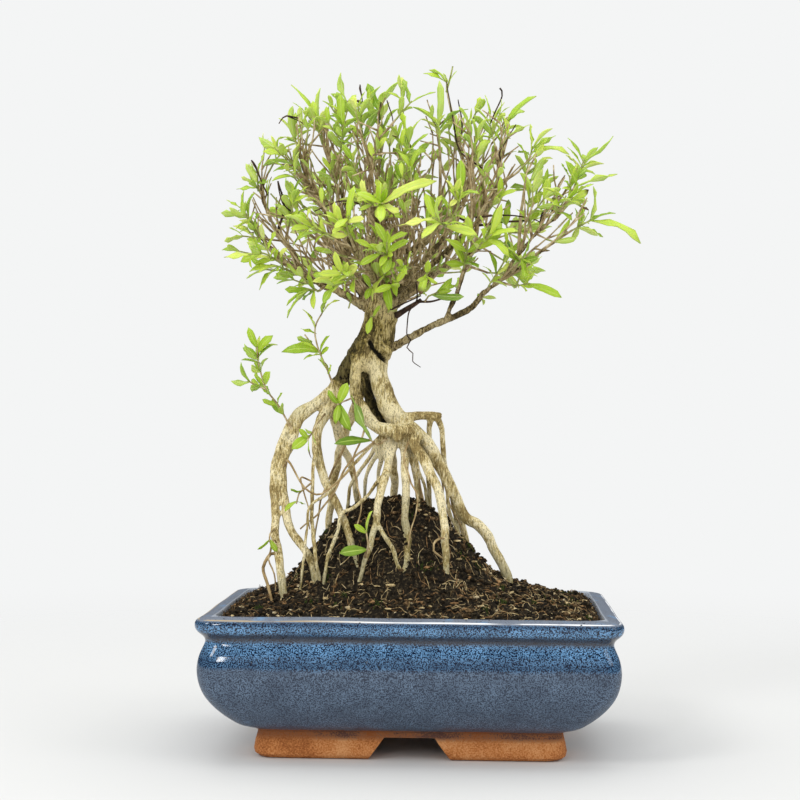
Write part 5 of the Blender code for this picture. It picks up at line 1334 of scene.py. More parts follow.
@dataclass(frozen=True)
class LeafFinish:
    """A serissa leaf: thin, leathery and softly glossy, with light shining through."""

    name: str
    old: str
    grown: str
    young: str
    newest: str
    midrib: str
    withered: str = "5A3A1E"
    roughness: float = 0.42
    glow: float = 0.25

    def make(self) -> bpy.types.Material:
        """Return the blade: its tone by age, a pale midrib and brown where it dies."""
        material, tree = new_material(self.name)
        place = add_node(tree, "TexCoord").outputs["Object"]
        tone = add_node(tree, "Attribute", attribute_name="leaf_tone").outputs["Fac"]
        # Uneven green across a blade, in patches about 3 mm wide
        patches = add_node(tree, "TexNoise", {"Vector": place, "Scale": 330.0, "Detail": 2.0}).outputs[0]
        uneven = add_node(tree, "MapRange", {"Value": patches, 3: -0.07, 4: 0.07}).outputs[0]
        tone = add_node(tree, "Math", {0: tone, 1: uneven}, operation="ADD").outputs[0]
        colour = add_node(tree, "ValToRGB", {0: tone}, stops=(
            (0.05, self.old), (0.4, self.grown), (0.7, self.young), (0.97, self.newest))).outputs[0]
        blade = add_node(tree, "SeparateXYZ", {0: add_node(tree, "UVMap", uv_map="blade").outputs[0]})
        # Distance from the midrib, 0 at the midrib and 0.5 at the edge
        centred = add_node(tree, "Math", {0: blade.outputs[1], 1: 0.5}, operation="SUBTRACT").outputs[0]
        aside = add_node(tree, "Math", {0: centred}, operation="ABSOLUTE").outputs[0]
        rib = add_node(tree, "MapRange", {"Value": aside, 1: 0.02, 2: 0.075, 3: 0.75, 4: 0.0}).outputs[0]
        colour = mixed(tree, rib, colour, self.midrib)
        # Side veins: six pairs to a leaf, slanting towards the tip
        slant = add_node(tree, "Math", {0: aside, 1: -1.1, 2: blade.outputs[0]},
                         operation="MULTIPLY_ADD").outputs[0]
        wave = add_node(tree, "Math", {0: slant, 1: 44.0}, operation="MULTIPLY").outputs[0]
        veins = add_node(tree, "Math", {0: wave}, operation="SINE").outputs[0]
        vein = add_node(tree, "MapRange", {"Value": veins, 1: 0.75, 2: 1.0, 3: 0.0, 4: 0.2}).outputs[0]
        colour = mixed(tree, vein, colour, self.midrib)
        wither = add_node(tree, "Attribute", attribute_name="leaf_wither").outputs["Fac"]
        reach = add_node(tree, "Math", {0: blade.outputs[0], 1: uneven}, operation="ADD").outputs[0]
        dying = add_node(tree, "Math", {0: reach, 1: wither}, operation="ADD").outputs[0]
        brown = add_node(tree, "MapRange", {"Value": dying, 1: 1.1, 2: 1.3}).outputs[0]
        colour = mixed(tree, brown, colour, self.withered)
        groove = add_node(tree, "Math", {0: rib, 1: vein}, operation="ADD").outputs[0]
        bump = add_node(tree, "Bump", {"Height": groove, "Strength": 0.5, "Distance": 0.0003},
                        invert=True).outputs[0]
        close_surface(tree, {"Base Color": colour, "Roughness": self.roughness, "Normal": bump,
                             "Specular IOR Level": 0.4, "Subsurface Weight": self.glow,
                             "Subsurface Radius": (0.6, 1.0, 0.25), "Subsurface Scale": 0.002})
        return material


@dataclass(frozen=True)
class GlazeFinish:
    """Blue stoneware glaze, dipped and fired: it breaks pale on edges and pools dark below. Its bands also
    hold painted reflection, and its lip a painted highlight.
    """

    name: str = "blue_reactive_glaze"
    deep: str = "04102A"
    vein: str = "709FCA"
    # The paler lower band, partly painted reflection of the floor
    lower_deep_and_reflection: str = "1E2A3E"
    lower_vein_and_reflection: str = "86A0BC"
    cove: str = "3A3638"
    rim_top: str = "767E8C"
    lime: str = "A9B0BA"
    worn: str = "AE9C80"
    # The painted highlight along the right half of the lip's edge
    lip_highlight: str = "EEEFF2"
    pinhole: str = "04070E"

    def make(self) -> bpy.types.Material:
        """Return the glaze: bands by height, light and dark worms, and black pinholes."""
        material, tree = new_material(self.name)
        place = add_node(tree, "TexCoord").outputs["Object"]
        height = add_node(tree, "SeparateXYZ", {0: place}).outputs[2]
        # The bands wander by about 1 mm, as a dipped glaze runs
        drift = add_node(tree, "TexNoise", {"Vector": place, "Scale": 45.0, "Detail": 3.0}).outputs[0]
        sway = add_node(tree, "MapRange", {"Value": drift, 3: -0.0016, 4: 0.0016}).outputs[0]
        level = add_node(tree, "Math", {0: height, 1: sway}, operation="ADD").outputs[0]
        # The glaze parts into light and dark worms, 0.4 mm wide
        worms = add_node(tree, "TexNoise", {"Vector": place, "Scale": 1800.0, "Detail": 0.0}).outputs[0]
        net = add_node(tree, "MapRange", {"Value": worms, 1: 0.38, 2: 0.62}).outputs[0]
        clouds = add_node(tree, "TexNoise", {"Vector": place, "Scale": 110.0, "Detail": 3.0}).outputs[0]
        share = add_node(tree, "MapRange", {"Value": clouds, 1: 0.3, 2: 0.7, 3: 0.55, 4: 1.0}).outputs[0]
        # The upper belly pools darkest 49 mm up, and pales towards the hollow above it
        pool = add_node(tree, "MapRange", {"Value": level, 1: 0.0490, 2: 0.0550, 3: 0.48, 4: 1.05}).outputs[0]
        share = add_node(tree, "Math", {0: share, 1: pool}, operation="MULTIPLY").outputs[0]
        shown = add_node(tree, "Math", {0: net, 1: share}, operation="MULTIPLY").outputs[0]
        upper = mixed(tree, shown, self.deep, self.vein)
        lower = mixed(tree, shown, self.lower_deep_and_reflection, self.lower_vein_and_reflection)
        # The belly's saturated band ends softly 46 mm up, and the glaze turns bluer at its foot. The two bands
        # are partly the glaze's own colours and partly painted reflection: dark walls above the widest line,
        # the pale floor below it
        fade = add_node(tree, "MapRange", {"Value": level, 1: 0.0448, 2: 0.0472},
                        interpolation_type="SMOOTHSTEP").outputs[0]
        foot = add_node(tree, "MapRange", {"Value": level, 1: 0.0245, 2: 0.0175, 3: 0.0, 4: 0.2}).outputs[0]
        band = add_node(tree, "Math", {0: fade, 1: foot}, operation="MAXIMUM").outputs[0]
        colour = mixed(tree, band, lower, upper)
        # The hollow under the lip is darkened to a dark grey-brown
        under = add_node(tree, "MapRange", {"Value": level, 1: 0.0572, 2: 0.0592}).outputs[0]
        over = add_node(tree, "MapRange", {"Value": level, 1: 0.0614, 2: 0.0630}).outputs[0]
        hollow = add_node(tree, "Math", {0: under, 1: over}, operation="SUBTRACT").outputs[0]
        hollow = add_node(tree, "Math", {0: hollow, 1: 0.85}, operation="MULTIPLY").outputs[0]
        colour = mixed(tree, hollow, colour, self.cove)
        # It runs off the upper edge of the lip, which is worn to the clay colour
        upward = add_node(tree, "SeparateXYZ", {0: add_node(tree, "NewGeometry").outputs["Normal"]}).outputs[2]
        top = add_node(tree, "MapRange", {"Value": upward, 1: 0.62, 2: 0.9}).outputs[0]
        high = add_node(tree, "MapRange", {"Value": height, 1: 0.0665, 2: 0.0675}).outputs[0]
        top = add_node(tree, "Math", {0: top, 1: high}, operation="MULTIPLY").outputs[0]
        streak = add_node(tree, "MapRange", {"Value": clouds, 1: 0.28, 2: 0.42, 3: 0.45, 4: 1.0}).outputs[0]
        pale = mixed(tree, streak, self.vein, self.rim_top)
        # Just under its upper edge the lip is dark, where the glaze drew back from the wear
        drawn = add_node(tree, "MapRange", {"Value": height, 1: 0.0650, 2: 0.0672, 3: 0.0, 4: 0.6}).outputs[0]
        colour = mixed(tree, drawn, colour, self.deep)
        colour = mixed(tree, top, colour, pale)
        # Bare specks 1 mm wide on the top of the lip
        speck = add_node(tree, "MapRange", {"Value": worms, 1: 0.36, 2: 0.30, 3: 0.0, 4: 0.7}).outputs[0]
        speck = add_node(tree, "Math", {0: speck, 1: top}, operation="MULTIPLY").outputs[0]
        colour = mixed(tree, speck, colour, self.cove)
        # Inside, above the soil, it is thin too, and grey with lime
        inner = add_node(tree, "Attribute", attribute_name="pot_inside").outputs["Fac"]
        colour = mixed(tree, inner, colour, self.lime)
        edge = add_node(tree, "Attribute", attribute_name="worn_edge").outputs["Fac"]
        wear = add_node(tree, "Math", {0: edge, 1: drift}, operation="MULTIPLY").outputs[0]
        wear = add_node(tree, "MapRange", {"Value": wear, 1: 0.24, 2: 0.36}).outputs[0]
        # On the left half the wear shows the clay; on the right the line is a painted highlight, white, where
        # light catches the lip's rounded edge
        across = add_node(tree, "SeparateXYZ", {0: place}).outputs[0]
        side = add_node(tree, "MapRange", {"Value": across, 1: -0.055, 2: -0.02}).outputs[0]
        colour = mixed(tree, wear, colour, mixed(tree, side, self.worn, self.lip_highlight))
        # Pinholes, 0.6 mm wide and about 5 mm apart, burst bubbles high on the belly
        bubbles = add_node(tree, "TexVoronoi", {"Vector": place, "Scale": 210.0}).outputs["Distance"]
        hole = add_node(tree, "MapRange", {"Value": bubbles, 1: 0.13, 2: 0.09, 3: 0.0, 4: 0.95}).outputs[0]
        hole = add_node(tree, "Math", {0: hole, 1: fade}, operation="MULTIPLY").outputs[0]
        colour = mixed(tree, hole, colour, self.pinhole)
        dips = add_node(tree, "Math", {0: clouds, 1: hole}, operation="SUBTRACT").outputs[0]
        bump = add_node(tree, "Bump", {"Height": dips, "Strength": 0.12, "Distance": 0.0003}).outputs[0]
        # The lower belly fired to satin, and the top of the lip is dull with wear and lime
        gloss = add_node(tree, "MapRange", {"Value": level, 1: 0.0448, 2: 0.0472, 3: 0.42, 4: 0.07}).outputs[0]
        dull = add_node(tree, "Math", {0: top, 1: 0.4, 2: gloss}, operation="MULTIPLY_ADD").outputs[0]
        shine = add_node(tree, "MapRange", {"Value": top, 3: 0.5, 4: 0.1}).outputs[0]
        close_surface(tree, {"Base Color": colour, "Roughness": dull, "Normal": bump,
                             "Specular IOR Level": shine})
        return material


@dataclass(frozen=True)
class ClayFinish:
    """Terracotta, pressed and fired bare: dry, sandy, and washed pale below the glaze."""

    name: str = "bare_terracotta"
    clay: str = "B8743F"
    pale: str = "CE9460"
    dark: str = "8E5228"
    wash: str = "5A3E36"

    def make(self) -> bpy.types.Material:
        """Return the clay: grain, blotches, and a thin brown wash under the glaze line."""
        material, tree = new_material(self.name)
        place = add_node(tree, "TexCoord").outputs["Object"]
        height = add_node(tree, "SeparateXYZ", {0: place}).outputs[2]
        blotches = add_node(tree, "TexNoise", {"Vector": place, "Scale": 60.0, "Detail": 4.0}).outputs[0]
        # Sand in the clay, 0.7 mm, drawn just coarse enough to show
        sand = add_node(tree, "TexNoise", {"Vector": place, "Scale": 1400.0, "Detail": 3.0}).outputs[0]
        both = add_node(tree, "Math", {0: blotches, 1: sand}, operation="ADD").outputs[0]
        share = add_node(tree, "MapRange", {"Value": both, 1: 0.7, 2: 1.3}).outputs[0]
        colour = add_node(tree, "ValToRGB", {0: share}, stops=(
            (0.1, self.dark), (0.45, self.clay), (0.9, self.pale))).outputs[0]
        washed = add_node(tree, "MapRange", {"Value": height, 1: 0.0088, 2: 0.0112, 4: 1.3}).outputs[0]
        washed = add_node(tree, "Math", {0: washed, 1: share}, operation="MULTIPLY").outputs[0]
        colour = mixed(tree, washed, colour, self.wash)
        bump = add_node(tree, "Bump", {"Height": sand, "Strength": 0.5, "Distance": 0.0004}).outputs[0]
        close_surface(tree, {"Base Color": colour, "Roughness": 0.86, "Normal": bump,
                             "Specular IOR Level": 0.25})
        return material


@dataclass(frozen=True)
class EarthFinish:
    """Peat, bark chips, sand or moss: dry crumbs of one colour range."""

    name: str
    dark: str
    middle: str
    pale: str
    grain: float = 1.5
    roughness: float = 0.95

    def make(self) -> bpy.types.Material:
        """Return the crumbs: colour and bump change over the grain's size in millimetres."""
        material, tree = new_material(self.name)
        place = add_node(tree, "TexCoord").outputs["Object"]
        speck = add_node(tree, "TexNoise", {"Vector": place, "Scale": 1000.0 / self.grain,
                                            "Detail": 5.0, "Roughness": 0.65}).outputs[0]
        colour = add_node(tree, "ValToRGB", {0: speck}, stops=(
            (0.35, self.dark), (0.55, self.middle), (0.72, self.pale))).outputs[0]
        bump = add_node(tree, "Bump", {"Height": speck, "Strength": 0.8, "Distance": 0.0008}).outputs[0]
        close_surface(tree, {"Base Color": colour, "Roughness": self.roughness, "Normal": bump,
                             "Specular IOR Level": 0.2})
        return material


@dataclass
class GlazedPot:
    """The pot: a glazed bowl and the bare clay foot that two passages split in four."""

    origin: Vector
    # Half-width and height of the outside, from the foot up over the lip and down inside
    profile: tuple = ((73.6, 12.4), (76.0, 14.6), (81.2, 15.8), (85.2, 19.0), (89.6, 23.0),
                      (93.1, 27.0), (96.1, 31.2), (98.1, 35.4), (99.3, 39.8), (99.8, 44.6),
                      (99.5, 48.6), (98.5, 52.2), (97.2, 55.0), (96.2, 57.4), (96.3, 59.2),
                      (97.6, 60.9), (99.3, 62.3), (100.3, 64.0), (100.7, 66.0), (100.3, 67.8),
                      (99.0, 68.8), (96.0, 69.5), (93.7, 69.9), (92.4, 69.9), (91.7, 69.2),
                      (91.3, 67.0), (90.4, 60.0), (91.4, 50.0), (91.2, 42.0), (87.0, 29.0),
                      (76.0, 20.5))
    foot_profile: tuple = ((71.4, 0.0), (73.4, 0.5), (74.9, 1.9), (75.4, 4.2), (74.8, 8.0),
                           (73.9, 11.4), (73.4, 14.6), (57.6, 14.6), (57.6, 9.0), (58.0, 2.0),
                           (59.6, 0.0))
    worn_from: int = 18
    worn_to: int = 21
    unevenness: float = 0.45
    drain_radius: float = 8.0
    drain_x: float = 40.0
    notch_fillet: float = 1.9

    def lathe(self, profile: Sequence[tuple[float, float]]) -> tuple[bmesh.types.BMesh, list]:
        """Return a shape that follows a profile round the pot, and its last ring."""
        shape = bmesh.new()
        width, height = profile[0]
        ring = rounded_ring(shape, width, width - POT_INSET, CORNER_RADIUS, height)
        for wider, higher in profile[1:]:
            ring = raise_ring(shape, ring, wider - width, higher - height)
            width, height = wider, higher
        return shape, ring

    def cutter(self, size: Vector, place: Vector, top: float = 1.0) -> bpy.types.Mesh:
        """Return a block whose top is narrower by a share across its shorter side."""
        shape = bmesh.new()
        bmesh.ops.create_cube(shape, size=1.0)
        axis = 0 if size.x < size.y else 1
        for vertex in shape.verts:
            if vertex.co.z > 0:
                vertex.co[axis] *= top
        bmesh.ops.scale(shape, vec=size, verts=shape.verts[:])
        bmesh.ops.translate(shape, vec=place, verts=shape.verts[:])
        mesh = bpy.data.meshes.new("cutter")
        shape.to_mesh(mesh)
        shape.free()
        return mesh

    def cut(self, mesh: bpy.types.Mesh, cutters: Sequence[bpy.types.Mesh]) -> bpy.types.Mesh:
        """Return a mesh with every cutter taken away from it."""
        for cutter in cutters:
            tool = bpy.data.objects.new("cutter", cutter)
            bpy.context.scene.collection.objects.link(tool)
            settings = {"operation": "DIFFERENCE", "solver": "EXACT", "object": tool}
            mesh = evaluated(mesh, (("BOOLEAN", settings),))
            bpy.data.objects.remove(tool, do_unlink=True)
        return mesh

    def drain(self, x: float) -> bpy.types.Mesh:
        """Return the upright cylinder that opens a drain hole."""
        shape = bmesh.new()
        bmesh.ops.create_cone(shape, cap_ends=True, segments=32, radius1=self.drain_radius,
                              radius2=self.drain_radius, depth=30.0)
        bmesh.ops.translate(shape, vec=(x, 0, 18.0), verts=shape.verts[:])
        mesh = bpy.data.meshes.new("drain")
        shape.to_mesh(mesh)
        shape.free()
        return mesh

    def bowl(self, glaze: bpy.types.Material, clay: bpy.types.Material) -> bpy.types.Object:
        """Build the bowl: glazed all over but underneath.

        Args:
            glaze: the finish of its walls.
            clay: the finish of its underside.

        Returns:
            The piece.
        """
        shape, ring = self.lathe(self.profile)
        bmesh.ops.contextual_create(shape, geom=ring)
        first = [edge for edge in shape.edges if edge.is_boundary]
        bottom = raise_ring(shape, first, -14.0, -0.4)
        bmesh.ops.contextual_create(shape, geom=bottom)
        bmesh.ops.recalc_face_normals(shape, faces=shape.faces[:])
        rough = bpy.data.meshes.new("bowl")
        shape.to_mesh(rough)
        shape.free()
        smooth = evaluated(rough, (("SUBSURF", {"levels": 2, "render_levels": 2}),))
        mesh = self.cut(smooth, [self.drain(-self.drain_x), self.drain(self.drain_x)])
        shape = bmesh.new()
        shape.from_mesh(mesh)
        # The line along the lip's outer edge: worn clay on the left half, a painted highlight on the right
        worn = shape.verts.layers.float.new("worn_edge")
        inner = shape.verts.layers.float.new("pot_inside")
        (low, high) = (self.profile[self.worn_from][1], self.profile[self.worn_to][1])
        for vertex in shape.verts:
            height = vertex.co.z
            wall = max(abs(vertex.co.x), abs(vertex.co.y) + POT_INSET)
            if wall > 97.6 and low < height:
                vertex[worn] = 1 - min(abs(height - high + 0.9) / 0.5, 1.0)
            vertex[inner] = 0.8 if wall < 92.6 and height > 40 else 0.0
            vertex.co += noise.noise_vector(vertex.co * 0.022) * self.unevenness
        for face in shape.faces:
            is_under = face.normal.z < -0.8 and face.calc_center_median().z < 14.5
            face.material_index = 1 if is_under else 0
        for edge in shape.edges:
            edge.smooth = edge.calc_face_angle(0.0) < 0.9
        piece = finish_mesh("glazed_bowl", shape, (glaze, clay), self.origin)
        declare(piece, "glazed_stoneware", "pot")
        return piece

    def feet(self, clay: bpy.types.Material) -> bpy.types.Object:
        """Build the four corner feet, joined above the passages by a low web."""
        shape, ring = self.lathe(self.foot_profile)
        first = [edge for edge in shape.edges if edge.is_boundary and edge not in ring]
        bmesh.ops.bridge_loops(shape, edges=first + ring)
        bmesh.ops.recalc_face_normals(shape, faces=shape.faces[:])
        rough = bpy.data.meshes.new("foot")
        shape.to_mesh(rough)
        shape.free()
        height = NOTCH_HEIGHT + 1.0
        middle = Vector((0, 0, NOTCH_HEIGHT - height / 2))
        wide = NOTCH_BOTTOM + (NOTCH_BOTTOM - NOTCH_TOP) / NOTCH_HEIGHT
        share = NOTCH_TOP / wide
        passages = [self.cutter(Vector((wide, 220.0, height)), middle, share),
                    self.cutter(Vector((220.0, wide, height)), middle, share)]
        mesh = self.cut(rough, passages)
        rounded = {"width": self.notch_fillet, "segments": 3, "limit_method": "ANGLE",
                   "angle_limit": math.radians(35)}
        mesh = evaluated(mesh, (("BEVEL", rounded),))
        shape = bmesh.new()
        shape.from_mesh(mesh)
        for edge in shape.edges:
            edge.smooth = edge.calc_face_angle(0.0) < 0.7
        piece = finish_mesh("clay_feet", shape, (clay,), self.origin)
        declare(piece, "glazed_stoneware", "pot")
        return piece


@dataclass
class PeatSoil:
    """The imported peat: its mounded surface, loose crumbs, fibres, bark, stones and moss."""

    origin: Vector
    half_x: float = 90.9
    half_y: float = 65.9
    corner: float = 8.0
    step: float = 0.95
    bottom: float = 58.0
    rim_dip: float = 1.2
    crumbs: int = 2300
    fibres: int = 2600
    edge_fibres: int = 900
    chips: int = 420
    stones: int = 150
    tufts: int = 60

    def surface(self, x: float, y: float) -> float:
        """Return the height of the finished surface: clods, hollows and crumbs."""
        edge = min(self.half_x - abs(x), self.half_y - abs(y))
        clods = abs(noise.noise(Vector((x * 0.10, y * 0.10, 4.0)))) * 3.0
        lumps = noise.noise(Vector((x * 0.30, y * 0.30, 1.0))) * 1.3
        crumb = noise.noise(Vector((x * 0.85, y * 0.85, 7.0))) * 0.75
        rough = clods + lumps + crumb - 1.0
        fade = min(max(edge / 5.0, 0.25), 1.0)
        return soil_height(x, y) + rough * fade - self.rim_dip * (1 - min(edge / 6.0, 1.0))

    def inside(self, x: float, y: float) -> tuple[float, float]:
        """Return a place pulled into the rounded corner where it lies beyond it."""
        over_x = abs(x) - (self.half_x - self.corner)
        over_y = abs(y) - (self.half_y - self.corner)
        if over_x <= 0 or over_y <= 0:
            return x, y
        reach = math.hypot(over_x, over_y)
        if reach <= self.corner:
            return x, y
        x -= math.copysign(over_x * (1 - self.corner / reach), x)
        y -= math.copysign(over_y * (1 - self.corner / reach), y)
        return x, y

    def ground(self, peat: bpy.types.Material) -> bpy.types.Object:
        """Build the body of the soil with its rough surface."""
        shape = bmesh.new()
        bmesh.ops.create_grid(shape, x_segments=int(2 * self.half_x / self.step),
                              y_segments=int(2 * self.half_y / self.step), size=1.0)
        for vertex in shape.verts:
            x, y = self.inside(vertex.co.x * self.half_x, vertex.co.y * self.half_y)
            vertex.co = Vector((x, y, self.surface(x, y)))
        rim = [edge for edge in shape.edges if edge.is_boundary]
        made = bmesh.ops.extrude_edge_only(shape, edges=rim)["geom"]
        for item in made:
            if isinstance(item, bmesh.types.BMVert):
                item.co.z = self.bottom
        lowest = [item for item in made if isinstance(item, bmesh.types.BMEdge)]
        bmesh.ops.contextual_create(shape, geom=lowest)
        bmesh.ops.recalc_face_normals(shape, faces=shape.faces[:])
        piece = finish_mesh("peat", shape, (peat,), self.origin)
        declare(piece, "potting_soil", "soil")
        return piece

    def spot(self, rng: random.Random, margin: float = 2.0) -> Vector:
        """Return a random place on the surface."""
        x = rng.uniform(-1, 1) * (self.half_x - margin)
        y = rng.uniform(-1, 1) * (self.half_y - margin)
        x, y = self.inside(x, y)
        return Vector((x, y, self.surface(x, y)))

    def scatter(self, name: str, count: int, sizes: tuple[float, float], flat: float, detail: int,
                finishes: Sequence[bpy.types.Material], sunk: float) -> bpy.types.Object:
        """Scatter rough lumps over the surface.

        Args:
            name: the piece's name.
            count: how many.
            sizes: the smallest and the largest radius.
            flat: their height against their width.
            detail: subdivisions of the sphere that each starts from.
            finishes: their finishes, given out at random.
            sunk: how much of its radius each is sunk.

        Returns:
            The piece.
        """
        rng = random.Random(name)
        shape = bmesh.new()
        for _ in range(count):
            place = self.spot(rng)
            size = rng.uniform(*sizes) * rng.uniform(0.6, 1.0)
            made = bmesh.ops.create_icosphere(shape, subdivisions=detail, radius=size)["verts"]
            turn = Matrix.Rotation(rng.uniform(0, math.tau), 4, "Z")
            tilt = Matrix.Rotation(rng.gauss(0, 0.35), 4, "X")
            stretch = Matrix.Diagonal((rng.uniform(0.8, 1.7), rng.uniform(0.6, 1.1), flat, 1.0))
            for vertex in made:
                vertex.co *= 1 + 0.45 * noise.noise(vertex.co / size * 1.3 + place)
            lift = Vector((0, 0, size * flat * (1 - sunk)))
            bmesh.ops.transform(shape, verts=made,
                                matrix=Matrix.Translation(place + lift) @ turn @ tilt @ stretch)
            finish = rng.randrange(len(finishes))
            for face in {face for vertex in made for face in vertex.link_faces}:
                face.material_index = finish
        piece = finish_mesh(name, shape, finishes, self.origin, smooth=detail > 1)
        declare(piece, "potting_soil", "soil")
        return piece

    def loose_fibres(self, finishes: Sequence[bpy.types.Material]) -> bpy.types.Object:
        """Lay coconut fibres and thin dead roots over the surface."""
        rng = random.Random("fibres")
        shape = bmesh.new()
        for index in range(len(finishes)):
            routes = []
            for _ in range(self.fibres // len(finishes)):
                start = self.spot(rng, 4.0)
                if rng.random() > 0.62 + start.x / 240:
                    continue
                angle = rng.uniform(0, math.tau)
                bend = rng.gauss(0, 0.16)
                radius = rng.uniform(0.08, 0.22)
                lift = rng.uniform(0.0, 0.9)
                route = []
                x, y = start.x, start.y
                for step in range(rng.choice((2, 3, 4, 5, 7, 10))):
                    x, y = self.inside(x + math.cos(angle) * 1.5, y + math.sin(angle) * 1.5)
                    x = min(max(x, -self.half_x + 1.5), self.half_x - 1.5)
                    y = min(max(y, -self.half_y + 1.5), self.half_y - 1.5)
                    arch = lift * math.sin(step * 0.9)
                    route.append((x, y, self.surface(x, y) + radius * 0.6 + arch, radius))
                    angle += bend + rng.gauss(0, 0.15)
                routes.append(route)
            first = len(shape.faces)
            shape.from_mesh(tubes_mesh(routes, 4))
            shape.faces.ensure_lookup_table()
            for face in shape.faces[first:]:
                face.material_index = index
        bmesh.ops.remove_doubles(shape, verts=shape.verts[:], dist=1e-4)
        bmesh.ops.recalc_face_normals(shape, faces=shape.faces[:])
        piece = finish_mesh("fibres", shape, finishes, self.origin)
        declare(piece, "potting_soil", "soil")
        return piece

    def rough_edge(self, finish: bpy.types.Material) -> bpy.types.Object:
        """Stand short stiff fibres along the ends of the pot, where the peat was pulled up."""
        rng = random.Random("edge")
        routes = []
        for _ in range(self.edge_fibres):
            side = rng.choice((-1, 1))
            x = side * (self.half_x - 1.0 - abs(rng.gauss(0, 5.0)))
            y = rng.uniform(-1, 1) * (self.half_y - 2.0)
            x, y = self.inside(x, y)
            place = Vector((x, y, self.surface(x, y) - 0.6))
            heading = Vector((side * rng.uniform(-0.5, 0.5), rng.uniform(-0.8, 0.8), rng.uniform(0.2, 1.0)))
            middle = place + heading * rng.uniform(0.8, 1.8)
            end = middle + (heading + random_push(rng) * 0.6) * rng.uniform(0.6, 1.6)
            radius = rng.uniform(0.12, 0.22)
            routes.append([(*place, radius), (*middle, radius), (*end, radius * 0.7)])
        shape = shaped((tubes_mesh(routes, 4),))
        piece = finish_mesh("edge_fibres", shape, (finish,), self.origin)
        declare(piece, "potting_soil", "soil")
        return piece

    def moss(self, green: bpy.types.Material) -> bpy.types.Object:
        """Set small tufts of moss at random places over the surface."""
        rng = random.Random("moss")
        shape = bmesh.new()
        for _ in range(self.tufts):
            centre = self.spot(rng, 6.0)
            for _ in range(16):
                x = centre.x + rng.gauss(0, 1.4)
                y = centre.y + rng.gauss(0, 1.4)
                x, y = self.inside(x, y)
                made = bmesh.ops.create_cone(shape, cap_ends=True, segments=4, radius1=0.34,
                                             radius2=0.05, depth=rng.uniform(1.2, 2.4))["verts"]
                lean = Matrix.Rotation(rng.gauss(0, 0.45), 4, "X")
                turn = Matrix.Rotation(rng.uniform(0, math.tau), 4, "Z")
                place = Matrix.Translation((x, y, self.surface(x, y) + 0.5))
                bmesh.ops.transform(shape, verts=made, matrix=place @ turn @ lean)
        piece = finish_mesh("moss", shape, (green,), self.origin)
        declare(piece, "potting_soil", "soil")
        return piece


# How rough each trunk limb is, from smooth root bark to the fissured old trunk. Above 1 it also darkens the
# bark to olive, partly algae and partly painted shade.
BARK_AGE = {"trunk": 1.05, "left_trunk": 2.6, "right_trunk": 0.35, "middle_root": 0.7,
            "root_lobe": 0.15, "gash_stub": 0.9, "shaded_stem": 1.7}
BURL_KNOB = Limb("burl_knob", ((-7, -12, 157, 2.0), (-8, -15, 154, 2.3), (-8, -16, 152, 1.6)))
ROOT_AGE = 0.10
BRANCH_AGE = 0.8
GASH = ((-23, 0, 202), (-21, 0, 198), (-18, 0, 195), (-14, 0, 192))

# Roots too thin for the solids: x, y, z and radius in millimetres
HAIR_ROOTS = (
    ((-70, -26, 96, 0.9), (-73, -28, 90, 0.8), (-71, -30, 82, 0.8), (-68, -32, 72, 0.7)),
    ((-14, 14, 155, 1.5), (-2, 20, 140, 1.2), (3, 26, 120, 1.1), (4, 32, 90, 0.9)),
    ((-68, -28, 103, 0.5), (-70, -28, 97, 0.5), (-71, -28, 93, 0.4), (-68, -28, 86, 0.4),
     (-67, -28, 78, 0.3)),
    ((-61, -25, 142, 0.6), (-56, -25, 133, 0.5), (-51, -25, 127, 0.5), (-45, -25, 126, 0.5),
     (-36, -25, 133, 0.4), (-31, -25, 138, 0.4)),
    ((-56, -22, 133, 0.5), (-53, -22, 123, 0.4), (-51, -22, 108, 0.3)),
    ((-20, -14, 151, 0.6), (-31, -20, 142, 0.5), (-41, -20, 123, 0.5),
     (-56, -20, 108, 0.4)),
    ((14, -30, 105, 0.6), (11, -36, 102, 0.5), (11, -36, 99, 0.5), (15, -31, 95, 0.5)),
    ((-24, -8, 160, 0.6), (-30, -15, 140, 0.5), (-26, -18, 120, 0.4), (-30, -20, 98, 0.3)),
    ((-2, -8, 156, 0.6), (-4, -18, 140, 0.5), (2, -24, 124, 0.4), (-2, -28, 100, 0.3)),
    ((6, -4, 150, 0.6), (16, 6, 136, 0.5), (18, 10, 120, 0.4), (28, 14, 98, 0.3)),
    ((-36, 6, 150, 0.7), (-44, 12, 134, 0.6), (-50, 14, 116, 0.5), (-54, 18, 90, 0.4)),
    ((-8, 6, 156, 0.7), (-12, 16, 140, 0.6), (-20, 24, 122, 0.5), (-24, 30, 96, 0.4)),
    ((2, 2, 150, 0.7), (12, 14, 134, 0.6), (16, 22, 116, 0.5), (24, 30, 88, 0.4)),
)

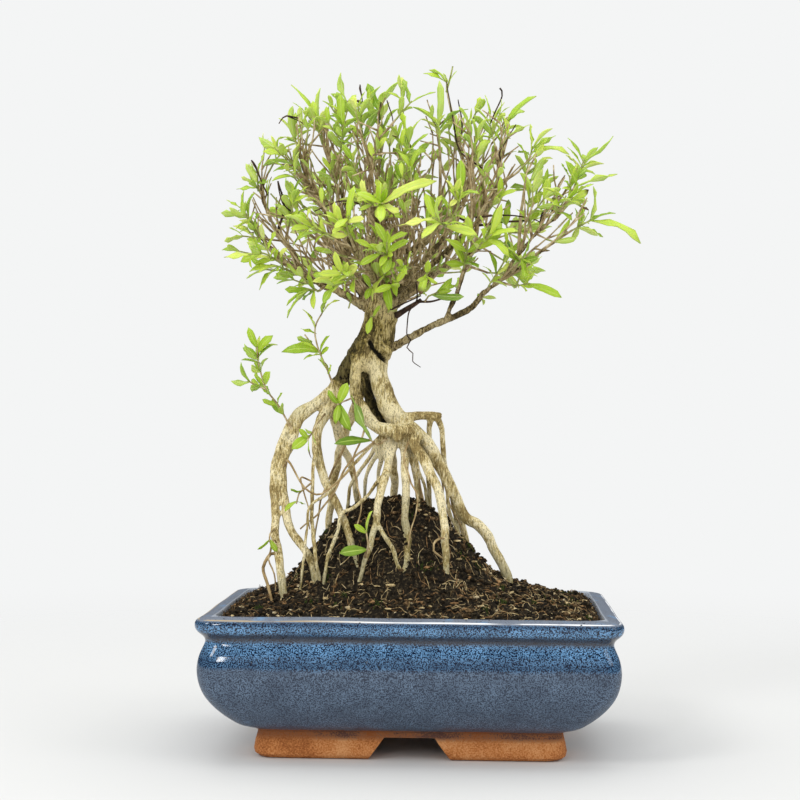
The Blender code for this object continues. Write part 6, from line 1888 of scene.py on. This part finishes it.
# Dead twigs in the crown: x, y, z and radius in millimetres, from the outer to the free end
DEAD_TWIGS = (
    ((-83, -10, 293, 0.6), (-81, -10, 290, 0.9), (-80, -10, 287, 0.6)),
    ((-66, -15, 270, 0.7), (-68, -15, 276, 0.6), (-69, -15, 281, 0.4)),
    ((-65, -12, 315, 0.7), (-67, -12, 314, 0.6), (-69, -12, 311, 0.4)),
    ((-65, -12, 315, 0.6), (-58, -12, 312, 0.4)),
    ((-28, 0, 326, 0.5), (-29, 0, 331, 0.9), (-29, 0, 333, 0.5)),
    ((-18, -5, 323, 0.6), (-19, -5, 315, 0.5)),
    ((-15, -5, 324, 0.6), (-12, -5, 313, 0.5)),
    ((-6, -8, 316, 0.4), (-5, -8, 307, 0.7), (-2, -8, 296, 0.8)),
    ((15, -5, 334, 0.4), (18, -5, 317, 0.6), (22, -5, 299, 0.8)),
    ((21, -12, 323, 0.4), (23, -12, 312, 0.7)),
    ((42, -5, 330, 0.8), (43, -5, 326, 0.6)),
    ((50, -15, 310, 0.4), (46, -15, 303, 0.5), (42, -15, 297, 0.7)),
    ((30, -20, 263, 0.8), (43, -20, 264, 0.7), (56, -20, 263, 0.5)),
    ((63, -20, 268, 0.8), (70, -20, 266, 0.5)),
    ((-50, -20, 266, 0.5), (-43, -20, 269, 0.6), (-36, -20, 271, 0.8)),
    ((-38, -10, 246, 0.7), (-32, -10, 243, 0.5)),
    ((-8, -8, 220, 0.8), (3, -8, 225, 0.5)),
    ((1, -8, 223, 0.6), (-3, -8, 217, 0.6), (-4, -8, 210, 0.5), (-4, -8, 205, 0.5),
     (-2, -8, 203, 0.5), (-4, -8, 199, 0.5), (-1, -8, 196, 0.4), (-1, -8, 192, 0.4),
     (3, -8, 189, 0.3)),
)


# How far a surface looks for other wood, to tell how shut in it is, for the bark's painted shade
OCCLUSION_REACH = 13.0
AXES = tuple(Vector(axis) for axis in ((1, 0, 0), (-1, 0, 0), (0, 1, 0), (0, -1, 0), (0, 0, 1),
                                       (0, 0, -1)))


def occlusion(wood: BVHTree, place: Vector, normal: Vector) -> float:
    """Return how shut in a place on the wood is, from 0 in the open to 1, for the bark's painted shade."""
    total = 0.0
    for axis in AXES:
        hit = wood.ray_cast(place + normal * 0.5, (normal + axis * 0.9).normalized(), OCCLUSION_REACH)
        if hit[3] is not None:
            total += 1 - hit[3] / OCCLUSION_REACH
    return min(total / 2.5, 1.0)


@dataclass
class Wood:
    """The serissa's wood: trunk and exposed roots, branches, twigs and dead twigs."""

    origin: Vector
    plant: Plant
    trunk_voxel: float = 0.62
    branch_voxel: float = 0.5
    fissure_depth: float = 0.55
    lump: float = 0.35
    gash_width: float = 1.0
    gash_depth: float = 2.4
    most_faces: int = 94000
    twig_sides: int = 6
    stain_height: float = 14.0
    straight_on: float = 0.75
    dead_share: float = 0.62
    samples: KDTree = field(init=False)
    ages: list = field(init=False, default_factory=list)

    def __post_init__(self) -> None:
        """Remember how old the bark is along every limb."""
        places = []
        for limb in TRUNK + ROOTS + BRANCHES:
            age = BARK_AGE.get(limb.name, ROOT_AGE if limb in ROOTS else BRANCH_AGE)
            for place in eased(limb.points, 3.0, 0.0):
                places.append(place.xyz)
                self.ages.append(age)
        self.samples = KDTree(len(places))
        for index, place in enumerate(places):
            self.samples.insert(place, index)
        self.samples.balance()

    def bark_age(self, place: Vector) -> float:
        """Return the age of the bark, blended over the nearest limbs."""
        total = 0.0
        weight = 0.0
        for _, index, distance in self.samples.find_n(place, 5):
            share = 1 / (0.5 + distance) ** 2
            total += self.ages[index] * share
            weight += share
        return total / weight

    def gash_share(self, place: Vector) -> float:
        """Return how deep in the old cut across the trunk a point lies, from 0 to 1."""
        line = [Vector(point) for point in GASH]
        flat = Vector((place.x, 0, place.z))
        near, _ = point_along(line, nearest_along(line, flat))
        return min(max(2.6 - 2 * (flat - near).length / self.gash_width, 0.0), 1.0)

    def carve(self, shape: bmesh.types.BMesh) -> None:
        """Press fissures, lumps and the gash into the wood, and note where they are."""
        ages = shape.verts.layers.float.new("bark_age")
        cracks = shape.verts.layers.float.new("bark_crack")
        stains = shape.verts.layers.float.new("soil_stain")
        shape.normal_update()
        for vertex in shape.verts:
            place = vertex.co.copy()
            age = self.bark_age(place)
            # Fissures about 1.2 mm wide and 6 mm long
            grain = noise.noise(Vector((place.x * 0.75, place.y * 0.75, place.z * 0.16)))
            crack = max(0.0, 1 - abs(grain) / 0.13) * min(age * 1.3, 1.0)
            ridge = noise.noise(Vector((place.x * 0.45, place.y * 0.45, place.z * 0.10 + 9)))
            lumps = noise.noise(place * 0.16) + 0.5 * noise.noise(place * 0.4)
            gash = self.gash_share(place) if place.y < -5 else 0.0
            push = self.lump * (0.4 + 0.6 * age) * lumps + 0.5 * age * ridge
            push -= self.fissure_depth * crack * age + self.gash_depth * gash
            vertex.co += vertex.normal * push
            vertex[ages] = age
            vertex[cracks] = max(crack * crack * age, gash)
            above = place.z - soil_height(place.x, place.y)
            vertex[stains] = min(max(1.15 - above / self.stain_height, 0.0), 1.0)

    def limbs(self, limbs: Sequence[Limb], wander: float) -> bpy.types.Mesh:
        """Return the tubes of some limbs, eased into natural bends."""
        routes = []
        for number, limb in enumerate(limbs):
            routes.append(eased(limb.points, 2.0, wander, 3.7 * number))
        return tubes_mesh(routes, 12)

    def trunk_and_roots(self, bark: bpy.types.Material) -> bpy.types.Object:
        """Build the trunk with its exposed roots as one grown body."""
        trunk = self.limbs(TRUNK, 0.5)
        roots = self.limbs((*ROOTS, BURL_KNOB), 1.0)
        collar = self.limbs([limb for limb in BRANCHES if limb.points[0][3] > 4.5], 0.7)
        merged = shaped((trunk, roots, collar))
        mesh = bpy.data.meshes.new("grown")
        merged.to_mesh(mesh)
        merged.free()
        return self.grown("trunk_and_roots", mesh, self.trunk_voxel, bark)

    def branches(self, bark: bpy.types.Material) -> bpy.types.Object:
        """Build the branches as one grown body, rooted in the trunk."""
        living = [limb for limb in BRANCHES if not limb.name.startswith(("dead", "stump_right"))]
        return self.grown("branches", self.limbs(living, 0.7), self.branch_voxel, bark)

    def grown(self, name: str, mesh: bpy.types.Mesh, voxel: float,
              bark: bpy.types.Material) -> bpy.types.Object:
        """Fuse tubes into one body, soften its forks and carve its bark.

        Args:
            name: the piece's name.
            mesh: tubes that overlap.
            voxel: the grain of the fusing, in millimetres.
            bark: the finish.

        Returns:
            The piece.
        """
        body = evaluated(mesh, (("REMESH", {"mode": "VOXEL", "voxel_size": voxel}),
                                ("SMOOTH", {"factor": 0.5, "iterations": 3})))
        shape = bmesh.new()
        shape.from_mesh(body)
        self.carve(shape)
        if len(shape.faces) > self.most_faces:
            carved = bpy.data.meshes.new("carved")
            shape.to_mesh(carved)
            ratio = self.most_faces / len(shape.faces)
            shape.clear()
            shape.from_mesh(evaluated(carved, (("DECIMATE", {"ratio": ratio}),)))
        shape.normal_update()
        # How shut in each place is, which the bark paints as shade
        occlusions = shape.verts.layers.float.new("bark_hollow")
        wood = BVHTree.FromBMesh(shape)
        for vertex in shape.verts:
            vertex[occlusions] = occlusion(wood, vertex.co, vertex.normal)
        piece = finish_mesh(name, shape, (bark,), self.origin)
        declare(piece, "serissa_wood", "tree")
        return piece

    def rooted(self, twig: Sequence[Sequence[float]], reach: float) -> list:
        """Return a dead twig's points, led straight on to the wood behind one of its ends."""
        best = (reach, [])
        for points in (list(twig), list(reversed(twig))):
            end = Vector(points[0][:3])
            ahead = Vector(points[1][:3]) - end
            for stem in self.plant.woody_routes():
                length = path_length(stem)
                for step in range(int(length / 2.5) + 1):
                    place, _ = point_along(stem, min(step * 2.5, length))
                    gap = end - place
                    distance = gap.length
                    if 0 < distance < best[0] and gap.angle(ahead) < self.straight_on:
                        best = (distance, [(*place, max(points[0][3], 0.5)), *points])
        return best[1]

    def twigs(self, finish: bpy.types.Material) -> bpy.types.Object:
        """Build the living twigs: those of the sprays, of the inner shoots and the bare ones."""
        routes = []
        sets = ((self.plant.twigs, TWIG_RADIUS), (self.plant.fine_twigs, 0.6), (self.plant.bare_twigs, 0.55))
        for twigs, thick in sets:
            for twig in twigs:
                count = max(len(twig) - 1, 1)
                points = []
                for index, point in enumerate(twig):
                    points.append((*point, lerp(thick, thick * 0.6, index / count)))
                routes.append(eased(points, 2.5, 0.45, len(routes)))
        piece = finish_mesh("twigs", shaped((tubes_mesh(routes, self.twig_sides),)), (finish,),
                            self.origin)
        declare(piece, "serissa_wood", "tree")
        return piece

    def dead_twigs(self, finish: bpy.types.Material) -> bpy.types.Object:
        """Build the dead twigs, dark and bare, each led back to living wood."""
        routes = []
        for limb in BRANCHES:
            if limb.name.startswith(("dead_twig", "dead_stub", "stump_right")):
                points = [(x, y, z, radius * self.dead_share) for x, y, z, radius in limb.points]
                routes.append(eased(points, 1.5, 0.5, len(routes)))
        for number, twig in enumerate(DEAD_TWIGS):
            points = [(x, y, z, radius * self.dead_share) for x, y, z, radius in self.rooted(twig, 26.0)]
            if points:
                routes.append(eased(points, 1.5, 0.35, number * 2.3))
        LOG.info("dead twigs: %d of %d seated", len(routes), len(DEAD_TWIGS))
        piece = finish_mesh("dead_twigs", shaped((tubes_mesh(routes, self.twig_sides),)), (finish,),
                            self.origin)
        declare(piece, "serissa_wood", "tree")
        return piece

    def hair_roots(self, finish: bpy.types.Material) -> bpy.types.Object:
        """Build the roots that are as thin as thread, into the soil."""
        routes = []
        for number, root in enumerate(HAIR_ROOTS):
            seat = nearest_on_wood(Vector(root[0][:3]))
            points = [(*seat, root[0][3]), *root]
            if (seat - Vector(root[0][:3])).length < 0.5:
                points = list(root)
            routes.append(eased(points, 2.0, 1.0, number * 1.9))
        piece = finish_mesh("hair_roots", shaped((tubes_mesh(routes, self.twig_sides),)), (finish,),
                            self.origin)
        declare(piece, "serissa_wood", "tree")
        return piece


class LeafForm(Enum):
    """How a blade is bent: fold at the midrib, curl of the tip, twist, wave of the edge."""

    FLAT = (0.10, 0.10, 0.0, 0.02)
    FOLDED = (0.42, 0.06, 0.1, 0.02)
    REFLEXED = (0.16, 0.75, -0.25, 0.04)
    TWISTED = (0.22, 0.25, 0.35, 0.05)
    WAVED = (0.14, -0.20, -0.25, 0.07)


class Crown(Enum):
    """The parts of the crown, each one piece."""

    LEFT = "foliage_left"
    TOP = "foliage_top"
    FRONT = "foliage_front"
    RIGHT = "foliage_right"
    BACK = "foliage_back"
    LOW = "foliage_low_shoots"


def crown_part(place: Vector) -> Crown:
    """Return the part of the crown that a place in millimetres belongs to."""
    if place.z < 205:
        return Crown.LOW
    if place.y > 14:
        return Crown.BACK
    if place.x > 48:
        return Crown.RIGHT
    if place.x < -42:
        return Crown.LEFT
    if place.z > 288:
        return Crown.TOP
    return Crown.FRONT


@dataclass
class Foliage:
    """The leaves with their green stems, grown from the plant's sprays."""

    origin: Vector
    plant: Plant
    segments_along: int = 6
    segments_across: int = 4
    thickness: float = 0.022
    narrowest: float = 0.07
    stem_share: float = 0.6
    slimness: float = 0.8
    wither_odds: float = 0.03

    def blade(self, form: LeafForm) -> bpy.types.Mesh:
        """Return a lance-shaped blade one unit long and one wide, its underside second.

        Args:
            form: how it is bent.

        Returns:
            The mesh, with a map of how far along and across each place is.
        """
        fold, curl, twist, wave = form.value
        shape = bmesh.new()
        shape.loops.layers.uv.new("blade")
        bmesh.ops.create_grid(shape, x_segments=self.segments_along, y_segments=self.segments_across,
                              size=1.0, calc_uvs=True)
        for vertex in shape.verts:
            along = (vertex.co.x + 1) / 2
            across = vertex.co.y
            full = max((along ** 0.95 * (1 - along) ** 0.62) / 0.362, 0.0)
            half = 0.5 * max(full, self.narrowest if along < 0.5 else 0.0)
            tip = max(along - 0.5, 0.0)
            height = 0.16 * along * (1 - along) + fold * 0.19 * abs(across) ** 1.2 * full
            height -= curl * tip * tip
            height += wave * math.sin(along * 11 + across * 2) * abs(across) * full
            turn = twist * (along - 0.25)
            vertex.co = Vector((along, across * half * math.cos(turn),
                                height + across * half * 0.4 * math.sin(turn)))
        bmesh.ops.remove_doubles(shape, verts=shape.verts[:], dist=1e-5)
        bmesh.ops.solidify(shape, geom=shape.faces[:], thickness=self.thickness)
        bmesh.ops.recalc_face_normals(shape, faces=shape.faces[:])
        for face in shape.faces:
            face.material_index = 1 if face.normal.z < -0.1 else 0
        mesh = bpy.data.meshes.new("blade")
        shape.to_mesh(mesh)
        shape.free()
        return mesh

    def place_leaf(self, shape: bmesh.types.BMesh, leaf: Leaf, blade: bpy.types.Mesh,
                   tone: float, wither: float) -> None:
        """Add one leaf to a shape, with its tone and how withered it is."""
        direction, side, up = leaf_frame(leaf)
        length = (leaf.tip - leaf.base).length
        start = len(shape.verts)
        shape.from_mesh(blade)
        shape.verts.ensure_lookup_table()
        fresh = shape.verts[start:]
        width = leaf.width * (1.0 if leaf.tip.z < LOW_SHOOTS_TOP else self.slimness)
        turn = Matrix((direction * length, side * width, up * length)).transposed()
        place = Matrix.Translation(leaf.base - direction * LEAF_SUNK) @ turn.to_4x4()
        bmesh.ops.transform(shape, matrix=place, verts=fresh)
        tones = shape.verts.layers.float["leaf_tone"]
        withers = shape.verts.layers.float["leaf_wither"]
        for vertex in fresh:
            vertex[tones] = tone
            vertex[withers] = wither

    def tone(self, growth: Growth, leaf: Leaf, rng: random.Random) -> float:
        """Return a leaf's place on the scale from old and dark to new and pale."""
        inner = (leaf.tip - CROWN_CENTRE)
        outer = min(math.hypot(inner.x / 100, inner.y / 60, inner.z / 80), 1.2)
        tone = 0.20 + 0.42 * outer + rng.gauss(0.0, 0.16)
        if leaf.tip.z < LOW_SHOOTS_TOP:
            tone = 0.42 + rng.gauss(0.0, 0.14)
        if any(word in growth.name for word in PALE_WORDS):
            tone += 0.04
        return min(max(tone, 0.0), 1.0)

    def build(self, materials: Sequence[bpy.types.Material],
              bark: bpy.types.Material) -> list[bpy.types.Object]:
        """Build the foliage, one piece for each part of the crown.

        Args:
            materials: the finishes of a blade above and below, and of a green stem.
            bark: the finish of the low shoots' stems.

        Returns:
            The pieces.
        """
        blades = [self.blade(form) for form in LeafForm]
        rng = random.Random("foliage")
        parts = {part: [] for part in Crown}
        for growth in self.plant.growths + self.plant.fine_growths:
            stem = growth.stems[0]
            parts[crown_part(point_along(stem, path_length(stem) * 0.6)[0])].append(growth)
        pieces = []
        for part, growths in parts.items():
            finishes = (*materials[:2], bark) if part is Crown.LOW else materials
            pieces.append(self.build_part(part, growths, blades, finishes, rng))
        return pieces

    def build_part(self, part: Crown, growths: Sequence[Growth], blades: Sequence[bpy.types.Mesh],
                   materials: Sequence[bpy.types.Material], rng: random.Random) -> bpy.types.Object:
        """Build the piece of one part of the crown from its sprays.

        Args:
            part: the part of the crown.
            growths: its sprays.
            blades: the blades to choose from.
            materials: the finishes of a blade above and below, and of a green stem.
            rng: the source of its draws.

        Returns:
            The piece, which stands for the nodes of its sprays.
        """
        routes = []
        for growth in growths:
            for stem in growth.stems:
                radii = [radius * self.stem_share for radius in stem_radii(stem)]
                back = stem[0] + (stem[0] - stem[1]).normalized() * 1.2
                points = [(*back, radii[0])] + [(*p, r) for p, r in zip(stem, radii)]
                routes.append(eased(points, 2.0, 0.25, len(routes)))
        stems = bpy.data.meshes.new("stems")
        merged = shaped((tubes_mesh(routes, 6),))
        merged.to_mesh(stems)
        merged.free()
        shape = bmesh.new()
        shape.from_mesh(stems)
        shape.loops.layers.uv.new("blade")
        shape.verts.layers.float.new("leaf_tone")
        shape.verts.layers.float.new("leaf_wither")
        for face in shape.faces:
            face.material_index = 2
        count = 0
        for growth in growths:
            for leaf in growth.leaves:
                wither = rng.uniform(0.2, 0.6) if rng.random() < self.wither_odds else 0.0
                if "withered" in growth.name:
                    wither = 0.9
                blade = blades[rng.choice((0, 0, 1, 1, 2, 3, 4))]
                self.place_leaf(shape, leaf, blade, self.tone(growth, leaf, rng), wither)
                count += 1
        piece = finish_mesh(part.value, shape, materials, self.origin)
        nodes = ["spray_" + growth.name for growth in growths if growth in self.plant.growths]
        declare(piece, "serissa_leaf", *nodes)
        LOG.info("%s: %d leaves", part.value, count)
        return piece


@dataclass
class Studio:
    """The set: a pale floor that fades into a white room, soft lights and the camera.

    Grey walls stand round the plant, out of the picture. The glaze mirrors them above its
    widest line and the pale floor below it, as it does in a real studio.
    """

    origin: Vector
    room: str = "F4F5F5"
    floor: str = "D7D7D6"
    floor_radius: float = 1.6
    wall_colour: str = "5A5A5C"
    wall_radius: float = 1.75
    wall_height: float = 1.7
    # Place in metres from the pot, side in metres and power in watts of each light
    lamps: tuple = (("key", (-0.95, -1.05, 1.15), 0.5, 8.0), ("fill", (1.2, -0.7, 0.9), 0.7, 3.0),
                    ("top", (0.0, 0.1, 1.5), 1.3, 7.0), ("front", (0.2, -1.5, 0.45), 1.0, 1.0),
                    ("strip", (-0.356, -1.34, 0.60), 0.07, 1.4))
    strip_height: float = 0.32

    def lights(self) -> None:
        """Light the room and hang the softboxes, all aimed at the middle of the plant."""
        world = bpy.data.worlds.new("white_room")
        world.use_nodes = True
        shade = world.node_tree.nodes["Background"]
        shade.inputs["Color"].default_value = linear(self.room)
        bpy.context.scene.world = world
        for name, place, size, power in self.lamps:
            lamp = bpy.data.lights.new(name, "AREA")
            lamp.energy = power
            lamp.size = size
            if name == "strip":
                lamp.shape = "RECTANGLE"
                lamp.size_y = self.strip_height
            holder = bpy.data.objects.new(name, lamp)
            holder.location = self.origin + Vector(place)
            aim = self.origin + Vector((0, 0, 0.16)) - holder.location
            holder.rotation_euler = aim.to_track_quat("-Z", "Y").to_euler()
            bpy.context.scene.collection.objects.link(holder)

    def staged(self, name: str, shape: bmesh.types.BMesh,
               material: bpy.types.Material) -> bpy.types.Object:
        """Turn a shape in metres into a thing of the set."""
        mesh = bpy.data.meshes.new(name)
        shape.to_mesh(mesh)
        shape.free()
        mesh.materials.append(material)
        thing = bpy.data.objects.new(name, mesh)
        bpy.context.scene.collection.objects.link(thing)
        return thing

    def ground(self) -> None:
        """Lay the floor, a disc that turns clear towards its edge, and stand the walls."""
        shape = bmesh.new()
        bmesh.ops.create_circle(shape, cap_ends=True, segments=96, radius=self.floor_radius)
        material, tree = new_material("matt_white_paper")
        place = add_node(tree, "TexCoord").outputs["Object"]
        reach = add_node(tree, "VectorMath", {0: place}, operation="LENGTH").outputs["Value"]
        clear = add_node(tree, "MapRange", {"Value": reach, 1: 0.2, 2: 0.85, 3: 1.0, 4: 0.0},
                         interpolation_type="SMOOTHSTEP").outputs[0]
        close_surface(tree, {"Base Color": linear(self.floor), "Roughness": 0.9, "Alpha": clear,
                             "Specular IOR Level": 0.0})
        self.staged("floor", shape, material)
        shape = bmesh.new()
        bmesh.ops.create_cone(shape, cap_ends=False, segments=64, radius1=self.wall_radius,
                              radius2=self.wall_radius, depth=self.wall_height)
        bmesh.ops.translate(shape, vec=(0, 0, self.wall_height / 2 + 0.02), verts=shape.verts[:])
        material, tree = new_material("matt_grey_cloth")
        close_surface(tree, {"Base Color": linear(self.wall_colour), "Roughness": 0.95})
        walls = self.staged("walls", shape, material)
        walls.visible_camera = False
        walls.visible_diffuse = False
        walls.visible_shadow = False

    def camera(self) -> None:
        """Set up the camera that took the photograph."""
        yaw, pitch, roll = (math.radians(angle) for angle in (YAW, PITCH, ROLL))
        level = Vector((math.cos(yaw), math.sin(yaw), 0))
        ahead = Vector((-math.sin(yaw), math.cos(yaw), 0))
        up = Vector((0, 0, 1))
        forward = ahead * math.cos(pitch) + up * math.sin(pitch)
        raised = up * math.cos(pitch) - ahead * math.sin(pitch)
        right = level * math.cos(roll) + raised * math.sin(roll)
        top = raised * math.cos(roll) - level * math.sin(roll)
        lens = bpy.data.cameras.new("camera")
        lens.sensor_width = SENSOR
        lens.lens = FOCAL_PIXELS / PHOTO_PIXELS * SENSOR
        lens.clip_start = 0.05
        holder = bpy.data.objects.new("camera", lens)
        bpy.context.scene.collection.objects.link(holder)
        turn = Matrix((right, top, -forward)).transposed().to_4x4()
        holder.matrix_world = Matrix.Translation(self.origin + EYE * MM) @ turn
        bpy.context.scene.camera = holder
        bpy.context.scene.view_settings.view_transform = "Standard"


def dress_screens(frame: dict, plastic: bpy.types.Material) -> None:
    """Give the drain screens of the solids their moulded plastic."""
    for side in ("left", "right"):
        screen = frame["nodes"]["drain_screen_" + side]
        screen.data.materials.clear()
        screen.data.materials.append(plastic)


def main() -> None:
    """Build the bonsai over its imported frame, and light it."""
    logging.basicConfig(level=logging.INFO, format="%(message)s")
    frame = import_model()
    low, high = (Vector(corner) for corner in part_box("pot"))
    origin = Vector(((low.x + high.x) / 2, (low.y + high.y) / 2, 0.0))

    studio = Studio(origin)
    studio.camera()
    studio.lights()
    studio.ground()

    bark = BarkFinish().make()
    branch_bark = BarkFinish("branch_bark", root_dark="625236", root="A89468", root_pale="D0BF98",
                             trunk_dark="3E341C", trunk="8A764A", trunk_pale="B4A276").make()
    young_bark = TwigFinish("young_twig_bark", "74603E", "AC966E", "D2C29E").make()
    dead_bark = TwigFinish("dead_twig_bark", "1C1410", "3C2C22", "624A3A", 0.85).make()
    root_skin = TwigFinish("root_skin", "7E6740", "A58C60", "CDB98F").make()
    green_stem = TwigFinish("green_shoot", "7D7A42", "9CA45A", "B3AE74", 0.5).make()
    upper = LeafFinish("leaf_upper_side", "486C14", "98B628", "BAD440", "DAE470", "C0D66C").make()
    under = LeafFinish("leaf_underside", "7A983A", "AAC454", "C2D66C", "DAE286", "CEDC98",
                       roughness=0.55).make()
    glaze = GlazeFinish().make()
    clay = ClayFinish().make()
    peat = EarthFinish("peat", "080604", "241D12", "6E6046").make()
    bark_chip = EarthFinish("pine_bark_chip", "1E160C", "55422A", "A08460", 2.0).make()
    straw = EarthFinish("dry_straw", "8A744A", "C8B284", "E6D8B0", 2.5, 0.8).make()
    grit = EarthFinish("pale_grit", "8C7A5A", "C6B48E", "E4DCC4", 1.2, 0.8).make()
    fibre = EarthFinish("coconut_fibre", "5E4326", "94714A", "C2A478", 2.5, 0.8).make()
    moss = EarthFinish("cushion_moss", "1C2608", "3A481A", "66742E", 1.5).make()
    plastic = EarthFinish("moulded_black_plastic", "101010", "161616", "1E1E1E", 0.8, 0.5).make()

    dress_screens(frame, plastic)
    pot = GlazedPot(origin)
    pot.bowl(glaze, clay)
    pot.feet(clay)
    soil = PeatSoil(origin)
    soil.ground(peat)
    soil.scatter("peat_crumbs", soil.crumbs, (0.5, 1.7), 0.8, 1, (peat, peat, bark_chip), 0.3)
    soil.scatter("bark_chips", soil.chips, (0.8, 2.2), 0.35, 1, (bark_chip, fibre, straw), 0.2)
    soil.scatter("stones", soil.stones, (0.4, 1.1), 0.8, 1, (grit,), 0.3)
    soil.loose_fibres((fibre, straw, bark_chip, root_skin))
    soil.rough_edge(bark_chip)
    soil.moss(moss)
    plant = Plant()
    wood = Wood(origin, plant)
    wood.trunk_and_roots(bark)
    wood.branches(branch_bark)
    wood.twigs(young_bark)
    wood.dead_twigs(dead_bark)
    wood.hair_roots(root_skin)
    Foliage(origin, plant).build((upper, under, green_stem), young_bark)


if __name__ == "__main__":
    main()
